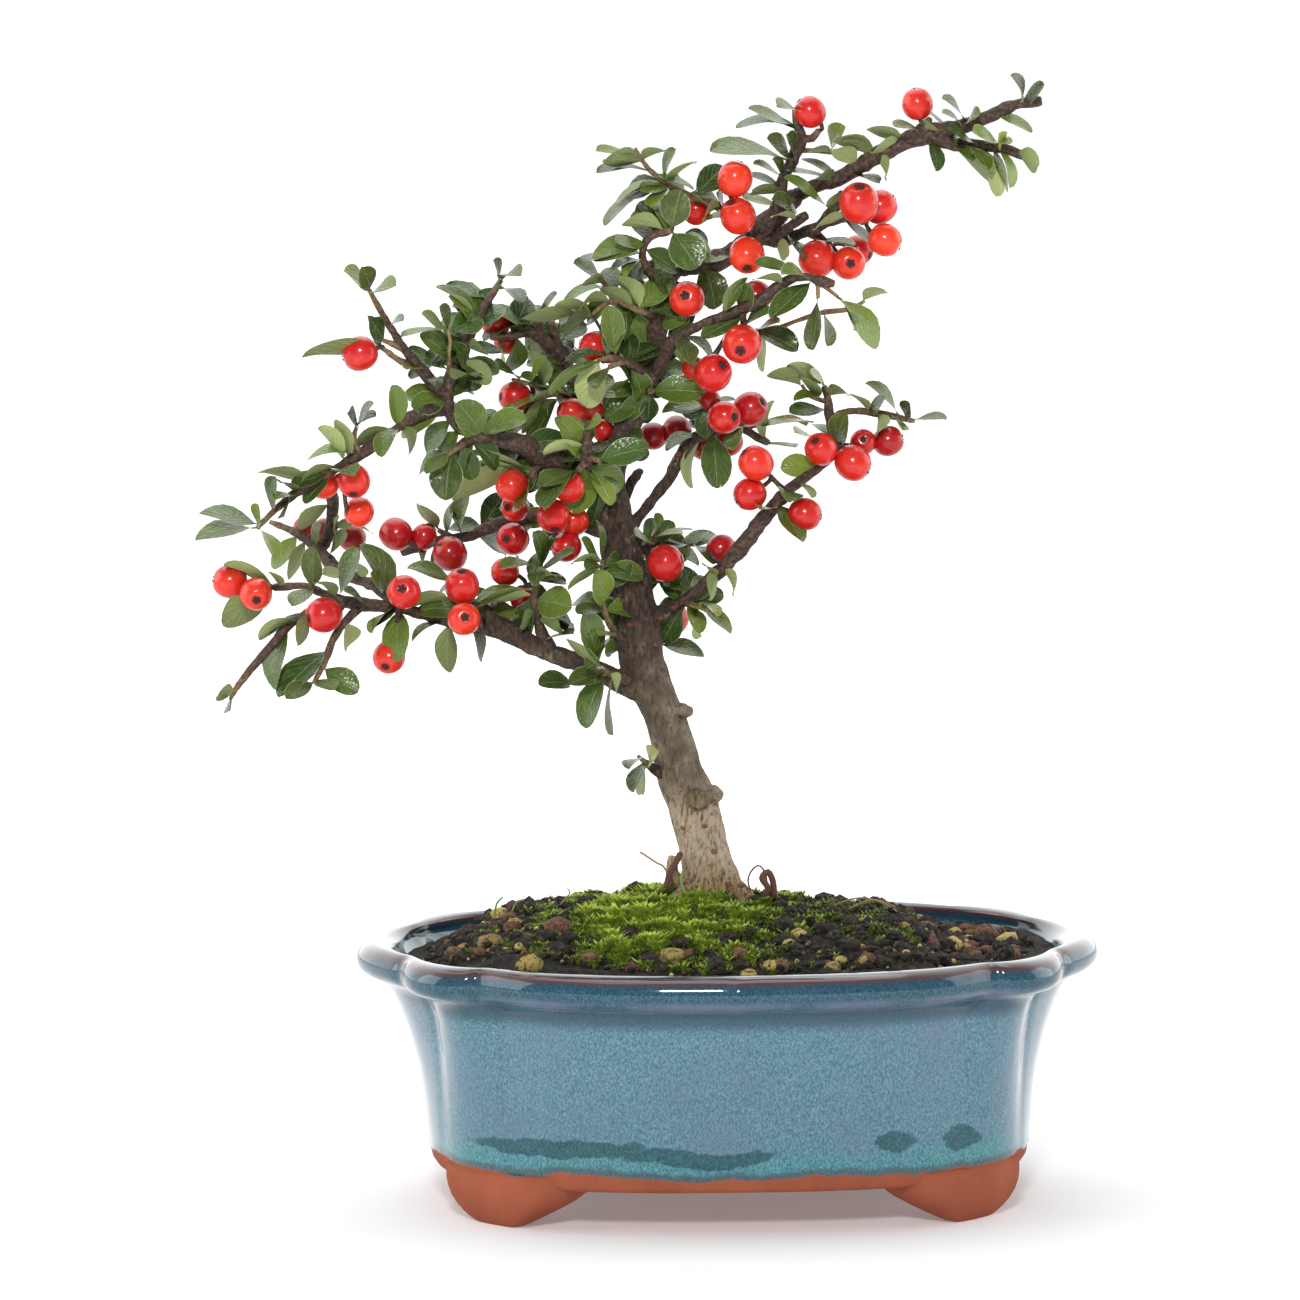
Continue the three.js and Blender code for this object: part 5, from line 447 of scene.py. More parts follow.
# %% Berries
BUNCHES = {
    "top_berry": {"root": [818, 131, -6], "berries": [[810, 112, -6, 15.7, [-0.7, 0.7, 0.1]]]},
    "top_right_berry": {"root": [926, 123, -13], "berries": [[917.5, 104, -14, 15.6, [-0.15, 1, 0]]]},
    "upper_bunch": {"root": [757, 232, 5], "join": [752, 222, -4],
        "berries": [[735, 179, -8, 17.7, [0.3, 0.95, 0.1]], [738, 216, -9, 18, [-0.4, 0.75, 0.5]],
            [747, 255, -7, 18, [0, -0.8, 0.6]]]},
    "twig_berry": {"root": [704, 202, -3], "berries": [[696, 210, 3, 15, [0, -0.4, -0.9]]]},
    "right_upper_bunch": {"root": [852, 217, -4], "join": [868, 219, -4],
        "berries": [[859, 203, -11, 20, [0, 0.8, 0.6]], [880, 207, -2, 17, [0.8, 0.6, 0]],
            [885, 240, -6, 16.6, [0.9, -0.5, 0]]]},
    "right_under_bunch": {"root": [818, 234, 4], "join": [832, 246, 6],
        "berries": [[817, 259, 0, 19, [0, -0.4, -0.9]], [848.5, 263, 0, 17, [0.1, -0.1, 1]],
            [858, 250, 8, 15, [0.6, -0.3, 0.3]]]},
    "leader_berry": {"root": [660, 296, 7], "berries": [[687, 299, -4, 18, [-0.15, 0.15, 1]]]},
    "right_spur_bunch": {"root": [728, 315, -8], "join": [732, 326, -4],
        "berries": [[756, 296, 2, 16, [0.2, 0.4, -0.8]], [742, 344, -10, 20, [-0.1, -0.4, 0.9]],
            [713, 373, -8, 19, [0.5, 0.4, 0.75]], [694, 368, 0, 12, [-0.7, 0, -0.6]]]},
    "right_mid_bunch": {"root": [711, 414, 12], "join": [722, 405, 7],
        "berries": [[724, 417.5, 0, 16.6, [0.65, 0, 0.75]], [750, 409, 6, 17.6, [0.7, 0.4, 0.5]],
            [710, 400, 6, 11, [-0.5, 0.8, 0]]]},
    "right_mid_back_bunch": {"root": [705, 434, 15], "join": [704, 440, 21],
        "berries": [[677, 430, 23, 15, [-0.3, 0.3, -0.9]], [653, 436, 23, 14, [-0.8, 0, 0]],
            [704, 445, 24, 15, [0, -0.6, -0.6]], [728, 441, 23, 15, [0.6, -0.6, -0.3]]]},
    "right_crown_bunch": {"root": [838, 449, 0], "join": [846, 445, -2],
        "berries": [[821, 449, -8, 16.6, [-0.4, 0.5, 0.75]], [853, 463, -6, 18, [0.85, -0.5, 0.1]],
            [863, 442, 2, 13.3, [0, 0.2, 1]], [888, 441, 4, 15.3, [0.95, 0.3, 0]]]},
    "right_low_bunch": {"root": [784, 490, -10], "join": [771, 477, -13],
        "berries": [[756, 463, -16, 17.5, [-0.7, 0.6, 0.2]], [750, 494, -13, 16.4, [-0.85, -0.5, 0.1]]]},
    "right_low_berry": {"root": [776, 506, -10], "berries": [[805, 514, -12, 16.6, [0.95, -0.2, 0.1]]]},
    "limb_berry": {"root": [724, 566, -5], "berries": [[721.5, 549, 3, 15, [0.7, 0.2, -0.6]]]},
    "trunk_berry": {"root": [650, 547, 2], "berries": [[665.5, 563, -5, 19, [0.3, -0.3, -0.9]]]},
    "low_right_berry": {"root": [668, 609, -1], "berries": [[672, 618, 8, 17, [0.3, -0.6, -0.7]]]},
    "leader_left_bunch": {"root": [616, 359, -9], "join": [610, 354, -5],
        "berries": [[594, 347, -3, 15, [-0.7, 0.3, 0]], [608, 350, 2, 13, [0.2, 0.4, 0]]]},
    "centre_bunch": {"root": [598, 413, 12], "join": [590, 420, 6],
        "berries": [[572, 413, 2, 15, [-0.7, 0.3, 0.2]], [590, 410, 4, 14, [0.2, 0.8, 0]],
            [602, 430, 6, 11, [0.3, -0.6, 0]]]},
    "middle_bunch": {"root": [566, 523, 8], "join": [565, 515, 0],
        "berries": [[569, 487, -13, 16, [0.4, -0.3, -0.8]], [553, 516, -13, 16.6, [0.1, -0.85, 0.5]],
            [574, 521, -4, 15, [0.6, -0.2, -0.7]], [566.5, 547, -6, 15, [-0.6, -0.5, 0.3]]]},
    "upper_left_berry": {"root": [383, 347, -23], "berries": [[360, 353.5, -24, 17.6, [-0.95, -0.3, 0]]]},
    "left_crown_bunch": {"root": [504, 336, 4], "join": [502, 336, 8],
        "berries": [[496, 322, 8, 15, [0, 0.7, -0.6]], [506, 342, 12, 12, [0.6, -0.6, 0]]]},
    "centre_left_berry": {"root": [530, 384, 4], "berries": [[515, 397, 8, 16, [-0.8, 0, 0.3]]]},
    "left_arch_bunch": {"root": [346, 463, -25], "join": [343, 474, -22],
        "berries": [[354, 481, -27, 16.6, [0, -0.85, 0.5]], [324, 484, -19, 15, [-0.5, -0.3, 0]],
            [359, 512, -17, 15, [0.5, 0.8, -0.2]]]},
    "low_left_back_bunch": {"root": [328, 534, 16], "join": [330, 533, 24],
        "berries": [[306, 529, 25, 13, [-0.5, 0, 0]], [325, 531, 27, 13, [0, -0.5, -0.8]],
            [352, 538, 24, 14, [0.8, -0.3, 0]]]},
    "mid_left_bunch": {"root": [428, 544, 17], "join": [426, 548, 11],
        "berries": [[396, 534, 8, 16.6, [-0.7, 0.5, -0.3]], [424, 537, 9, 13, [0.3, 0.6, 0]],
            [450, 554, 4, 17.4, [0.5, -0.5, -0.7]]]},
    "left_limb_bunch": {"root": [531, 476, -9], "join": [524, 484, -6],
        "berries": [[512, 486, -12, 16.6, [-0.3, -0.3, -0.9]], [515, 508, -4, 14, [-0.5, 0, 0.8]],
            [513, 539, 2, 16.6, [-0.4, 0, 0.9]]]},
    "far_left_bunch": {"root": [276, 587, -11], "join": [268, 588, -12],
        "berries": [[230, 581.6, -10, 17, [-0.95, 0.1, 0]], [256, 594, -16, 16.6, [0.1, -0.4, 0.9]]]},
    "low_left_berry": {"root": [338, 601, -14], "berries": [[324, 615, -22, 18, [-0.85, -0.2, 0.4]]]},
    "low_left_bunch": {"root": [398, 609, -16], "join": [398, 612, -21],
        "berries": [[404, 592, -25, 17.4, [-0.1, 0.2, 1]], [389, 657, -18, 16.6, [-0.2, -0.6, 0.75]]]},
    "stub_bunch": {"root": [482, 606, -14], "join": [476, 603, -17],
        "berries": [[462, 586, -19, 17.6, [0, 0.85, 0.5]], [464, 619, -25, 16.8, [0.1, 0.1, 1]]]},
    "low_centre_bunch": {"root": [535, 592, -13], "join": [526, 586, -9],
        "berries": [[505, 572, -8, 14, [-0.8, 0.2, 0]], [523, 598, -6, 13, [-0.4, -0.7, 0]]]},
}
print("bunches:", len(BUNCHES), "berries:", sum(len(bunch["berries"]) for bunch in BUNCHES.values()))

# %% [markdown]
# ## Mesh helpers
# Most things on a tree are tubes: a row of rings joined by quads. A path through few stations is first
# made smooth with a Catmull-Rom spline, because it passes through every station, which a Bezier curve
# with free handles wouldn't.


def turns(count):
    """Equal steps of angle once round a circle."""
    return [2 * math.pi * step / count for step in range(count)]


def catmull_rom(before, start, end, after, share):
    squared = share * share
    cubed = squared * share
    return 0.5 * (2 * start + (end - before) * share
                  + (2 * before - 5 * start + 4 * end - after) * squared
                  + (3 * start - before - 3 * end + after) * cubed)


def smooth_path(points, radii, step):
    """More points and radii along a path, about one each step."""
    smooth_points = []
    smooth_radii = []
    last = len(points) - 1
    for index in range(last):
        start = points[index]
        end = points[index + 1]
        before = points[max(index - 1, 0)]
        after = points[min(index + 2, last)]
        pieces = max(1, math.ceil((end - start).length / step))
        for piece in range(pieces):
            share = piece / pieces
            smooth_points.append(catmull_rom(before, start, end, after, share))
            radius = radii[index] + share * (radii[index + 1] - radii[index])
            smooth_radii.append(radius)
    smooth_points.append(points[last])
    smooth_radii.append(radii[last])
    return smooth_points, smooth_radii


def join_rings(bm, rings, material=0):
    """Quads between closed rings of vertices."""
    count = len(rings[0])
    for lower, upper in zip(rings, rings[1:]):
        for column in range(count):
            after = (column + 1) % count
            face = bm.faces.new((lower[column], lower[after], upper[after], upper[column]))
            face.material_index = material
            face.smooth = True


def cap(bm, ring, place, material=0, flip=False):
    """A fan from a ring to a point, which comes back as a vertex."""
    middle = bm.verts.new(place)
    count = len(ring)
    for column in range(count):
        corners = [ring[column], ring[(column + 1) % count], middle]
        face = bm.faces.new(corners[::-1] if flip else corners)
        face.material_index = material
        face.smooth = True
    return middle


def add_tube(bm, points, radii, sides, material=0):
    """A closed round limb through the points."""
    rings = []
    side = None
    last = len(points) - 1
    for index, point in enumerate(points):
        along = (points[min(index + 1, last)] - points[max(index - 1, 0)]).normalized()
        if side is None:
            side = Vector((1, 0, 0)) if abs(along.z) > 0.9 else Vector((0, 0, 1))
        side = (side - along * side.dot(along)).normalized()
        other = along.cross(side)
        ring = []
        for angle in turns(sides):
            offset = side * math.cos(angle) + other * math.sin(angle)
            ring.append(bm.verts.new(point + offset * radii[index]))
        rings.append(ring)
    join_rings(bm, rings, material)
    cap(bm, rings[0], points[0], material, flip=True)
    cap(bm, rings[-1], points[-1], material)
    return rings


def finish_mesh(bm, name, materials, closed=True):
    """Turns a bmesh into an object at the origin. Open sheets keep the sides that they were given."""
    if closed:
        bmesh.ops.recalc_face_normals(bm, faces=bm.faces)
    mesh = bpy.data.meshes.new(name)
    bm.to_mesh(mesh)
    bm.free()
    for material in materials:
        mesh.materials.append(material)
    piece = bpy.data.objects.new(name, mesh)
    bpy.context.collection.objects.link(piece)
    return piece


def stand_for(piece, *nodes):
    """The piece takes the place of CAD nodes and rides on the one body."""
    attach(piece, "root")
    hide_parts(*nodes)
    return piece


def belong_to(piece):
    """Surface growth that stands for no node."""
    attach(piece, "root")
    return piece


print("helpers ready")

# %% [markdown]
# ## Materials
# Shader nodes are joined by short calls. Each helper adds one node and returns its output, so that a
# material reads like a recipe. Everything reads Object coordinates or an attribute of the mesh, so that
# the look stays on the piece when it is seen from another side.

# %% Shader helpers
def new_material(name):
    material = bpy.data.materials.new(name)
    material.use_nodes = True
    tree = material.node_tree
    tree.nodes.clear()
    output = tree.nodes.new("ShaderNodeOutputMaterial")
    shader = tree.nodes.new("ShaderNodeBsdfPrincipled")
    tree.links.new(shader.outputs["BSDF"], output.inputs["Surface"])
    return material, tree, shader


def connect(tree, value, socket):
    if isinstance(value, (int, float, tuple)):
        socket.default_value = value
    else:
        tree.links.new(value, socket)


def object_place(tree):
    return tree.nodes.new("ShaderNodeTexCoord").outputs["Object"]


def attribute(tree, name):
    node = tree.nodes.new("ShaderNodeAttribute")
    node.attribute_name = name
    return node.outputs["Fac"]


def split(tree, vector):
    node = tree.nodes.new("ShaderNodeSeparateXYZ")
    tree.links.new(vector, node.inputs[0])
    return node.outputs


def stretch(tree, vector, scale):
    node = tree.nodes.new("ShaderNodeVectorMath")
    node.operation = "MULTIPLY"
    tree.links.new(vector, node.inputs[0])
    node.inputs[1].default_value = scale
    return node.outputs[0]


def cloud(tree, vector, scale, detail=4, roughness=0.55):
    node = tree.nodes.new("ShaderNodeTexNoise")
    node.inputs["Scale"].default_value = scale
    node.inputs["Detail"].default_value = detail
    node.inputs["Roughness"].default_value = roughness
    tree.links.new(vector, node.inputs["Vector"])
    return node.outputs["Fac"]


def cells(tree, vector, scale):
    node = tree.nodes.new("ShaderNodeTexVoronoi")
    node.inputs["Scale"].default_value = scale
    tree.links.new(vector, node.inputs["Vector"])
    return node.outputs["Distance"]


def sums(tree, kind, first, second, third=None):
    node = tree.nodes.new("ShaderNodeMath")
    node.operation = kind
    connect(tree, first, node.inputs[0])
    connect(tree, second, node.inputs[1])
    if third is not None:
        connect(tree, third, node.inputs[2])
    return node.outputs[0]


def times(tree, first, second):
    return sums(tree, "MULTIPLY", first, second)


def rise(tree, value, low, high):
    """0 below low, 1 above high, smooth between; low above high falls instead."""
    node = tree.nodes.new("ShaderNodeMapRange")
    node.interpolation_type = "SMOOTHSTEP"
    node.inputs["From Min"].default_value = min(low, high)
    node.inputs["From Max"].default_value = max(low, high)
    node.inputs["To Min"].default_value = 0 if low < high else 1
    node.inputs["To Max"].default_value = 1 if low < high else 0
    connect(tree, value, node.inputs["Value"])
    return node.outputs[0]


def blend(tree, share, first, second):
    node = tree.nodes.new("ShaderNodeMix")
    node.data_type = "RGBA"
    connect(tree, share, node.inputs["Factor"])
    connect(tree, first, node.inputs["A"])
    connect(tree, second, node.inputs["B"])
    return node.outputs["Result"]


def tint(tree, colour, other, mask, share):
    """The colour, turned towards another by this share where the mask is 1."""
    return blend(tree, times(tree, mask, share), colour, other)


def wander(tree, value, waves, width):
    """The value, moved up and down by a noise within this width."""
    return sums(tree, "MULTIPLY_ADD", sums(tree, "SUBTRACT", waves, 0.5), width, value)


def ramp(tree, value, stops):
    node = tree.nodes.new("ShaderNodeValToRGB")
    elements = node.color_ramp.elements
    while len(elements) < len(stops):
        elements.new(0.5)
    for element, (place, colour) in zip(elements, stops):
        element.position = place
        element.color = colour
    tree.links.new(value, node.inputs["Fac"])
    return node.outputs["Color"]


def bump(tree, height, distance, strength):
    node = tree.nodes.new("ShaderNodeBump")
    node.inputs["Strength"].default_value = strength
    node.inputs["Distance"].default_value = distance
    tree.links.new(height, node.inputs["Height"])
    return node.outputs["Normal"]


def rgb(red, green, blue):
    return (red, green, blue, 1.0)


print("shader helpers ready")

# %% [markdown]
# The glaze is the hardest surface here. Heights on the pot decide its bands: bare clay at the foot, a
# turquoise edge above it, dusty blue on the wall, a dark line under the rim and a rust line where the
# glaze runs thin on the crest. Fine noise stretched along Z gives the falling streaks.

# %% Glazed pot
# Heights in metres between which one band gives way to the next, from the foot up.
BARE_CLAY = (0.0158, 0.0150)
CLAY_EDGE = (0.0178, 0.0164)
TURQUOISE = (0.0245, 0.0175)
DARK_LINE_START = (0.0535, 0.0575)
DARK_LINE_END = (0.0608, 0.0596)
RIM_START = (0.0598, 0.0612)
LAVENDER_END = (0.0642, 0.0622)
PURPLE_START = (0.0652, 0.0676)
CREST_START = (0.0676, 0.0684)
CREST_END = (0.0698, 0.0693)
FRONT_SIDE = (-0.01, -0.03)
POOLS = [
    # middle, half length, level and half height, in metres
    (-0.046, 0.024, 0.0226, 0.0025), (-0.010, 0.021, 0.0212, 0.0022),
    (0.0415, 0.0056, 0.0236, 0.0026), (0.0592, 0.0040, 0.0226, 0.0040)]


def pool_mask(tree, across, height):
    """Ovals low on the wall, 1 inside; a wandering place gives them a ragged edge."""
    mask = None
    for middle, half_length, level, half_height in POOLS:
        along = sums(tree, "DIVIDE", sums(tree, "SUBTRACT", across, middle), half_length)
        above = sums(tree, "DIVIDE", sums(tree, "SUBTRACT", height, level), half_height)
        reach = sums(tree, "MULTIPLY_ADD", along, along, times(tree, above, above))
        pool = rise(tree, reach, 1.15, 0.75)
        mask = pool if mask is None else sums(tree, "MAXIMUM", mask, pool)
    return mask


def make_glaze():
    material, tree, shader = new_material("glaze")
    place = object_place(tree)
    x, y, z = split(tree, place)[:]
    x = sums(tree, "SUBTRACT", x, POT_CENTRE.x)
    streaks = cloud(tree, stretch(tree, place, (1, 1, 0.55)), 2300, 6, 0.75)
    patches = cloud(tree, place, 42, 5, 0.6)
    thick = rise(tree, streaks, 0.42, 0.64)
    # the wall, with its turquoise foot and dark pools
    colour = ramp(tree, streaks, [
        (0.38, rgb(0.024, 0.095, 0.135)), (0.5, rgb(0.075, 0.190, 0.250)), (0.63, rgb(0.175, 0.310, 0.38))])
    colour = tint(tree, colour, rgb(0.105, 0.155, 0.235), rise(tree, patches, 0.42, 0.72), 0.5)
    turquoise = blend(tree, rise(tree, streaks, 0.4, 0.62), rgb(0.015, 0.140, 0.172), rgb(0.10, 0.35, 0.37))
    wobble = wander(tree, z, patches, 0.010)
    colour = tint(tree, colour, turquoise, rise(tree, wobble, *TURQUOISE), 0.8)
    ragged = wander(tree, x, cloud(tree, place, 210, 5), 0.012)
    pools = times(tree, pool_mask(tree, ragged, wobble), rise(tree, y, *FRONT_SIDE))
    pool_colour = blend(tree, thick, rgb(0.001, 0.034, 0.050), rgb(0.009, 0.145, 0.170))
    colour = tint(tree, colour, pool_colour, pools, 0.9)
    under_rim = times(tree, rise(tree, z, *DARK_LINE_START), rise(tree, z, *DARK_LINE_END))
    colour = tint(tree, colour, rgb(0.014, 0.055, 0.085), under_rim, 0.8)
    # the rolled rim: lavender, purple and a rust line on its crest
    rim = blend(tree, thick, rgb(0.003, 0.042, 0.068), rgb(0.035, 0.140, 0.190))
    lavender = times(tree, rise(tree, z, *LAVENDER_END), rise(tree, patches, 0.35, 0.6))
    rim = tint(tree, rim, rgb(0.15, 0.175, 0.28), lavender, 0.65)
    purple = times(tree, rise(tree, z, *PURPLE_START), rise(tree, streaks, 0.45, 0.6))
    rim = tint(tree, rim, rgb(0.05, 0.035, 0.085), purple, 0.8)
    crest = times(tree, rise(tree, z, *CREST_START), rise(tree, z, *CREST_END))
    rim = tint(tree, rim, rgb(0.085, 0.032, 0.025), crest, 0.85)
    colour = blend(tree, rise(tree, z, *RIM_START), colour, rim)
    speckle = rise(tree, cloud(tree, place, 2600, 2, 0.6), 0.58, 0.8)
    colour = tint(tree, colour, rgb(0.26, 0.33, 0.37), speckle, 0.22)
    # the bare clay below
    line = wander(tree, z, cloud(tree, place, 60, 3), 0.006)
    bare = rise(tree, line, *BARE_CLAY)
    clay = blend(tree, cloud(tree, place, 90, 5), rgb(0.25, 0.066, 0.034), rgb(0.43, 0.125, 0.066))
    clay = tint(tree, clay, rgb(0.62, 0.34, 0.22), rise(tree, cells(tree, place, 1500), 0.16, 0.06), 0.4)
    colour = tint(tree, colour, rgb(0.05, 0.03, 0.035), rise(tree, line, *CLAY_EDGE), 0.6)
    connect(tree, blend(tree, bare, colour, clay), shader.inputs["Base Color"])
    connect(tree, sums(tree, "MULTIPLY_ADD", bare, 0.7, 0.13), shader.inputs["Roughness"])
    connect(tree, sums(tree, "SUBTRACT", 1.0, bare), shader.inputs["Coat Weight"])
    shader.inputs["Coat Roughness"].default_value = 0.05
    shader.inputs["Specular IOR Level"].default_value = 0.12
    grainy = times(tree, bare, cloud(tree, place, 1800, 4))
    waves = sums(tree, "MULTIPLY_ADD", cloud(tree, place, 70, 2), 0.6, grainy)
    connect(tree, bump(tree, waves, 0.0006, 0.35), shader.inputs["Normal"])
    return material


GLAZE = make_glaze()
print("glaze nodes:", len(GLAZE.node_tree.nodes))

# %% [markdown]
# Bark, leaves, berries and ground follow. A leaf's UV map runs across and along its blade, so its
# midrib, veins and pale margin are drawn from two numbers. The underside is told apart by the Backfacing
# output, which needs no second mesh.

# %% Bark, leaf and berry
# Heights in metres over which the bark changes, from the roots up.
ROOT_BARK = (0.093, 0.083)
PALE_BARK = (0.118, 0.100)
DARK_BARK = (0.126, 0.160)
HEALED_CUT = (698, 799, -7.6)
SMALL_CUT = (686, 711, -4.5)


def make_bark():
    material, tree, shader = new_material("bark")
    place = object_place(tree)
    z = split(tree, place)[2]
    fibres = cloud(tree, stretch(tree, place, (1, 1, 0.34)), 1000, 6, 0.7)
    patches = cloud(tree, place, 130, 5, 0.6)
    colour = ramp(tree, patches, [
        (0.34, rgb(0.060, 0.040, 0.028)), (0.5, rgb(0.125, 0.088, 0.060)), (0.68, rgb(0.25, 0.195, 0.135))])
    colour = tint(tree, colour, rgb(0.045, 0.028, 0.018), rise(tree, fibres, 0.5, 0.36), 0.7)
    pale = blend(tree, rise(tree, fibres, 0.34, 0.56), rgb(0.13, 0.088, 0.056), rgb(0.48, 0.375, 0.265))
    colour = blend(tree, rise(tree, z, *PALE_BARK), colour, pale)
    root = blend(tree, rise(tree, fibres, 0.36, 0.60), rgb(0.07, 0.04, 0.022), rgb(0.40, 0.28, 0.13))
    colour = blend(tree, rise(tree, z, *ROOT_BARK), colour, root)
    dark = blend(tree, rise(tree, fibres, 0.38, 0.62), rgb(0.007, 0.0035, 0.002), rgb(0.075, 0.041, 0.023))
    colour = tint(tree, colour, dark, rise(tree, z, *DARK_BARK), 0.92)
    flakes = times(tree, rise(tree, patches, 0.57, 0.63), rise(tree, fibres, 0.48, 0.58))
    colour = tint(tree, colour, rgb(0.30, 0.24, 0.17), flakes, 0.55)
    warts = rise(tree, cells(tree, stretch(tree, place, (1, 1, 1.4)), 190), 0.23, 0.14)
    colour = tint(tree, colour, rgb(0.19, 0.052, 0.026), warts, 0.85)
    # the healed cut on the front: an olive middle in dark cracks
    to_cut = tree.nodes.new("ShaderNodeVectorMath")
    to_cut.operation = "DISTANCE"
    connect(tree, place, to_cut.inputs[0])
    to_cut.inputs[1].default_value = from_picture(*HEALED_CUT)
    crinkled = wander(tree, to_cut.outputs["Value"], cloud(tree, place, 750, 5, 0.7), 0.0042)
    crack = times(tree, rise(tree, crinkled, 0.0017, 0.0024), rise(tree, crinkled, 0.0038, 0.0028))
    colour = tint(tree, colour, rgb(0.060, 0.040, 0.022), crack, 0.6)
    heart = blend(tree, rise(tree, fibres, 0.40, 0.60), rgb(0.055, 0.042, 0.014), rgb(0.24, 0.18, 0.06))
    colour = tint(tree, colour, heart, rise(tree, crinkled, 0.0024, 0.0014), 0.8)
    connect(tree, colour, shader.inputs["Base Color"])
    shader.inputs["Roughness"].default_value = 0.78
    height = sums(tree, "ADD", times(tree, fibres, 0.8), times(tree, warts, 0.5))
    connect(tree, bump(tree, height, 0.0012, 1.0), shader.inputs["Normal"])
    return material


def make_twig():
    material, tree, shader = new_material("twig")
    place = object_place(tree)
    grain = cloud(tree, place, 900, 5, 0.65)
    brown = ramp(tree, grain, [
        (0.35, rgb(0.020, 0.011, 0.008)), (0.52, rgb(0.060, 0.032, 0.021)), (0.68, rgb(0.15, 0.092, 0.060))])
    shoot = blend(tree, rise(tree, grain, 0.4, 0.6), rgb(0.27, 0.10, 0.05), rgb(0.32, 0.27, 0.11))
    connect(tree, tint(tree, brown, shoot, attribute(tree, "thin"), 0.7), shader.inputs["Base Color"])
    shader.inputs["Roughness"].default_value = 0.7
    connect(tree, bump(tree, grain, 0.0006, 0.7), shader.inputs["Normal"])
    return material


def make_leaf():
    material, tree, shader = new_material("leaf")
    place = object_place(tree)
    across, along = split(tree, tree.nodes.new("ShaderNodeUVMap").outputs["UV"])[:2]
    tone = attribute(tree, "tone")
    off_rib = sums(tree, "ABSOLUTE", sums(tree, "SUBTRACT", across, 0.5), 0)
    green = ramp(tree, tone, [
        (0.0, rgb(0.018, 0.042, 0.008)), (0.5, rgb(0.044, 0.090, 0.012)), (1.0, rgb(0.185, 0.265, 0.034))])
    mottle = rise(tree, cloud(tree, place, 420, 4, 0.6), 0.5, 0.7)
    green = tint(tree, green, rgb(0.19, 0.25, 0.055), mottle, 0.3)
    green = blend(tree, attribute(tree, "young"), green, rgb(0.36, 0.37, 0.07))
    slant = times(tree, off_rib, -34.0)
    veins = rise(tree, sums(tree, "SINE", sums(tree, "MULTIPLY_ADD", along, 38.0, slant), 0), 0.72, 1.0)
    green = tint(tree, green, rgb(0.13, 0.19, 0.07), veins, 0.22)
    rib = rise(tree, off_rib, 0.030, 0.010)
    green = tint(tree, green, rgb(0.20, 0.26, 0.11), rib, 0.6)
    green = tint(tree, green, rgb(0.44, 0.50, 0.28), rise(tree, off_rib, 0.462, 0.494), 0.6)
    under = blend(tree, tone, rgb(0.14, 0.185, 0.055), rgb(0.34, 0.40, 0.15))
    under = tint(tree, under, rgb(0.32, 0.36, 0.20), sums(tree, "MAXIMUM", rib, veins), 0.5)
    backfacing = tree.nodes.new("ShaderNodeNewGeometry").outputs["Backfacing"]
    connect(tree, blend(tree, backfacing, green, under), shader.inputs["Base Color"])
    connect(tree, sums(tree, "MULTIPLY_ADD", backfacing, 0.40, 0.26), shader.inputs["Roughness"])
    shader.inputs["Specular IOR Level"].default_value = 0.5
    relief = times(tree, sums(tree, "MAXIMUM", rib, times(tree, veins, 0.7)), -1.0)
    relief = sums(tree, "MULTIPLY_ADD", cells(tree, place, 1100), 0.5, relief)
    connect(tree, bump(tree, relief, 0.0003, 0.6), shader.inputs["Normal"])
    return material


def make_berry():
    material, tree, shader = new_material("berry")
    place = object_place(tree)
    # The tone number holds painted shade, darker for berries at the back and low down, and tone that differs
    # at random.
    red = ramp(tree, attribute(tree, "tone"), [
        (0.0, rgb(0.26, 0.004, 0.009)), (0.5, rgb(0.54, 0.010, 0.010)), (1.0, rgb(0.80, 0.050, 0.014))])
    mottle = rise(tree, cloud(tree, place, 300, 3, 0.5), 0.52, 0.75)
    red = tint(tree, red, rgb(0.74, 0.085, 0.025), mottle, 0.35)
    red = tint(tree, red, rgb(0.85, 0.35, 0.20), rise(tree, cells(tree, place, 1300), 0.13, 0.05), 0.25)
    dark = rise(tree, attribute(tree, "eye"), 0.925, 0.955)
    connect(tree, blend(tree, dark, red, rgb(0.075, 0.020, 0.014)), shader.inputs["Base Color"])
    connect(tree, sums(tree, "MULTIPLY_ADD", dark, 0.5, 0.28), shader.inputs["Roughness"])
    connect(tree, sums(tree, "MULTIPLY_ADD", dark, -0.4, 0.4), shader.inputs["Coat Weight"])
    shader.inputs["Coat Roughness"].default_value = 0.12
    shader.inputs["Specular IOR Level"].default_value = 0.3
    shader.inputs["Subsurface Weight"].default_value = 0.10
    shader.inputs["Subsurface Radius"].default_value = (0.004, 0.001, 0.0006)
    return material


def plain(name, colour, roughness, metallic=0.0):
    material, tree, shader = new_material(name)
    shader.inputs["Base Color"].default_value = colour
    shader.inputs["Roughness"].default_value = roughness
    shader.inputs["Metallic"].default_value = metallic
    return material


BARK = make_bark()
TWIG = make_twig()
LEAF = make_leaf()
BERRY = make_berry()
STAR = plain("berry_star", rgb(0.035, 0.014, 0.010), 0.75)
COVER = plain("cover", rgb(0.02, 0.02, 0.022), 0.5)
WIRE = plain("wire", rgb(0.62, 0.60, 0.57), 0.35, 1.0)
print("growth materials ready")

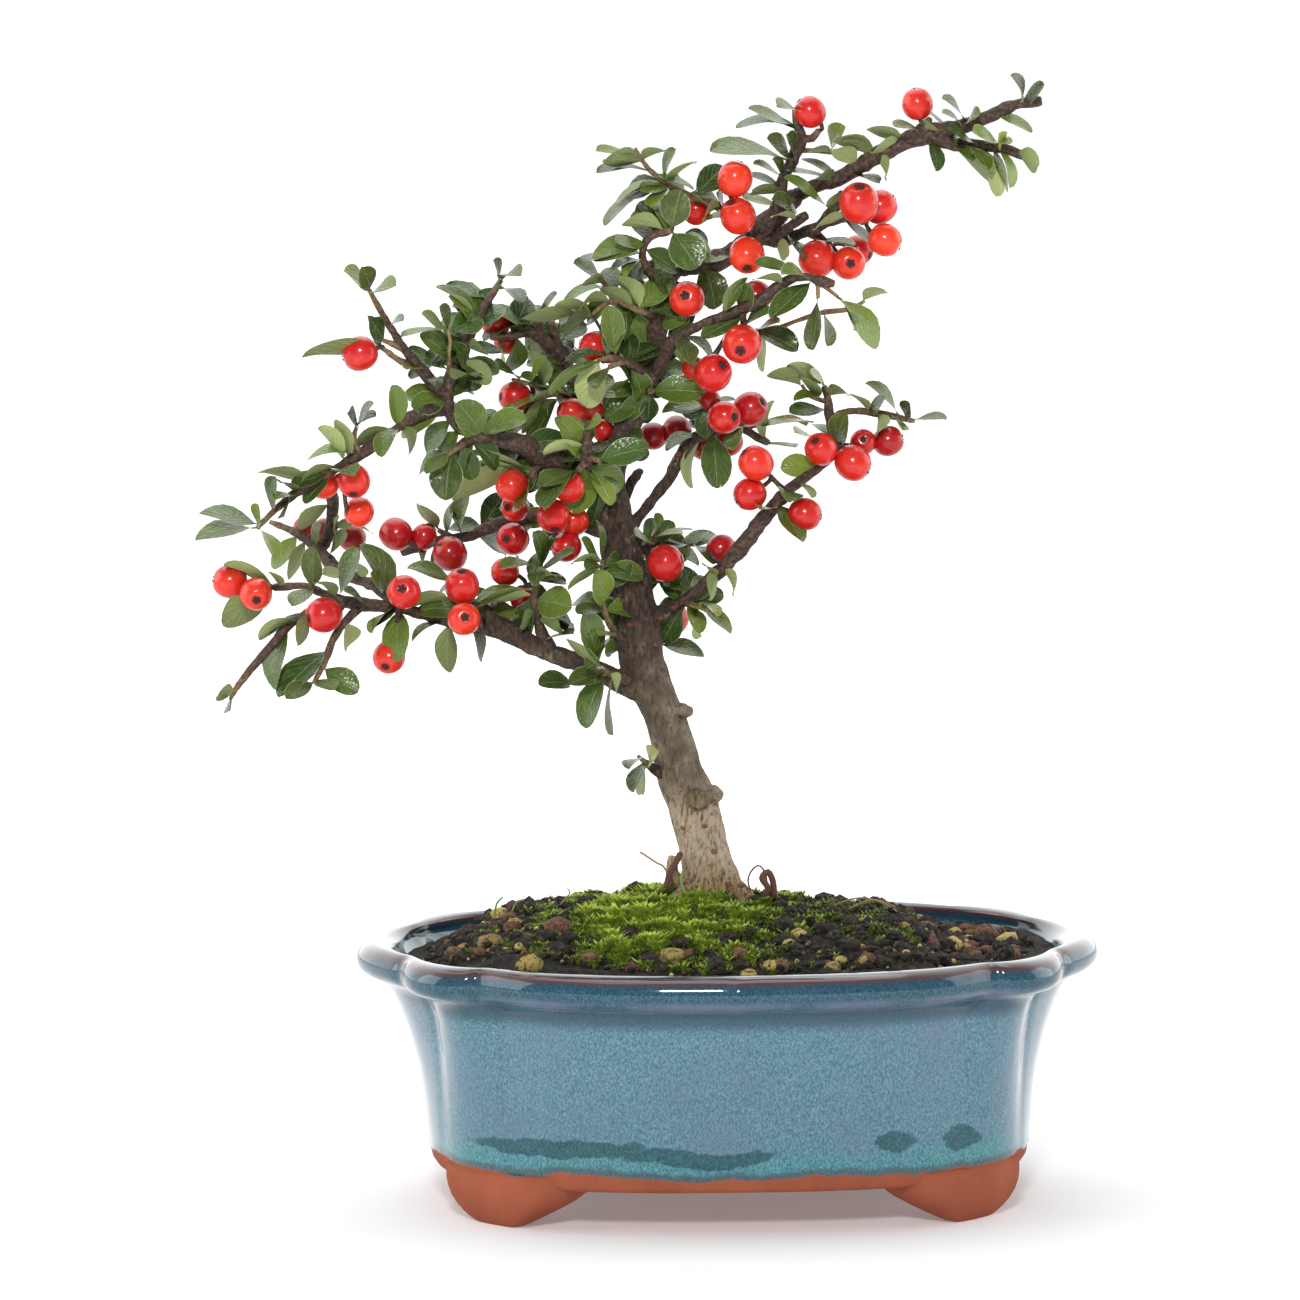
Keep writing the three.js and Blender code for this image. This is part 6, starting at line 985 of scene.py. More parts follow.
# %% Ground
def make_earth():
    material, tree, shader = new_material("earth")
    place = object_place(tree)
    crumbs = cloud(tree, place, 650, 7, 0.7)
    colour = ramp(tree, crumbs, [
        (0.38, rgb(0.004, 0.003, 0.002)), (0.54, rgb(0.018, 0.014, 0.009)), (0.70, rgb(0.115, 0.088, 0.055))])
    connect(tree, colour, shader.inputs["Base Color"])
    shader.inputs["Roughness"].default_value = 0.95
    connect(tree, bump(tree, crumbs, 0.0014, 1.0), shader.inputs["Normal"])
    return material


def make_grit():
    material, tree, shader = new_material("grit")
    place = object_place(tree)
    tone = attribute(tree, "tone")
    pores = cloud(tree, place, 900, 6, 0.7)
    colour = ramp(tree, tone, [
        (0.0, rgb(0.035, 0.018, 0.013)), (0.35, rgb(0.18, 0.075, 0.048)), (0.6, rgb(0.22, 0.14, 0.06)),
        (0.78, rgb(0.54, 0.42, 0.12)), (1.0, rgb(0.80, 0.68, 0.30))])
    colour = blend(tree, rise(tree, pores, 0.52, 0.36), colour, rgb(0.02, 0.014, 0.010))
    connect(tree, colour, shader.inputs["Base Color"])
    shader.inputs["Roughness"].default_value = 0.9
    connect(tree, bump(tree, pores, 0.0012, 0.9), shader.inputs["Normal"])
    return material


def make_moss():
    material, tree, shader = new_material("moss")
    tone = attribute(tree, "tone")
    tip = attribute(tree, "tip")
    bright = ramp(tree, tone, [
        (0.0, rgb(0.040, 0.056, 0.010)), (0.45, rgb(0.15, 0.22, 0.024)), (1.0, rgb(0.52, 0.68, 0.08))])
    # Towards the root the moss turns almost black: partly older stems, partly painted shade between the
    # sprigs.
    deep = blend(tree, 0.82, bright, rgb(0.010, 0.014, 0.003))
    connect(tree, blend(tree, tip, deep, bright), shader.inputs["Base Color"])
    shader.inputs["Roughness"].default_value = 0.75
    return material


EARTH = make_earth()
GRIT = make_grit()
MOSS = make_moss()
DRY = plain("dry_stalk", rgb(0.30, 0.20, 0.11), 0.8)
OLD_ROOT = plain("old_root", rgb(0.10, 0.042, 0.026), 0.8)
GRASS = plain("grass", rgb(0.17, 0.28, 0.06), 0.6)
print("ground materials ready")

# %% [markdown]
# ## The pot
# One quarter of the rim's outline is a smooth curve through a few points, mirrored twice. Soft grooves
# part its lobes. The wall is a stack of such outlines that flatten out to a plain oval further down.

# %% Pot outline
RIM_HALF_LENGTH = 100
RIM_HALF_DEPTH = 78
QUARTER = [
    (0, -78), (5, -77.3), (28, -75.6), (50, -69), (60, -62.8), (65.5, -58.2), (68, -56.9), (71.5, -57.2),
    (78.5, -54.6), (84, -48.4), (86.6, -41), (87.1, -35.5), (88, -31.8), (91, -27.6), (96, -18),
    (99.1, -8.5), (100, 0)]
PIECES_PER_SPAN = 5
WALL_POWER = 2.8
RIM_POWER = 2.3

corners = [Vector((x, y, 0)) for x, y in QUARTER]
quarter = []
for index in range(len(corners) - 1):
    before = corners[index - 1] if index else Vector((-5, -77.3, 0))
    after = corners[index + 2] if index + 2 < len(corners) else Vector((99.1, 8.5, 0))
    for piece in range(PIECES_PER_SPAN):
        share = piece / PIECES_PER_SPAN
        quarter.append(catmull_rom(before, corners[index], corners[index + 1], after, share))
quarter.append(corners[-1])
right_half = quarter + [Vector((point.x, -point.y, 0)) for point in reversed(quarter[:-1])]
PLAN = right_half + [Vector((-point.x, point.y, 0)) for point in reversed(right_half[1:-1])]


def on_oval(point, power):
    """The point of a plain rounded oval in the same direction from the pot's middle."""
    reach = (abs(point.x) / RIM_HALF_LENGTH) ** power + (abs(point.y) / RIM_HALF_DEPTH) ** power
    return point / reach ** (1 / power)


print("points round the rim:", len(PLAN))

# %% [markdown]
# Half length, half depth and height of each level come from the wall's profile in the photo: a flared
# wall, a narrow cove and a rolled rim. A fourth number says how lobed the level is, because the rim's
# inner edge is a plain oval.

# %% Pot body
OUTER_LEVELS = [
    (77.4, 59.6, 11.0, 0.12), (79.2, 61.3, 11.5, 0.12), (80.2, 62.2, 13.0, 0.12), (80.6, 62.6, 15.2, 0.13),
    (80.9, 62.9, 15.7, 0.15), (81.1, 63.1, 20, 0.2), (82.0, 64.2, 28, 0.3), (83.5, 65.6, 37, 0.45),
    (86.0, 67.3, 46, 0.7), (88.6, 69.0, 53, 0.9), (90.8, 70.1, 57.2), (93.0, 71.1, 59.6), (95.4, 73.3, 60.6),
    (97.4, 75.6, 61.4), (98.9, 77, 62.5), (99.8, 77.8, 63.9), (100, 78, 65.5), (99.5, 77.6, 67.2),
    (98, 76.4, 68.8, 0.92), (96.3, 74.6, 69.7, 0.78), (94.2, 72.6, 70, 0.6)]
INNER_LEVELS = [
    (92, 70.6, 69.6, 0.35), (90.4, 68.9, 68.7, 0.15), (89.2, 67.4, 67, 0.1), (88, 66, 64.5, 0.3),
    (83, 62.5, 55, 0.8), (79.6, 60, 40, 0.5), (76, 57.5, 24, 0.2), (74.3, 55.8, 20, 0.1), (72, 54, 18, 0.1)]
INNER_START = 67
INNER_LENGTH = 97
DRAIN_RADIUS = 8
DRAIN_OFFSET = 42
DRAIN_SIDES = 32


def pot_vertex(bm, x, y, height):
    """A vertex at a place given in mm from the pot's centre."""
    return bm.verts.new(Vector((x, y, height)) * MM + POT_CENTRE)


def level_ring(bm, half_length, half_depth, height, lobes=1):
    ring = []
    power = RIM_POWER if height > INNER_START and half_length < INNER_LENGTH else WALL_POWER
    for lobed in PLAN:
        point = on_oval(lobed, power).lerp(lobed, lobes)
        x = point.x * half_length / RIM_HALF_LENGTH
        y = point.y * half_depth / RIM_HALF_DEPTH
        ring.append(pot_vertex(bm, x, y, height))
    return ring


def circle_ring(bm, centre_x, radius, height):
    return [pot_vertex(bm, centre_x + radius * math.cos(angle), radius * math.sin(angle), height)
            for angle in turns(DRAIN_SIDES)]


def ring_edges(bm, ring):
    return [bm.edges.get((ring[index - 1], ring[index])) or bm.edges.new((ring[index - 1], ring[index]))
            for index in range(len(ring))]


def add_plate(bm, outline, holes):
    """A flat floor with holes."""
    edges = ring_edges(bm, outline)
    for hole in holes:
        edges += ring_edges(bm, hole)
    bmesh.ops.triangle_fill(bm, use_beauty=True, edges=edges)


pot_mesh = bmesh.new()
levels = [level_ring(pot_mesh, *level) for level in OUTER_LEVELS + INNER_LEVELS]
join_rings(pot_mesh, levels)
drains = (-DRAIN_OFFSET, DRAIN_OFFSET)
low_holes = [circle_ring(pot_mesh, x, DRAIN_RADIUS, OUTER_LEVELS[0][2]) for x in drains]
high_holes = [circle_ring(pot_mesh, x, DRAIN_RADIUS, INNER_LEVELS[-1][2]) for x in drains]
add_plate(pot_mesh, levels[0], low_holes)
add_plate(pot_mesh, levels[-1], high_holes)
for low_hole, high_hole in zip(low_holes, high_holes):
    join_rings(pot_mesh, [low_hole, high_hole])
print("faces of the pot's body:", len(pot_mesh.faces))

# %% [markdown]
# The four feet are brackets under the corners. Each is a stack of rounded rectangles that gets smaller
# towards its sole, with its outer side kept under the wall.

# %% Pot feet
FOOT_LEVELS = [
    # middle across and in depth, half length, half depth, height and the wall's size that bounds it
    (57.0, 40.0, 21.0, 17.0, 14.9, 80.0, 62.0), (57.0, 40.0, 21.0, 17.0, 13.0, 80.4, 62.4),
    (57.2, 40.0, 20.8, 17.0, 11.0, 81.0, 62.8), (57.8, 40.2, 19.4, 16.0, 9.0, 81.0, 62.8),
    (58.8, 40.4, 17.4, 14.4, 6.8, 80.6, 62.4), (60.0, 40.6, 14.6, 12.3, 4.6, 79.8, 61.6),
    (61.0, 40.8, 11.6, 10.2, 2.6, 78.6, 60.6), (61.6, 41.0, 9.2, 8.4, 1.2, 77.4, 59.8),
    (61.9, 41.0, 7.6, 7.0, 0.35, 76.6, 59.2), (62.0, 41.0, 6.4, 6.0, 0, 76.0, 59.0)]
FOOT_SIDES = 40
FOOT_SQUARENESS = 0.85


def inside_plan(x, y, half_length, half_depth):
    """The point, drawn in to the lobed outline of this size where it lies outside."""
    unit = Vector((x / half_length * RIM_HALF_LENGTH, y / half_depth * RIM_HALF_DEPTH, 0))
    share = min(on_oval(unit, WALL_POWER).length / unit.length, 1)
    return x * share, y * share


def squarer(value):
    """A sine or cosine whose circle is a little squarer."""
    return math.copysign(abs(value) ** FOOT_SQUARENESS, value)


def foot_ring(bm, side_x, side_y, level):
    middle_x, middle_y, half_length, half_depth, height, wall_length, wall_depth = level
    ring = []
    for angle in turns(FOOT_SIDES):
        across = side_x * middle_x + half_length * squarer(math.cos(angle))
        deep = side_y * middle_y + half_depth * squarer(math.sin(angle))
        x, y = inside_plan(across, deep, wall_length, wall_depth)
        ring.append(pot_vertex(bm, x, y, height))
    return ring


for side_x in (-1, 1):
    for side_y in (-1, 1):
        rings = [foot_ring(pot_mesh, side_x, side_y, level) for level in FOOT_LEVELS]
        join_rings(pot_mesh, rings)
        for ring in (rings[0], rings[-1]):
            pot_mesh.faces.new(ring)
pot = stand_for(finish_mesh(pot_mesh, "pot_glazed", [GLAZE]), "pot")
print("faces of the pot:", len(pot.data.polygons))

# %% [markdown]
# ## Drain covers
# Each drain hole is covered by a plastic mesh that a bent wire holds down. They are seen from below
# only, so a square lattice of small holes is enough.

# %% Covers and wires
COVER_RADIUS = 11
COVER_LOW = 18.15
COVER_THICKNESS = 0.8
WIRE_RADIUS = 0.8
WIRE_TOP = 20.05
WIRE_LOW = 9.9
LATTICE_STEP = 2.2
BAR_WIDTH = 0.7
# Half of the bent wire's route: distance from the middle of the hole, and height.
WIRE_HALF = [(5.2, WIRE_TOP), (6, WIRE_TOP - 0.8), (6, WIRE_LOW + 0.8), (6.6, WIRE_LOW), (15, WIRE_LOW)]


def add_box(bm, centre, size):
    made = bmesh.ops.create_cube(bm, size=1)
    bmesh.ops.scale(bm, vec=Vector(size) * MM, verts=made["verts"])
    bmesh.ops.translate(bm, vec=Vector(centre) * MM + POT_CENTRE, verts=made["verts"])


def make_cover(name, centre_x):
    bm = bmesh.new()
    middle = COVER_LOW + COVER_THICKNESS / 2
    bars = int(COVER_RADIUS / LATTICE_STEP)
    for index in range(-bars, bars + 1):
        offset = index * LATTICE_STEP
        reach = 2 * math.sqrt(COVER_RADIUS ** 2 - offset ** 2)
        add_box(bm, (centre_x, offset, middle), (reach, BAR_WIDTH, COVER_THICKNESS))
        add_box(bm, (centre_x + offset, 0, middle), (BAR_WIDTH, reach, COVER_THICKNESS))
    return stand_for(finish_mesh(bm, name + "_mesh", [COVER]), name)


def make_wire(name, centre_x):
    bm = bmesh.new()
    route = [(-across, height) for across, height in reversed(WIRE_HALF)] + WIRE_HALF
    points = [Vector((centre_x + across, 0, height)) * MM + POT_CENTRE for across, height in route]
    add_tube(bm, points, [WIRE_RADIUS * MM] * len(points), 12)
    return stand_for(finish_mesh(bm, name + "_bent", [WIRE]), name)


for side, centre_x in (("left", -DRAIN_OFFSET), ("right", DRAIN_OFFSET)):
    make_cover("drain_cover_" + side, centre_x)
    make_wire("drain_wire_" + side, centre_x)
print("drain covers and wires made")

# %% [markdown]
# ## The ground
# The soil is a mound whose height is a formula, the same one as in the CAD model, roughened with fractal
# noise. A polar grid fits the oval pot better than a square one.

# %% Soil mound
SOIL_EDGE = 64.5
SOIL_RISE = 12.3
TRUNK_RISE = 4.5
TRUNK_X = -8
TRUNK_SPREAD = 500
RIGHT_SLOPE = 0.15
SLOPE_RANGE = (5, 40)
RIGHT_END = (44, 60)
RIGHT_END_DROP = 0.8
LEFT_END = (50, 82)
CREST_REACH = 68
CREST_POWER = 2.2
SOIL_RINGS = 54
SOIL_LENGTH_SHARE = 0.872
SOIL_DEPTH_SHARE = 0.838
SKIRT_DEPTH = 0.004
ROUGHNESS = 2.1
INNER_HALF_LENGTH = 86
INNER_HALF_DEPTH = 64


def smoothstep(value, low, high):
    share = min(max((value - low) / (high - low), 0), 1)
    return share * share * (3 - 2 * share)


def soil_height(x, y):
    slope = 1 - RIGHT_SLOPE * smoothstep(x, *SLOPE_RANGE)
    plateau = slope * (1 - RIGHT_END_DROP * smoothstep(x, *RIGHT_END)) * (1 - smoothstep(-x, *LEFT_END))
    crest = 1 - (abs(y) / CREST_REACH) ** CREST_POWER
    near_trunk = TRUNK_RISE * math.exp(-((x - TRUNK_X) ** 2 + y ** 2) / TRUNK_SPREAD)
    return SOIL_EDGE + SOIL_RISE * plateau * max(crest, 0) + near_trunk


def ground_height(x, y):
    rough = noise.fractal(Vector((x, y, 0)) * 0.2, 0.9, 2.0, 5)
    return soil_height(x, y) + ROUGHNESS * rough


def on_ground(x, y, lift=0.0):
    return Vector((x, y, ground_height(x, y) + lift)) * MM + POT_CENTRE


def edge_share(x, y):
    """How far out from the middle towards the pot's inner wall a point is."""
    return math.hypot(x / INNER_HALF_LENGTH, y / INNER_HALF_DEPTH)


soil_mesh = bmesh.new()
soil_rings = []
for row in range(SOIL_RINGS):
    share = 1 - row / SOIL_RINGS
    ring = []
    for point in PLAN[::3]:
        inner = on_oval(point, RIM_POWER)
        x = inner.x * SOIL_LENGTH_SHARE * share
        y = inner.y * SOIL_DEPTH_SHARE * share
        ring.append(soil_mesh.verts.new(on_ground(x, y)))
    soil_rings.append(ring)
skirt = [soil_mesh.verts.new(vertex.co - UP * SKIRT_DEPTH) for vertex in soil_rings[0]]
join_rings(soil_mesh, [skirt, *soil_rings])
cap(soil_mesh, soil_rings[-1], on_ground(0, 0))
soil = stand_for(finish_mesh(soil_mesh, "soil_mound", [EARTH]), "soil")
print("faces of the soil:", len(soil.data.polygons))

# %% [markdown]
# Grit, crumbs of earth and moss are small repeats. A seeded random draw places them, so that every run
# gives the same ground, and a rule says where each kind may lie.

# %% Stones and crumbs
def ball(detail):
    """Points and faces of a round ball, made once and copied by hand, which is quicker than an operator."""
    bm = bmesh.new()
    bmesh.ops.create_icosphere(bm, subdivisions=detail, radius=1)
    points = [vertex.co.copy() for vertex in bm.verts]
    faces = [[vertex.index for vertex in face.verts] for face in bm.faces]
    bm.free()
    return points, faces


BALLS = {detail: ball(detail) for detail in (1, 2, 3)}


def add_stone(bm, tone_layer, place, radius, tone, seed, detail=1):
    """A rough lump with a colour number on each of its points."""
    points, faces = BALLS[detail]
    squash = Vector((0.8 + 0.4 * vary(seed), 0.8 + 0.4 * vary(seed + 0.3), 0.65 + 0.3 * vary(seed + 0.6)))
    made = []
    for point in points:
        lump = 1 + 0.28 * noise.noise(point * 1.7 + Vector((seed, 0, 0)))
        vertex = bm.verts.new(Vector(a * b for a, b in zip(point, squash)) * (lump * radius * MM) + place)
        vertex[tone_layer] = tone
        made.append(vertex)
    for corners in faces:
        bm.faces.new([made[corner] for corner in corners]).smooth = detail > 1


FIELD_LENGTH = (-84, 84)
FIELD_DEPTH = (-62, 62)
STONES = 300
GRAINS = 2200
CRUMBS = 3000
BIG_CRUMB_SHARE = 0.10
GROWTH_END = 0.93
GRAINS_END = 0.95
STONE_TONES = (0.02, 0.1, 0.3, 0.38, 0.5, 0.6, 0.7, 0.8)
GRAIN_TONES = (0.05, 0.25, 0.38, 0.5, 0.6, 0.75, 0.95)
BIG_STONES = [
    # picture point, radius in mm and colour number
    (1008, 945, 4.2, 0.84), (953, 950, 2.7, 0.86), (966, 936, 3.2, 0.33), (930, 947, 2.8, 0.34),
    (985, 938, 2.8, 0.42), (945, 935, 2.2, 0.36), (975, 957, 2.0, 0.44), (558, 934, 4.4, 0.40),
    (515, 927, 2.8, 0.74), (505, 917, 2.2, 0.80), (490, 950, 2.8, 0.66), (530, 970, 3.0, 0.72),
    (660, 942, 2.2, 0.72), (688, 943, 2.6, 0.76), (672, 963, 3.0, 0.70), (798, 939, 2.4, 0.80),
    (455, 956, 2.4, 0.55), (470, 940, 2.0, 0.62), (590, 962, 2.2, 0.6), (740, 960, 2.2, 0.5)]


def find_on_ground(across, down):
    """Where the line of sight through a picture point meets the mound, in mm from the pot's centre."""
    for depth in range(-62, 60):
        place = (from_picture(across, down, depth) - POT_CENTRE) / MM
        if place.z <= soil_height(place.x, place.y):
            return place
    return place


def draw_spot():
    """A random spot in the box round the ground."""
    return rng.uniform(*FIELD_LENGTH), rng.uniform(*FIELD_DEPTH)


def stone_share(x, y):
    """How likely a stone lies here: mostly at the right end, on the left and along the rim."""
    likely = 0.12 + 0.88 * smoothstep(x, 42, 56) + 0.4 * smoothstep(-x, 44, 58)
    return likely + 0.5 * smoothstep(edge_share(x, y), 0.72, 0.9)


rng = random.Random(7)
grit_mesh = bmesh.new()
grit_tone = grit_mesh.verts.layers.float.new("tone")
for index, (across, down, radius, tone) in enumerate(BIG_STONES):
    place = find_on_ground(across, down)
    add_stone(grit_mesh, grit_tone, on_ground(place.x, place.y, 0.25 * radius), radius, tone, index, 3)
stones = 0
while stones < STONES:
    x, y = draw_spot()
    if edge_share(x, y) > GROWTH_END or rng.random() > stone_share(x, y):
        continue
    radius = rng.uniform(0.8, 2.4)
    tone = rng.choice(STONE_TONES)
    add_stone(grit_mesh, grit_tone, on_ground(x, y, 0.2 * radius), radius, tone, stones + 40, 2)
    stones += 1
grains = 0
while grains < GRAINS:
    x, y = draw_spot()
    if edge_share(x, y) > GRAINS_END:
        continue
    tone = rng.choice(GRAIN_TONES)
    add_stone(grit_mesh, grit_tone, on_ground(x, y, 0.2), rng.uniform(0.3, 0.85), tone, grains + 5000, 1)
    grains += 1
belong_to(finish_mesh(grit_mesh, "grit", [GRIT]))

crumb_mesh = bmesh.new()
crumb_tone = crumb_mesh.verts.layers.float.new("tone")
crumbs = 0
while crumbs < CRUMBS:
    x, y = draw_spot()
    if edge_share(x, y) > GRAINS_END:
        continue
    radius = rng.uniform(1.8, 3.4) if rng.random() < BIG_CRUMB_SHARE else rng.uniform(0.5, 1.5)
    add_stone(crumb_mesh, crumb_tone, on_ground(x, y, 0.2 * radius), radius, 0, crumbs + 400, 1)
    crumbs += 1
belong_to(finish_mesh(crumb_mesh, "crumbs", [EARTH]))
print("stones:", stones + len(BIG_STONES), "grains:", grains, "crumbs:", crumbs)

# %% [markdown]
# A moss sprig is a handful of narrow leaflets that spread from one root, two triangles each. Thousands
# of them make a cushion, and a slow noise decides where the cushion is thick, thin or missing.

# %% Moss
MOSS_LENGTH = (-70, 56)
MOSS_DEPTH = (-62, 60)
MOSS_SPRIGS = 13000
MOST_TRIES = 90000
LEAFLETS = 5


def cushion(x, y, middle_x, middle_y, half_length, half_depth):
    """1 in the middle of a cushion, fading out around it."""
    return math.exp(-((x - middle_x) / half_length) ** 2 - ((y - middle_y) / half_depth) ** 2)


def moss_cover(x, y):
    """How likely moss is here, and how bright it is."""
    bright = cushion(x, y, -20, -22, 27, 40)
    dim = 0.42 * cushion(x, y, 26, -8, 22, 34)
    behind = 0.25 * cushion(x, y, -8, 30, 40, 26)
    clumps = noise.fractal(Vector((x, y, 5)) * 0.13, 1.0, 2.0, 4)
    cover = 1.2 * bright + dim + behind + 0.55 * clumps - 0.2
    return cover, 0.26 + 0.55 * bright + 0.34 * clumps


def add_sprig(bm, tone_layer, tip_layer, place, height, tone, turn):
    """A few pointed leaflets round one root, darker at the root than at their tips: older stems, and painted
    shade between the sprigs.
    """
    root = bm.verts.new(place)
    root[tone_layer] = tone
    for leaflet in range(LEAFLETS):
        angle = turn + 2 * math.pi * leaflet / LEAFLETS
        out = Vector((math.cos(angle), math.sin(angle), 0))
        side = Vector((-out.y, out.x, 0))
        lean = 0.3 + 0.7 * vary(turn * 7 + leaflet)
        waist = place + (out * 0.30 * lean + UP * 0.55) * height
        left = bm.verts.new(waist + side * 0.15 * height)
        right = bm.verts.new(waist - side * 0.15 * height)
        point = bm.verts.new(place + (out * lean + UP * 0.9) * height)
        for vertex, tip in ((left, 0.5), (right, 0.5), (point, 1.0)):
            vertex[tone_layer] = tone
            vertex[tip_layer] = tip
        bm.faces.new((root, right, left))
        bm.faces.new((left, right, point))


moss_mesh = bmesh.new()
moss_tone = moss_mesh.verts.layers.float.new("tone")
moss_tip = moss_mesh.verts.layers.float.new("tip")
sprigs = 0
tries = 0
while sprigs < MOSS_SPRIGS and tries < MOST_TRIES:
    tries += 1
    x = rng.uniform(*MOSS_LENGTH)
    y = rng.uniform(*MOSS_DEPTH)
    cover, brightness = moss_cover(x, y)
    if edge_share(x, y) > GROWTH_END or rng.random() > cover:
        continue
    tuft = noise.noise(Vector((x, y, 9)) * 0.38)
    height = rng.uniform(2.4, 4.2) * (0.45 + 0.45 * min(cover, 1)) * (1 + 0.75 * tuft) * MM
    tone = min(max(brightness + 0.35 * tuft + rng.uniform(-0.14, 0.14), 0), 1)
    add_sprig(moss_mesh, moss_tone, moss_tip, on_ground(x, y, -0.3), height, tone, rng.uniform(0, 6.3))
    sprigs += 1
moss = belong_to(finish_mesh(moss_mesh, "moss", [MOSS]))
print("moss sprigs:", sprigs, "faces:", len(moss.data.polygons))

# %% [markdown]
# ## The wood
# Trunk, roots and thick limbs are tubes that run into each other. A voxel remesh melts them into one
# skin, as real wood grows, and noise along the normals then gives the bark its ridges. A boolean union
# would leave sharp seams.

# %% Trunk and limbs
VOXEL = 0.00042
BARK_DEPTH = 0.00042
RIDGE_SCALE = (1000, 1000, 260)


def picture_path(stations, step):
    """Smooth points and radii, in metres, through stations of the picture."""
    points = [from_picture(*station[:3]) for station in stations]
    radii = [to_metres(station[3], station[2]) for station in stations]
    return smooth_path(points, radii, step)


def add_scar_ring(bm, across, down, depth, radius, thickness):
    """A round lip of healed bark that faces the viewer."""
    stations = 15
    ring = []
    for step in range(stations):
        angle = 2 * math.pi * step / (stations - 1)
        right = 1.12 * radius * math.cos(angle)
        lower = 0.82 * radius * math.sin(angle)
        ring.append((across + right, down + lower, depth, thickness))
    add_tube(bm, *picture_path(ring, 0.0005), 10)


wood_mesh = bmesh.new()
add_tube(wood_mesh, *picture_path(TRUNK, 0.0015), 40)
for stations in THICK_LIMBS + KNOBS_AND_ROOTS:
    add_tube(wood_mesh, *picture_path(stations, 0.0012), 20)
add_scar_ring(wood_mesh, *HEALED_CUT, 8.5, 2.2)
add_scar_ring(wood_mesh, *SMALL_CUT, 5.0, 1.8)
rough_wood = finish_mesh(wood_mesh, "wood_tubes", [BARK])
remesh = rough_wood.modifiers.new("melt", "REMESH")
remesh.mode = "VOXEL"
remesh.voxel_size = VOXEL
remesh.use_smooth_shade = True
seen = bpy.context.evaluated_depsgraph_get()
melted = bpy.data.meshes.new_from_object(rough_wood.evaluated_get(seen))
bpy.data.objects.remove(rough_wood)

skin = bmesh.new()
skin.from_mesh(melted)
bmesh.ops.smooth_vert(skin, verts=skin.verts, factor=0.5, use_axis_x=True, use_axis_y=True, use_axis_z=True)
skin.normal_update()
for vertex in skin.verts:
    along = Vector([part * scale for part, scale in zip(vertex.co, RIDGE_SCALE)])
    ridges = noise.fractal(along * 0.42, 1.0, 2.0, 4)
    lumps = noise.noise(vertex.co * 190)
    vertex.co += vertex.normal * (BARK_DEPTH * (0.8 * ridges + 0.7 * lumps))
wood = stand_for(finish_mesh(skin, "bark_of_trunk", [BARK]), "tree_wood")
print("faces of the wood:", len(wood.data.polygons))

# %% [markdown]
# ## Berries
# A berry is a slightly long ball of rings round its own axis, with a dimple and a dry five-pointed star
# at the end. The rings carry an "eye" number, so that the material can darken the dimple.

# %% Berry bunches
BERRY_SIDES = 22
BERRY_RINGS = 15
BERRY_STRETCH = 1.04
DIMPLE_DEPTH = 0.10
LOBE_DEPTH = 0.018
STAR_POINTS = 5
STALK_RADIUS = 0.0006
BERRY_SPHERES = []


def frame_of(eye):
    """The berry's own three directions; the first one points to its dry star."""
    axis = (RIGHT * eye[0] + PICTURE_UP * eye[1] - AHEAD * eye[2]).normalized()
    helper = Vector((1, 0, 0)) if abs(axis.z) > 0.9 else UP
    side = helper.cross(axis).normalized()
    return axis, side, axis.cross(side)


def add_berry(bm, layers, centre, radius, eye, tone, seed):
    axis, side, other = frame_of(eye)
    rings = []
    for row in range(1, BERRY_RINGS):
        angle = math.pi * row / BERRY_RINGS
        height = -math.cos(angle) * BERRY_STRETCH
        spread = math.sin(angle) ** 0.92
        eye_share = (1 - math.cos(angle)) / 2
        dimple = DIMPLE_DEPTH * smoothstep(eye_share, 0.955, 1.0)
        ring = []
        for turn in turns(BERRY_SIDES):
            lobed = 1 + LOBE_DEPTH * math.cos(STAR_POINTS * turn + seed) * smoothstep(eye_share, 0.5, 0.95)
            offset = (side * math.cos(turn) + other * math.sin(turn)) * (spread * lobed)
            vertex = bm.verts.new(centre + (axis * (height - dimple) + offset) * radius)
            vertex[layers["eye"]] = row / BERRY_RINGS
            vertex[layers["tone"]] = tone
            ring.append(vertex)
        rings.append(ring)
    join_rings(bm, rings)
    low = cap(bm, rings[0], centre - axis * radius, flip=True)
    high = cap(bm, rings[-1], centre + axis * 0.90 * radius)
    for vertex, eye_share in ((low, 0.0), (high, 1.0)):
        vertex[layers["eye"]] = eye_share
        vertex[layers["tone"]] = tone
    for turn in turns(STAR_POINTS):
        out = side * math.cos(turn + seed) + other * math.sin(turn + seed)
        wide = side * -math.sin(turn + seed) + other * math.cos(turn + seed)
        base = centre + (axis * 0.985 + out * 0.27) * radius
        corners = [base + wide * 0.12 * radius, base - wide * 0.12 * radius,
                   centre + (axis * 1.07 + out * 0.06) * radius]
        face = bm.faces.new([bm.verts.new(corner) for corner in corners])
        face.material_index = 2


def berry_shade_and_tone(down, depth, seed):
    """Painted shade: berries at the back and low down are darker. A seeded part varies the tone at random."""
    tone = 0.72 - 0.5 * smoothstep(depth, -8, 16) - 0.12 * smoothstep(down, 250, 560)
    return min(max(tone + 0.4 * (vary(seed) - 0.5), 0), 1)


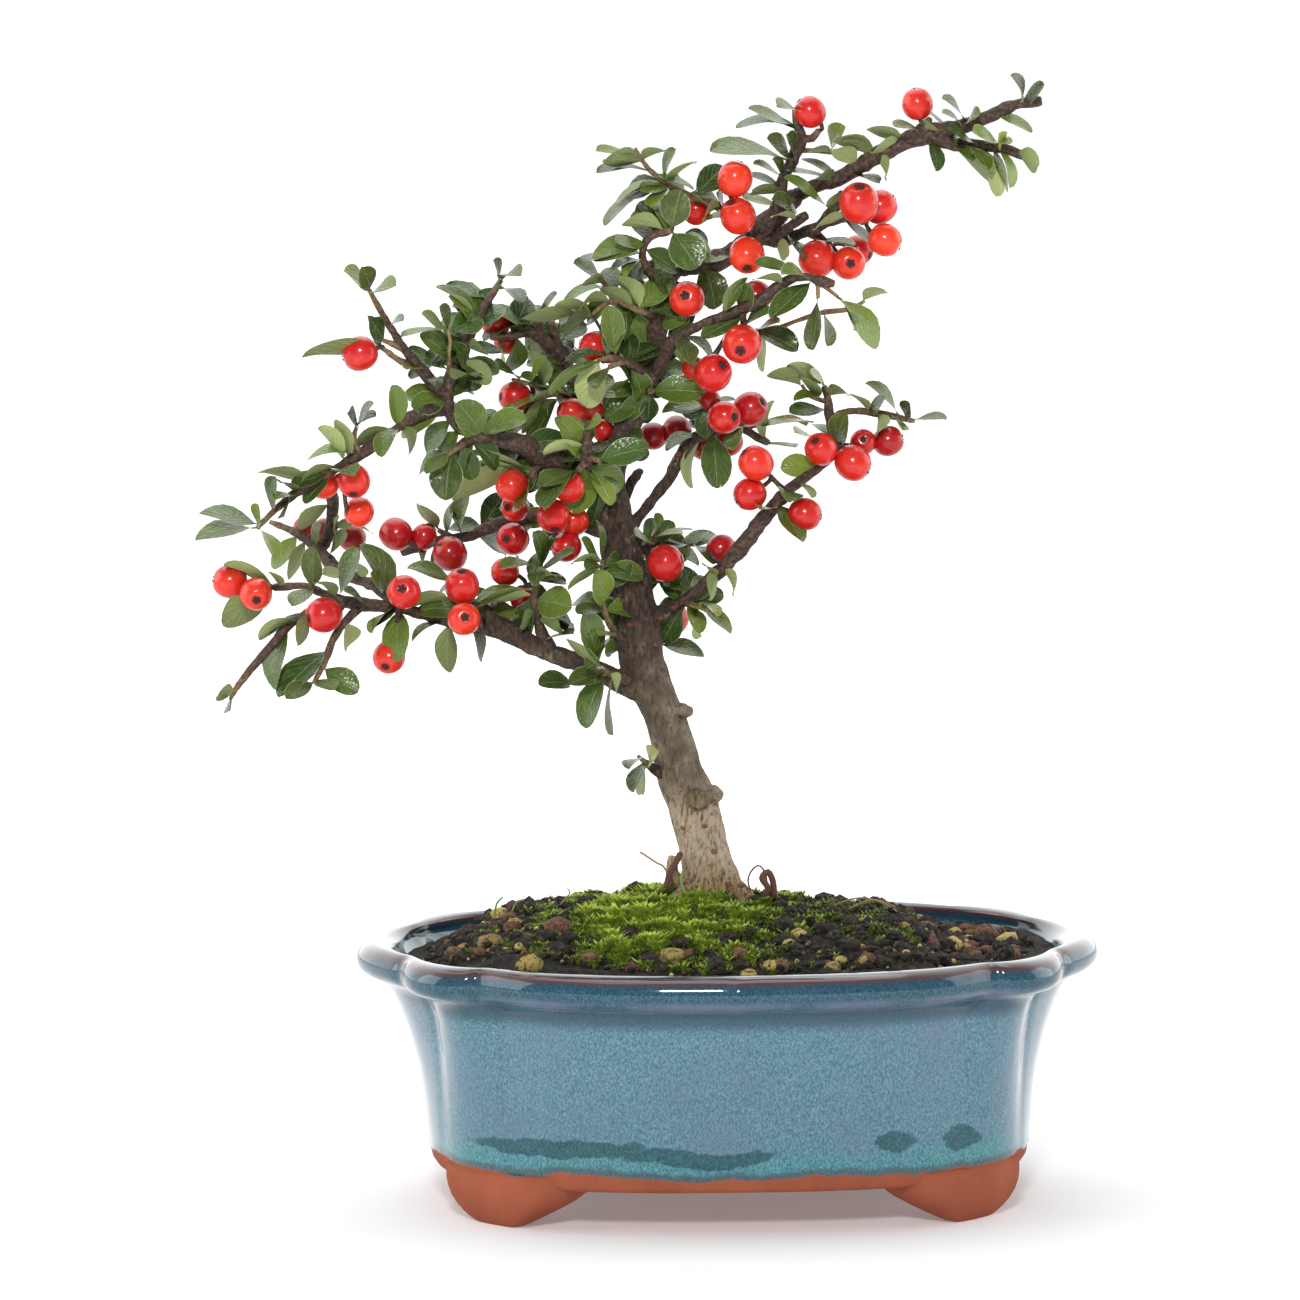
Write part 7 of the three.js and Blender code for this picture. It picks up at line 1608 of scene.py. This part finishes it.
def make_bunch(name, bunch, number):
    bm = bmesh.new()
    layers = {key: bm.verts.layers.float.new(key) for key in ("eye", "tone", "thin")}
    root = from_picture(*bunch["root"])
    fork = from_picture(*bunch["join"]) if "join" in bunch else root
    if "join" in bunch:
        radii = [STALK_RADIUS * 1.6, STALK_RADIUS * 1.2, STALK_RADIUS * 1.2]
        add_tube(bm, [root, root.lerp(fork, 0.5), fork], radii, 8, 1)
    for index, (across, down, depth, radius_pixels, eye) in enumerate(bunch["berries"]):
        centre = from_picture(across, down, depth)
        radius = to_metres(radius_pixels, depth)
        seed = number * 7 + index
        # Painted shade goes into each berry's tone: darker at the back and low down.
        add_berry(bm, layers, centre, radius, eye, berry_shade_and_tone(down, depth, seed), seed)
        BERRY_SPHERES.append((centre, radius))
        axis = frame_of(eye)[0]
        stem_end = centre - axis * 0.95 * radius
        bend = fork.lerp(stem_end, 0.6) - axis * 0.25 * radius
        points, radii = smooth_path([fork, bend, stem_end], [STALK_RADIUS] * 3, 0.0012)
        add_tube(bm, points, radii, 8, 1)
    return stand_for(finish_mesh(bm, name + "_fruit", [BERRY, TWIG, STAR]), name)


for number, (name, bunch) in enumerate(BUNCHES.items()):
    make_bunch(name, bunch, number)
print("berries:", len(BERRY_SPHERES))

# %% [markdown]
# ## Leaves
# Each leaf is a small grid: a few rows along the blade and four quads across, folded up along its rib and
# bent down towards its tip. Where the photo shows a leaf shorter than this species' leaves are, it must
# point towards the viewer, and where it looks too narrow, it is rolled about its rib.

# %% Leaf shape
LEAF_LENGTH = 13
SHORTEST_SHARE = 0.75
LEAST_TILT = 1.03
MOST_REACH = 0.8
LEAF_WIDTH_SHARE = 0.6
WIDTH_GAIN = 1.06
BLADE_ROWS = 9
BLADE_COLUMNS = 4
PETIOLE_SHARE = 0.07
FOLD = 0.24
DROOP = 0.11
CURL = 0.10
WAVE = 0.035
BERRY_ROOM = 1.12
# Rows lie closer at both ends of the blade, where its outline turns most.
ROW_SHARES = [0] + [PETIOLE_SHARE + (1 - PETIOLE_SHARE) * (1 - math.cos(math.pi * row / BLADE_ROWS)) / 2
                    for row in range(BLADE_ROWS + 1)]


def nearest_on_twigs(twigs, across, down):
    """The station on a stem's twigs that the picture shows nearest to a point, and its distance."""
    best = None
    for stations in twigs:
        for first, second in zip(stations, stations[1:]):
            step = Vector((second[0] - first[0], second[1] - first[1]))
            to_point = Vector((across - first[0], down - first[1]))
            share = min(max(to_point.dot(step) / max(step.length_squared, 1), 0.02), 0.98)
            seat = [a + share * (b - a) for a, b in zip(first, second)]
            distance = math.hypot(across - seat[0], down - seat[1])
            if best is None or distance < best[0]:
                best = (distance, seat)
    return best


def lay_leaf(twigs, leaf, seed, lean):
    """Root, start of the blade, tip, width and upper face of a listed leaf, in metres."""
    base_x, base_y, tip_x, tip_y, shown_width = leaf
    distance, (seat_x, seat_y, depth, radius) = nearest_on_twigs(twigs, base_x, base_y)
    root = from_picture(seat_x, seat_y, depth)
    start = from_picture(base_x, base_y, depth) if distance > radius + 4 else root
    shown_length = to_metres(math.hypot(tip_x - base_x, tip_y - base_y), depth) / MM
    usual_length = LEAF_LENGTH * (SHORTEST_SHARE + (1 - SHORTEST_SHARE) * vary(seed))
    full_length = max(shown_length * LEAST_TILT, usual_length)
    reach = min(math.sqrt(full_length ** 2 - shown_length ** 2), MOST_REACH * full_length)
    tip = from_picture(tip_x, tip_y, depth - reach + lean)
    shown = to_metres(abs(shown_width), depth)
    width = WIDTH_GAIN * max(shown, LEAF_WIDTH_SHARE * (tip - start).length * 0.9)
    along = (tip - start).normalized()
    facing = AHEAD * (1 if shown_width < 0 else -1)
    facing = (facing - along * facing.dot(along)).normalized()
    aside = along.cross(facing)
    roll = math.acos(min(shown / width, 1))
    turn = roll if aside.z > 0 else -roll
    upper = facing * math.cos(turn) + aside * math.sin(turn)
    return root, start, tip, width, upper


def blade_width(share):
    """Half width of an obovate blade along its length, as a share of the full width."""
    run = max(share - PETIOLE_SHARE, 0) / (1 - PETIOLE_SHARE)
    bulge = max(math.sin(math.pi * run ** 1.15), 0)
    return max(0.5 * bulge ** (0.78 - 0.30 * run), 0.035 if run < 0.5 else 0.012)


def clear_of_berries(start, tip):
    """Looks at four points of a leaf's middle line only, so a leaf's edge can still touch a berry."""
    for share in (0.35, 0.6, 0.85, 1.0):
        point = start.lerp(tip, share)
        if any((point - centre).length < radius * BERRY_ROOM for centre, radius in BERRY_SPHERES):
            return False
    return True


def add_leaf(bm, layers, laid, seed, tone, young):
    root, start, tip, width, upper = laid
    along = tip - start
    length = along.length
    along.normalize()
    across = along.cross(upper)
    fold = FOLD * (0.4 + vary(seed))
    droop = DROOP * length * (vary(seed + 0.5) - 0.15)
    curl = CURL * length * vary(seed + 0.8)
    wave_turn = 6.3 * vary(seed + 0.2)
    rows = []
    for share in ROW_SHARES:
        half = blade_width(share) * width
        line = []
        for column in range(BLADE_COLUMNS + 1):
            side = 2 * column / BLADE_COLUMNS - 1
            lift = abs(side) * half * fold + droop * math.sin(math.pi * share) - curl * share ** 3
            lift += WAVE * length * abs(side) * math.sin(5 * share + wave_turn + side)
            place = start + along * (share * length) + across * (side * half) + upper * lift
            vertex = bm.verts.new(place)
            vertex[layers["tone"]] = tone
            vertex[layers["young"]] = young
            line.append(vertex)
        rows.append(line)
    for row in range(len(ROW_SHARES) - 1):
        for column in range(BLADE_COLUMNS):
            corners = [(row, column), (row, column + 1), (row + 1, column + 1), (row + 1, column)]
            face = bm.faces.new([rows[r][c] for r, c in corners])
            face.smooth = True
            for loop, (r, c) in zip(face.loops, corners):
                loop[layers["uv"]].uv = (c / BLADE_COLUMNS, ROW_SHARES[r])
    if (start - root).length > 0.0008:
        add_tube(bm, [root, start.lerp(tip, 0.03)], [0.0005, 0.0004], 6, 1)


print("leaf shape ready")

# %% [markdown]
# A stem's mesh holds its twigs and its leaves. The twigs carry a "thin" number that turns old brown wood
# into reddish green shoots, and small swellings stand for the buds along them. The photo's crown is
# fuller than the leaves that could be counted in it, so a seeded rule adds invented ones behind them.

# %% Leafy stems
TWIG_STEP = 0.0016
LEANS = (0, 2, -2, 4, -4, 7, -7, 10, -10)
SMALL_LEAF = 150
CROWN_SPACING = 0.0025
CROWN_LOW = (440, 170)
CROWN_HIGH = (720, 640)


def add_twig(bm, thin_layer, stations, seed):
    """A tube with small swellings, and a number that says how thin it is."""
    points, radii = picture_path(stations, TWIG_STEP)
    rough = []
    for index, (point, radius) in enumerate(zip(points, radii)):
        wobble = noise.noise_vector(point * 260 + Vector((seed, 0, 0))) * 0.22 * radius
        points[index] = point + wobble
        rough.append(radius * (1 + 0.24 * noise.noise(point * 620)))
    rings = add_tube(bm, points, rough, 10, 1)
    for ring, radius in zip(rings, radii):
        for vertex in ring:
            vertex[thin_layer] = 1 - smoothstep(radius, 0.0005, 0.0013)


def in_crown(station):
    return CROWN_LOW[0] < station[0] < CROWN_HIGH[0] and CROWN_LOW[1] < station[1] < CROWN_HIGH[1]


def fill_crown(bm, layers, stations, seed):
    """Invented leaves on the far side of the twigs in the middle of the crown. Returns how many."""
    shown = [station for station in stations if in_crown(station)]
    if len(shown) < 2:
        return 0
    points = [from_picture(*station[:3]) for station in shown]
    points, radii = smooth_path(points, [0.0] * len(points), CROWN_SPACING)
    made = 0
    for index, point in enumerate(points[:-1]):
        number = seed * 31 + index * 3
        turn = 6.28 * vary(number)
        out = RIGHT * math.cos(turn) + PICTURE_UP * math.sin(turn) + AHEAD * (0.25 + 0.9 * vary(number + 0.3))
        length = (9.5 + 4.5 * vary(number + 0.6)) * MM
        tip = point + out.normalized() * length
        if not clear_of_berries(point, tip):
            continue
        upper = UP * 0.5 - AHEAD * (0.3 + 0.8 * vary(number + 0.1)) + RIGHT * (vary(number + 0.9) - 0.5)
        upper = (upper - out.normalized() * upper.dot(out.normalized())).normalized()
        laid = (point, point, tip, 0.56 * length, upper)
        # Painted shade: a leaf invented behind the twigs gets a darker tone, at most 0.75.
        add_leaf(bm, layers, laid, number, 0.75 * vary(number + 0.7), 0)
        made += 1
    return made


def lay_clear_leaf(twigs, leaf, seed):
    """The leaf, leaned off the berries where one of the leans does it, and upright otherwise."""
    ways = [lay_leaf(twigs, leaf, seed, lean) for lean in LEANS]
    clear = [laid for laid in ways if clear_of_berries(laid[1], laid[2])]
    return clear[0] if clear else ways[0]


def make_stem(name, stem, first_leaf):
    """A stem as one piece. Returns how many leaves were invented for it."""
    bm = bmesh.new()
    layers = {key: bm.verts.layers.float.new(key) for key in ("tone", "young", "thin")}
    layers["uv"] = bm.loops.layers.uv.new("UVMap")
    invented = 0
    for index, stations in enumerate(stem["twigs"]):
        add_twig(bm, layers["thin"], stations, first_leaf + index)
        invented += fill_crown(bm, layers, stations, first_leaf + index)
    for index, leaf in enumerate(stem["leaves"]):
        seed = first_leaf + index + 1
        small = abs(leaf[4]) * math.hypot(leaf[0] - leaf[2], leaf[1] - leaf[3]) < SMALL_LEAF
        young = 0.75 if small and vary(seed + 0.9) > 0.55 else 0.12 * vary(seed + 0.4)
        add_leaf(bm, layers, lay_clear_leaf(stem["twigs"], leaf, seed), seed, vary(seed + 0.7), young)
    stand_for(finish_mesh(bm, name + "_foliage", [LEAF, TWIG], closed=False), name)
    return invented


leaves_made = 0
leaves_invented = 0
for name, stem in STEMS.items():
    leaves_invented += make_stem(name, stem, leaves_made)
    leaves_made += len(stem["leaves"])
print("leaves:", leaves_made, "and", leaves_invented, "behind the crown")

# %% [markdown]
# ## Threads and blades on the ground
# A few dry roots, stalks and grass blades break the mound's outline. Each is a thin tube through listed
# picture points.

# %% Litter
LITTER = [
    # material, radius in mm and picture points with depth
    (DRY, 0.30, [(640, 852, -6), (648, 857, -7), (657, 863, -8), (663, 866, -9), (668, 874, -10)]),
    (OLD_ROOT, 0.9, [(666, 888, -12), (670, 872, -12), (676, 862, -11), (681, 852, -10)]),
    (OLD_ROOT, 0.25, [(752, 896, -6), (748, 880, -7), (753, 869, -8), (760, 866, -8), (766, 876, -7),
                      (768, 896, -6)]),
    (OLD_ROOT, 0.9, [(764, 898, -8), (768, 888, -9), (762, 878, -9), (768, 872, -8), (773, 882, -8),
                     (774, 898, -8)]),
    (DRY, 0.25, [(835, 905, 4), (858, 898, 2), (880, 902, 0), (898, 912, -2)]),
    (DRY, 0.22, [(850, 908, 0), (872, 900, 0), (893, 906, 2), (905, 920, 2)]),
    (DRY, 0.25, [(842, 935, -20), (858, 945, -22), (872, 952, -24)]),
    (GRASS, 0.30, [(494, 915, -8), (497, 903, -8), (503, 897, -8)]),
    (GRASS, 0.25, [(512, 912, -6), (516, 903, -6), (524, 899, -6)]),
    (GRASS, 0.35, [(684, 892, -14), (681, 880, -14), (683, 869, -14)]),
    (DRY, 0.22, [(560, 905, -4), (570, 893, -4), (566, 888, -4)]),
]
for index, (material, radius, stations) in enumerate(LITTER):
    bm = bmesh.new()
    points = [from_picture(*station) for station in stations]
    points, radii = smooth_path(points, [radius * MM] * len(points), 0.001)
    radii[-1] *= 0.4
    add_tube(bm, points, radii, 7)
    belong_to(finish_mesh(bm, f"litter_{index}", [material]))
print("litter:", len(LITTER))

# %% [markdown]
# ## Studio
# A pale floor, a bright surround and four area lamps, three of them large and soft, give the photo's
# clean look. The long lens comes from the photo's flat perspective: the camera stands 1.5 m away.

# %% Floor, light and camera
SENSOR_WIDTH = 36
PICTURE_SIZE = 1300
SURROUND_SEEN = 1.1
SURROUND_FRONT = 0.20
SURROUND_BEHIND = 1.0
MIRRORED_GAIN = 1.7
NEAR_GLOW = 0.18
FAR_GLOW = 0.85
FLOOR_SIZE = 200


def make_floor_material():
    """Pale paper whose far part glows, so that it runs into the white surround."""
    material, tree, shader = new_material("floor")
    across, away = split(tree, object_place(tree))[:2]
    squares = sums(tree, "ADD", times(tree, across, across), times(tree, away, away))
    distance = sums(tree, "SQRT", squares, 0)
    glow = sums(tree, "MULTIPLY_ADD", rise(tree, distance, 0.12, 0.55), FAR_GLOW - NEAR_GLOW, NEAR_GLOW)
    mirrored = tree.nodes.new("ShaderNodeLightPath").outputs["Is Glossy Ray"]
    glow = times(tree, glow, sums(tree, "MULTIPLY_ADD", mirrored, -0.8, 1.0))
    connect(tree, glow, shader.inputs["Emission Strength"])
    shader.inputs["Emission Color"].default_value = rgb(1.0, 1.0, 1.0)
    shader.inputs["Base Color"].default_value = rgb(0.80, 0.79, 0.80)
    shader.inputs["Roughness"].default_value = 0.9
    return material


bm = bmesh.new()
bmesh.ops.create_grid(bm, x_segments=1, y_segments=1, size=FLOOR_SIZE)
floor = finish_mesh(bm, "floor", [make_floor_material()])

world = bpy.data.worlds.new("surround")
bpy.context.scene.world = world
world.use_nodes = True
background = world.node_tree.nodes["Background"]
background.inputs["Color"].default_value = (1.0, 1.0, 1.0, 1.0)
sky = world.node_tree
away = split(sky, sky.nodes.new("ShaderNodeTexCoord").outputs["Generated"])[1]
behind = rise(sky, away, -0.3, 0.6)
strength = sums(sky, "MULTIPLY_ADD", behind, SURROUND_BEHIND - SURROUND_FRONT, SURROUND_FRONT)
light_path = sky.nodes.new("ShaderNodeLightPath").outputs
seen_directly = light_path["Is Camera Ray"]
mirrored = light_path["Is Glossy Ray"]
strength = times(sky, strength, sums(sky, "MULTIPLY_ADD", mirrored, MIRRORED_GAIN - 1, 1.0))
missing = sums(sky, "SUBTRACT", SURROUND_SEEN, strength)
connect(sky, sums(sky, "MULTIPLY_ADD", seen_directly, missing, strength), background.inputs["Strength"])


def add_lamp(name, place, target, size, power):
    lamp = bpy.data.lights.new(name, "AREA")
    lamp.size = size
    lamp.energy = power
    holder = bpy.data.objects.new(name, lamp)
    holder.location = place
    holder.rotation_euler = (Vector(target) - Vector(place)).to_track_quat("-Z", "Y").to_euler()
    bpy.context.collection.objects.link(holder)


add_lamp("key", (-0.10, -1.45, 0.85), (0.02, 0, 0.12), 0.20, 14)
add_lamp("left", (-1.5, -0.1, 0.7), (0, 0, 0.12), 1.2, 11)
add_lamp("right", (1.5, 0.1, 0.6), (0, 0, 0.12), 1.2, 8)
add_lamp("top", (-0.1, 0.3, 1.5), (0, 0, 0.1), 1.3, 9)

camera_data = bpy.data.cameras.new("camera")
camera_data.sensor_width = SENSOR_WIDTH
camera_data.lens = FOCAL_PIXELS / PICTURE_SIZE * SENSOR_WIDTH
camera_data.clip_end = 20
camera = bpy.data.objects.new("camera", camera_data)
camera.location = EYE * MM + POT_CENTRE
camera.rotation_euler = Matrix((RIGHT, PICTURE_UP, -AHEAD)).transposed().to_euler()
bpy.context.collection.objects.link(camera)
bpy.context.scene.camera = camera
bpy.context.scene.view_settings.view_transform = "Standard"
print("lens:", round(camera_data.lens, 1), "mm")
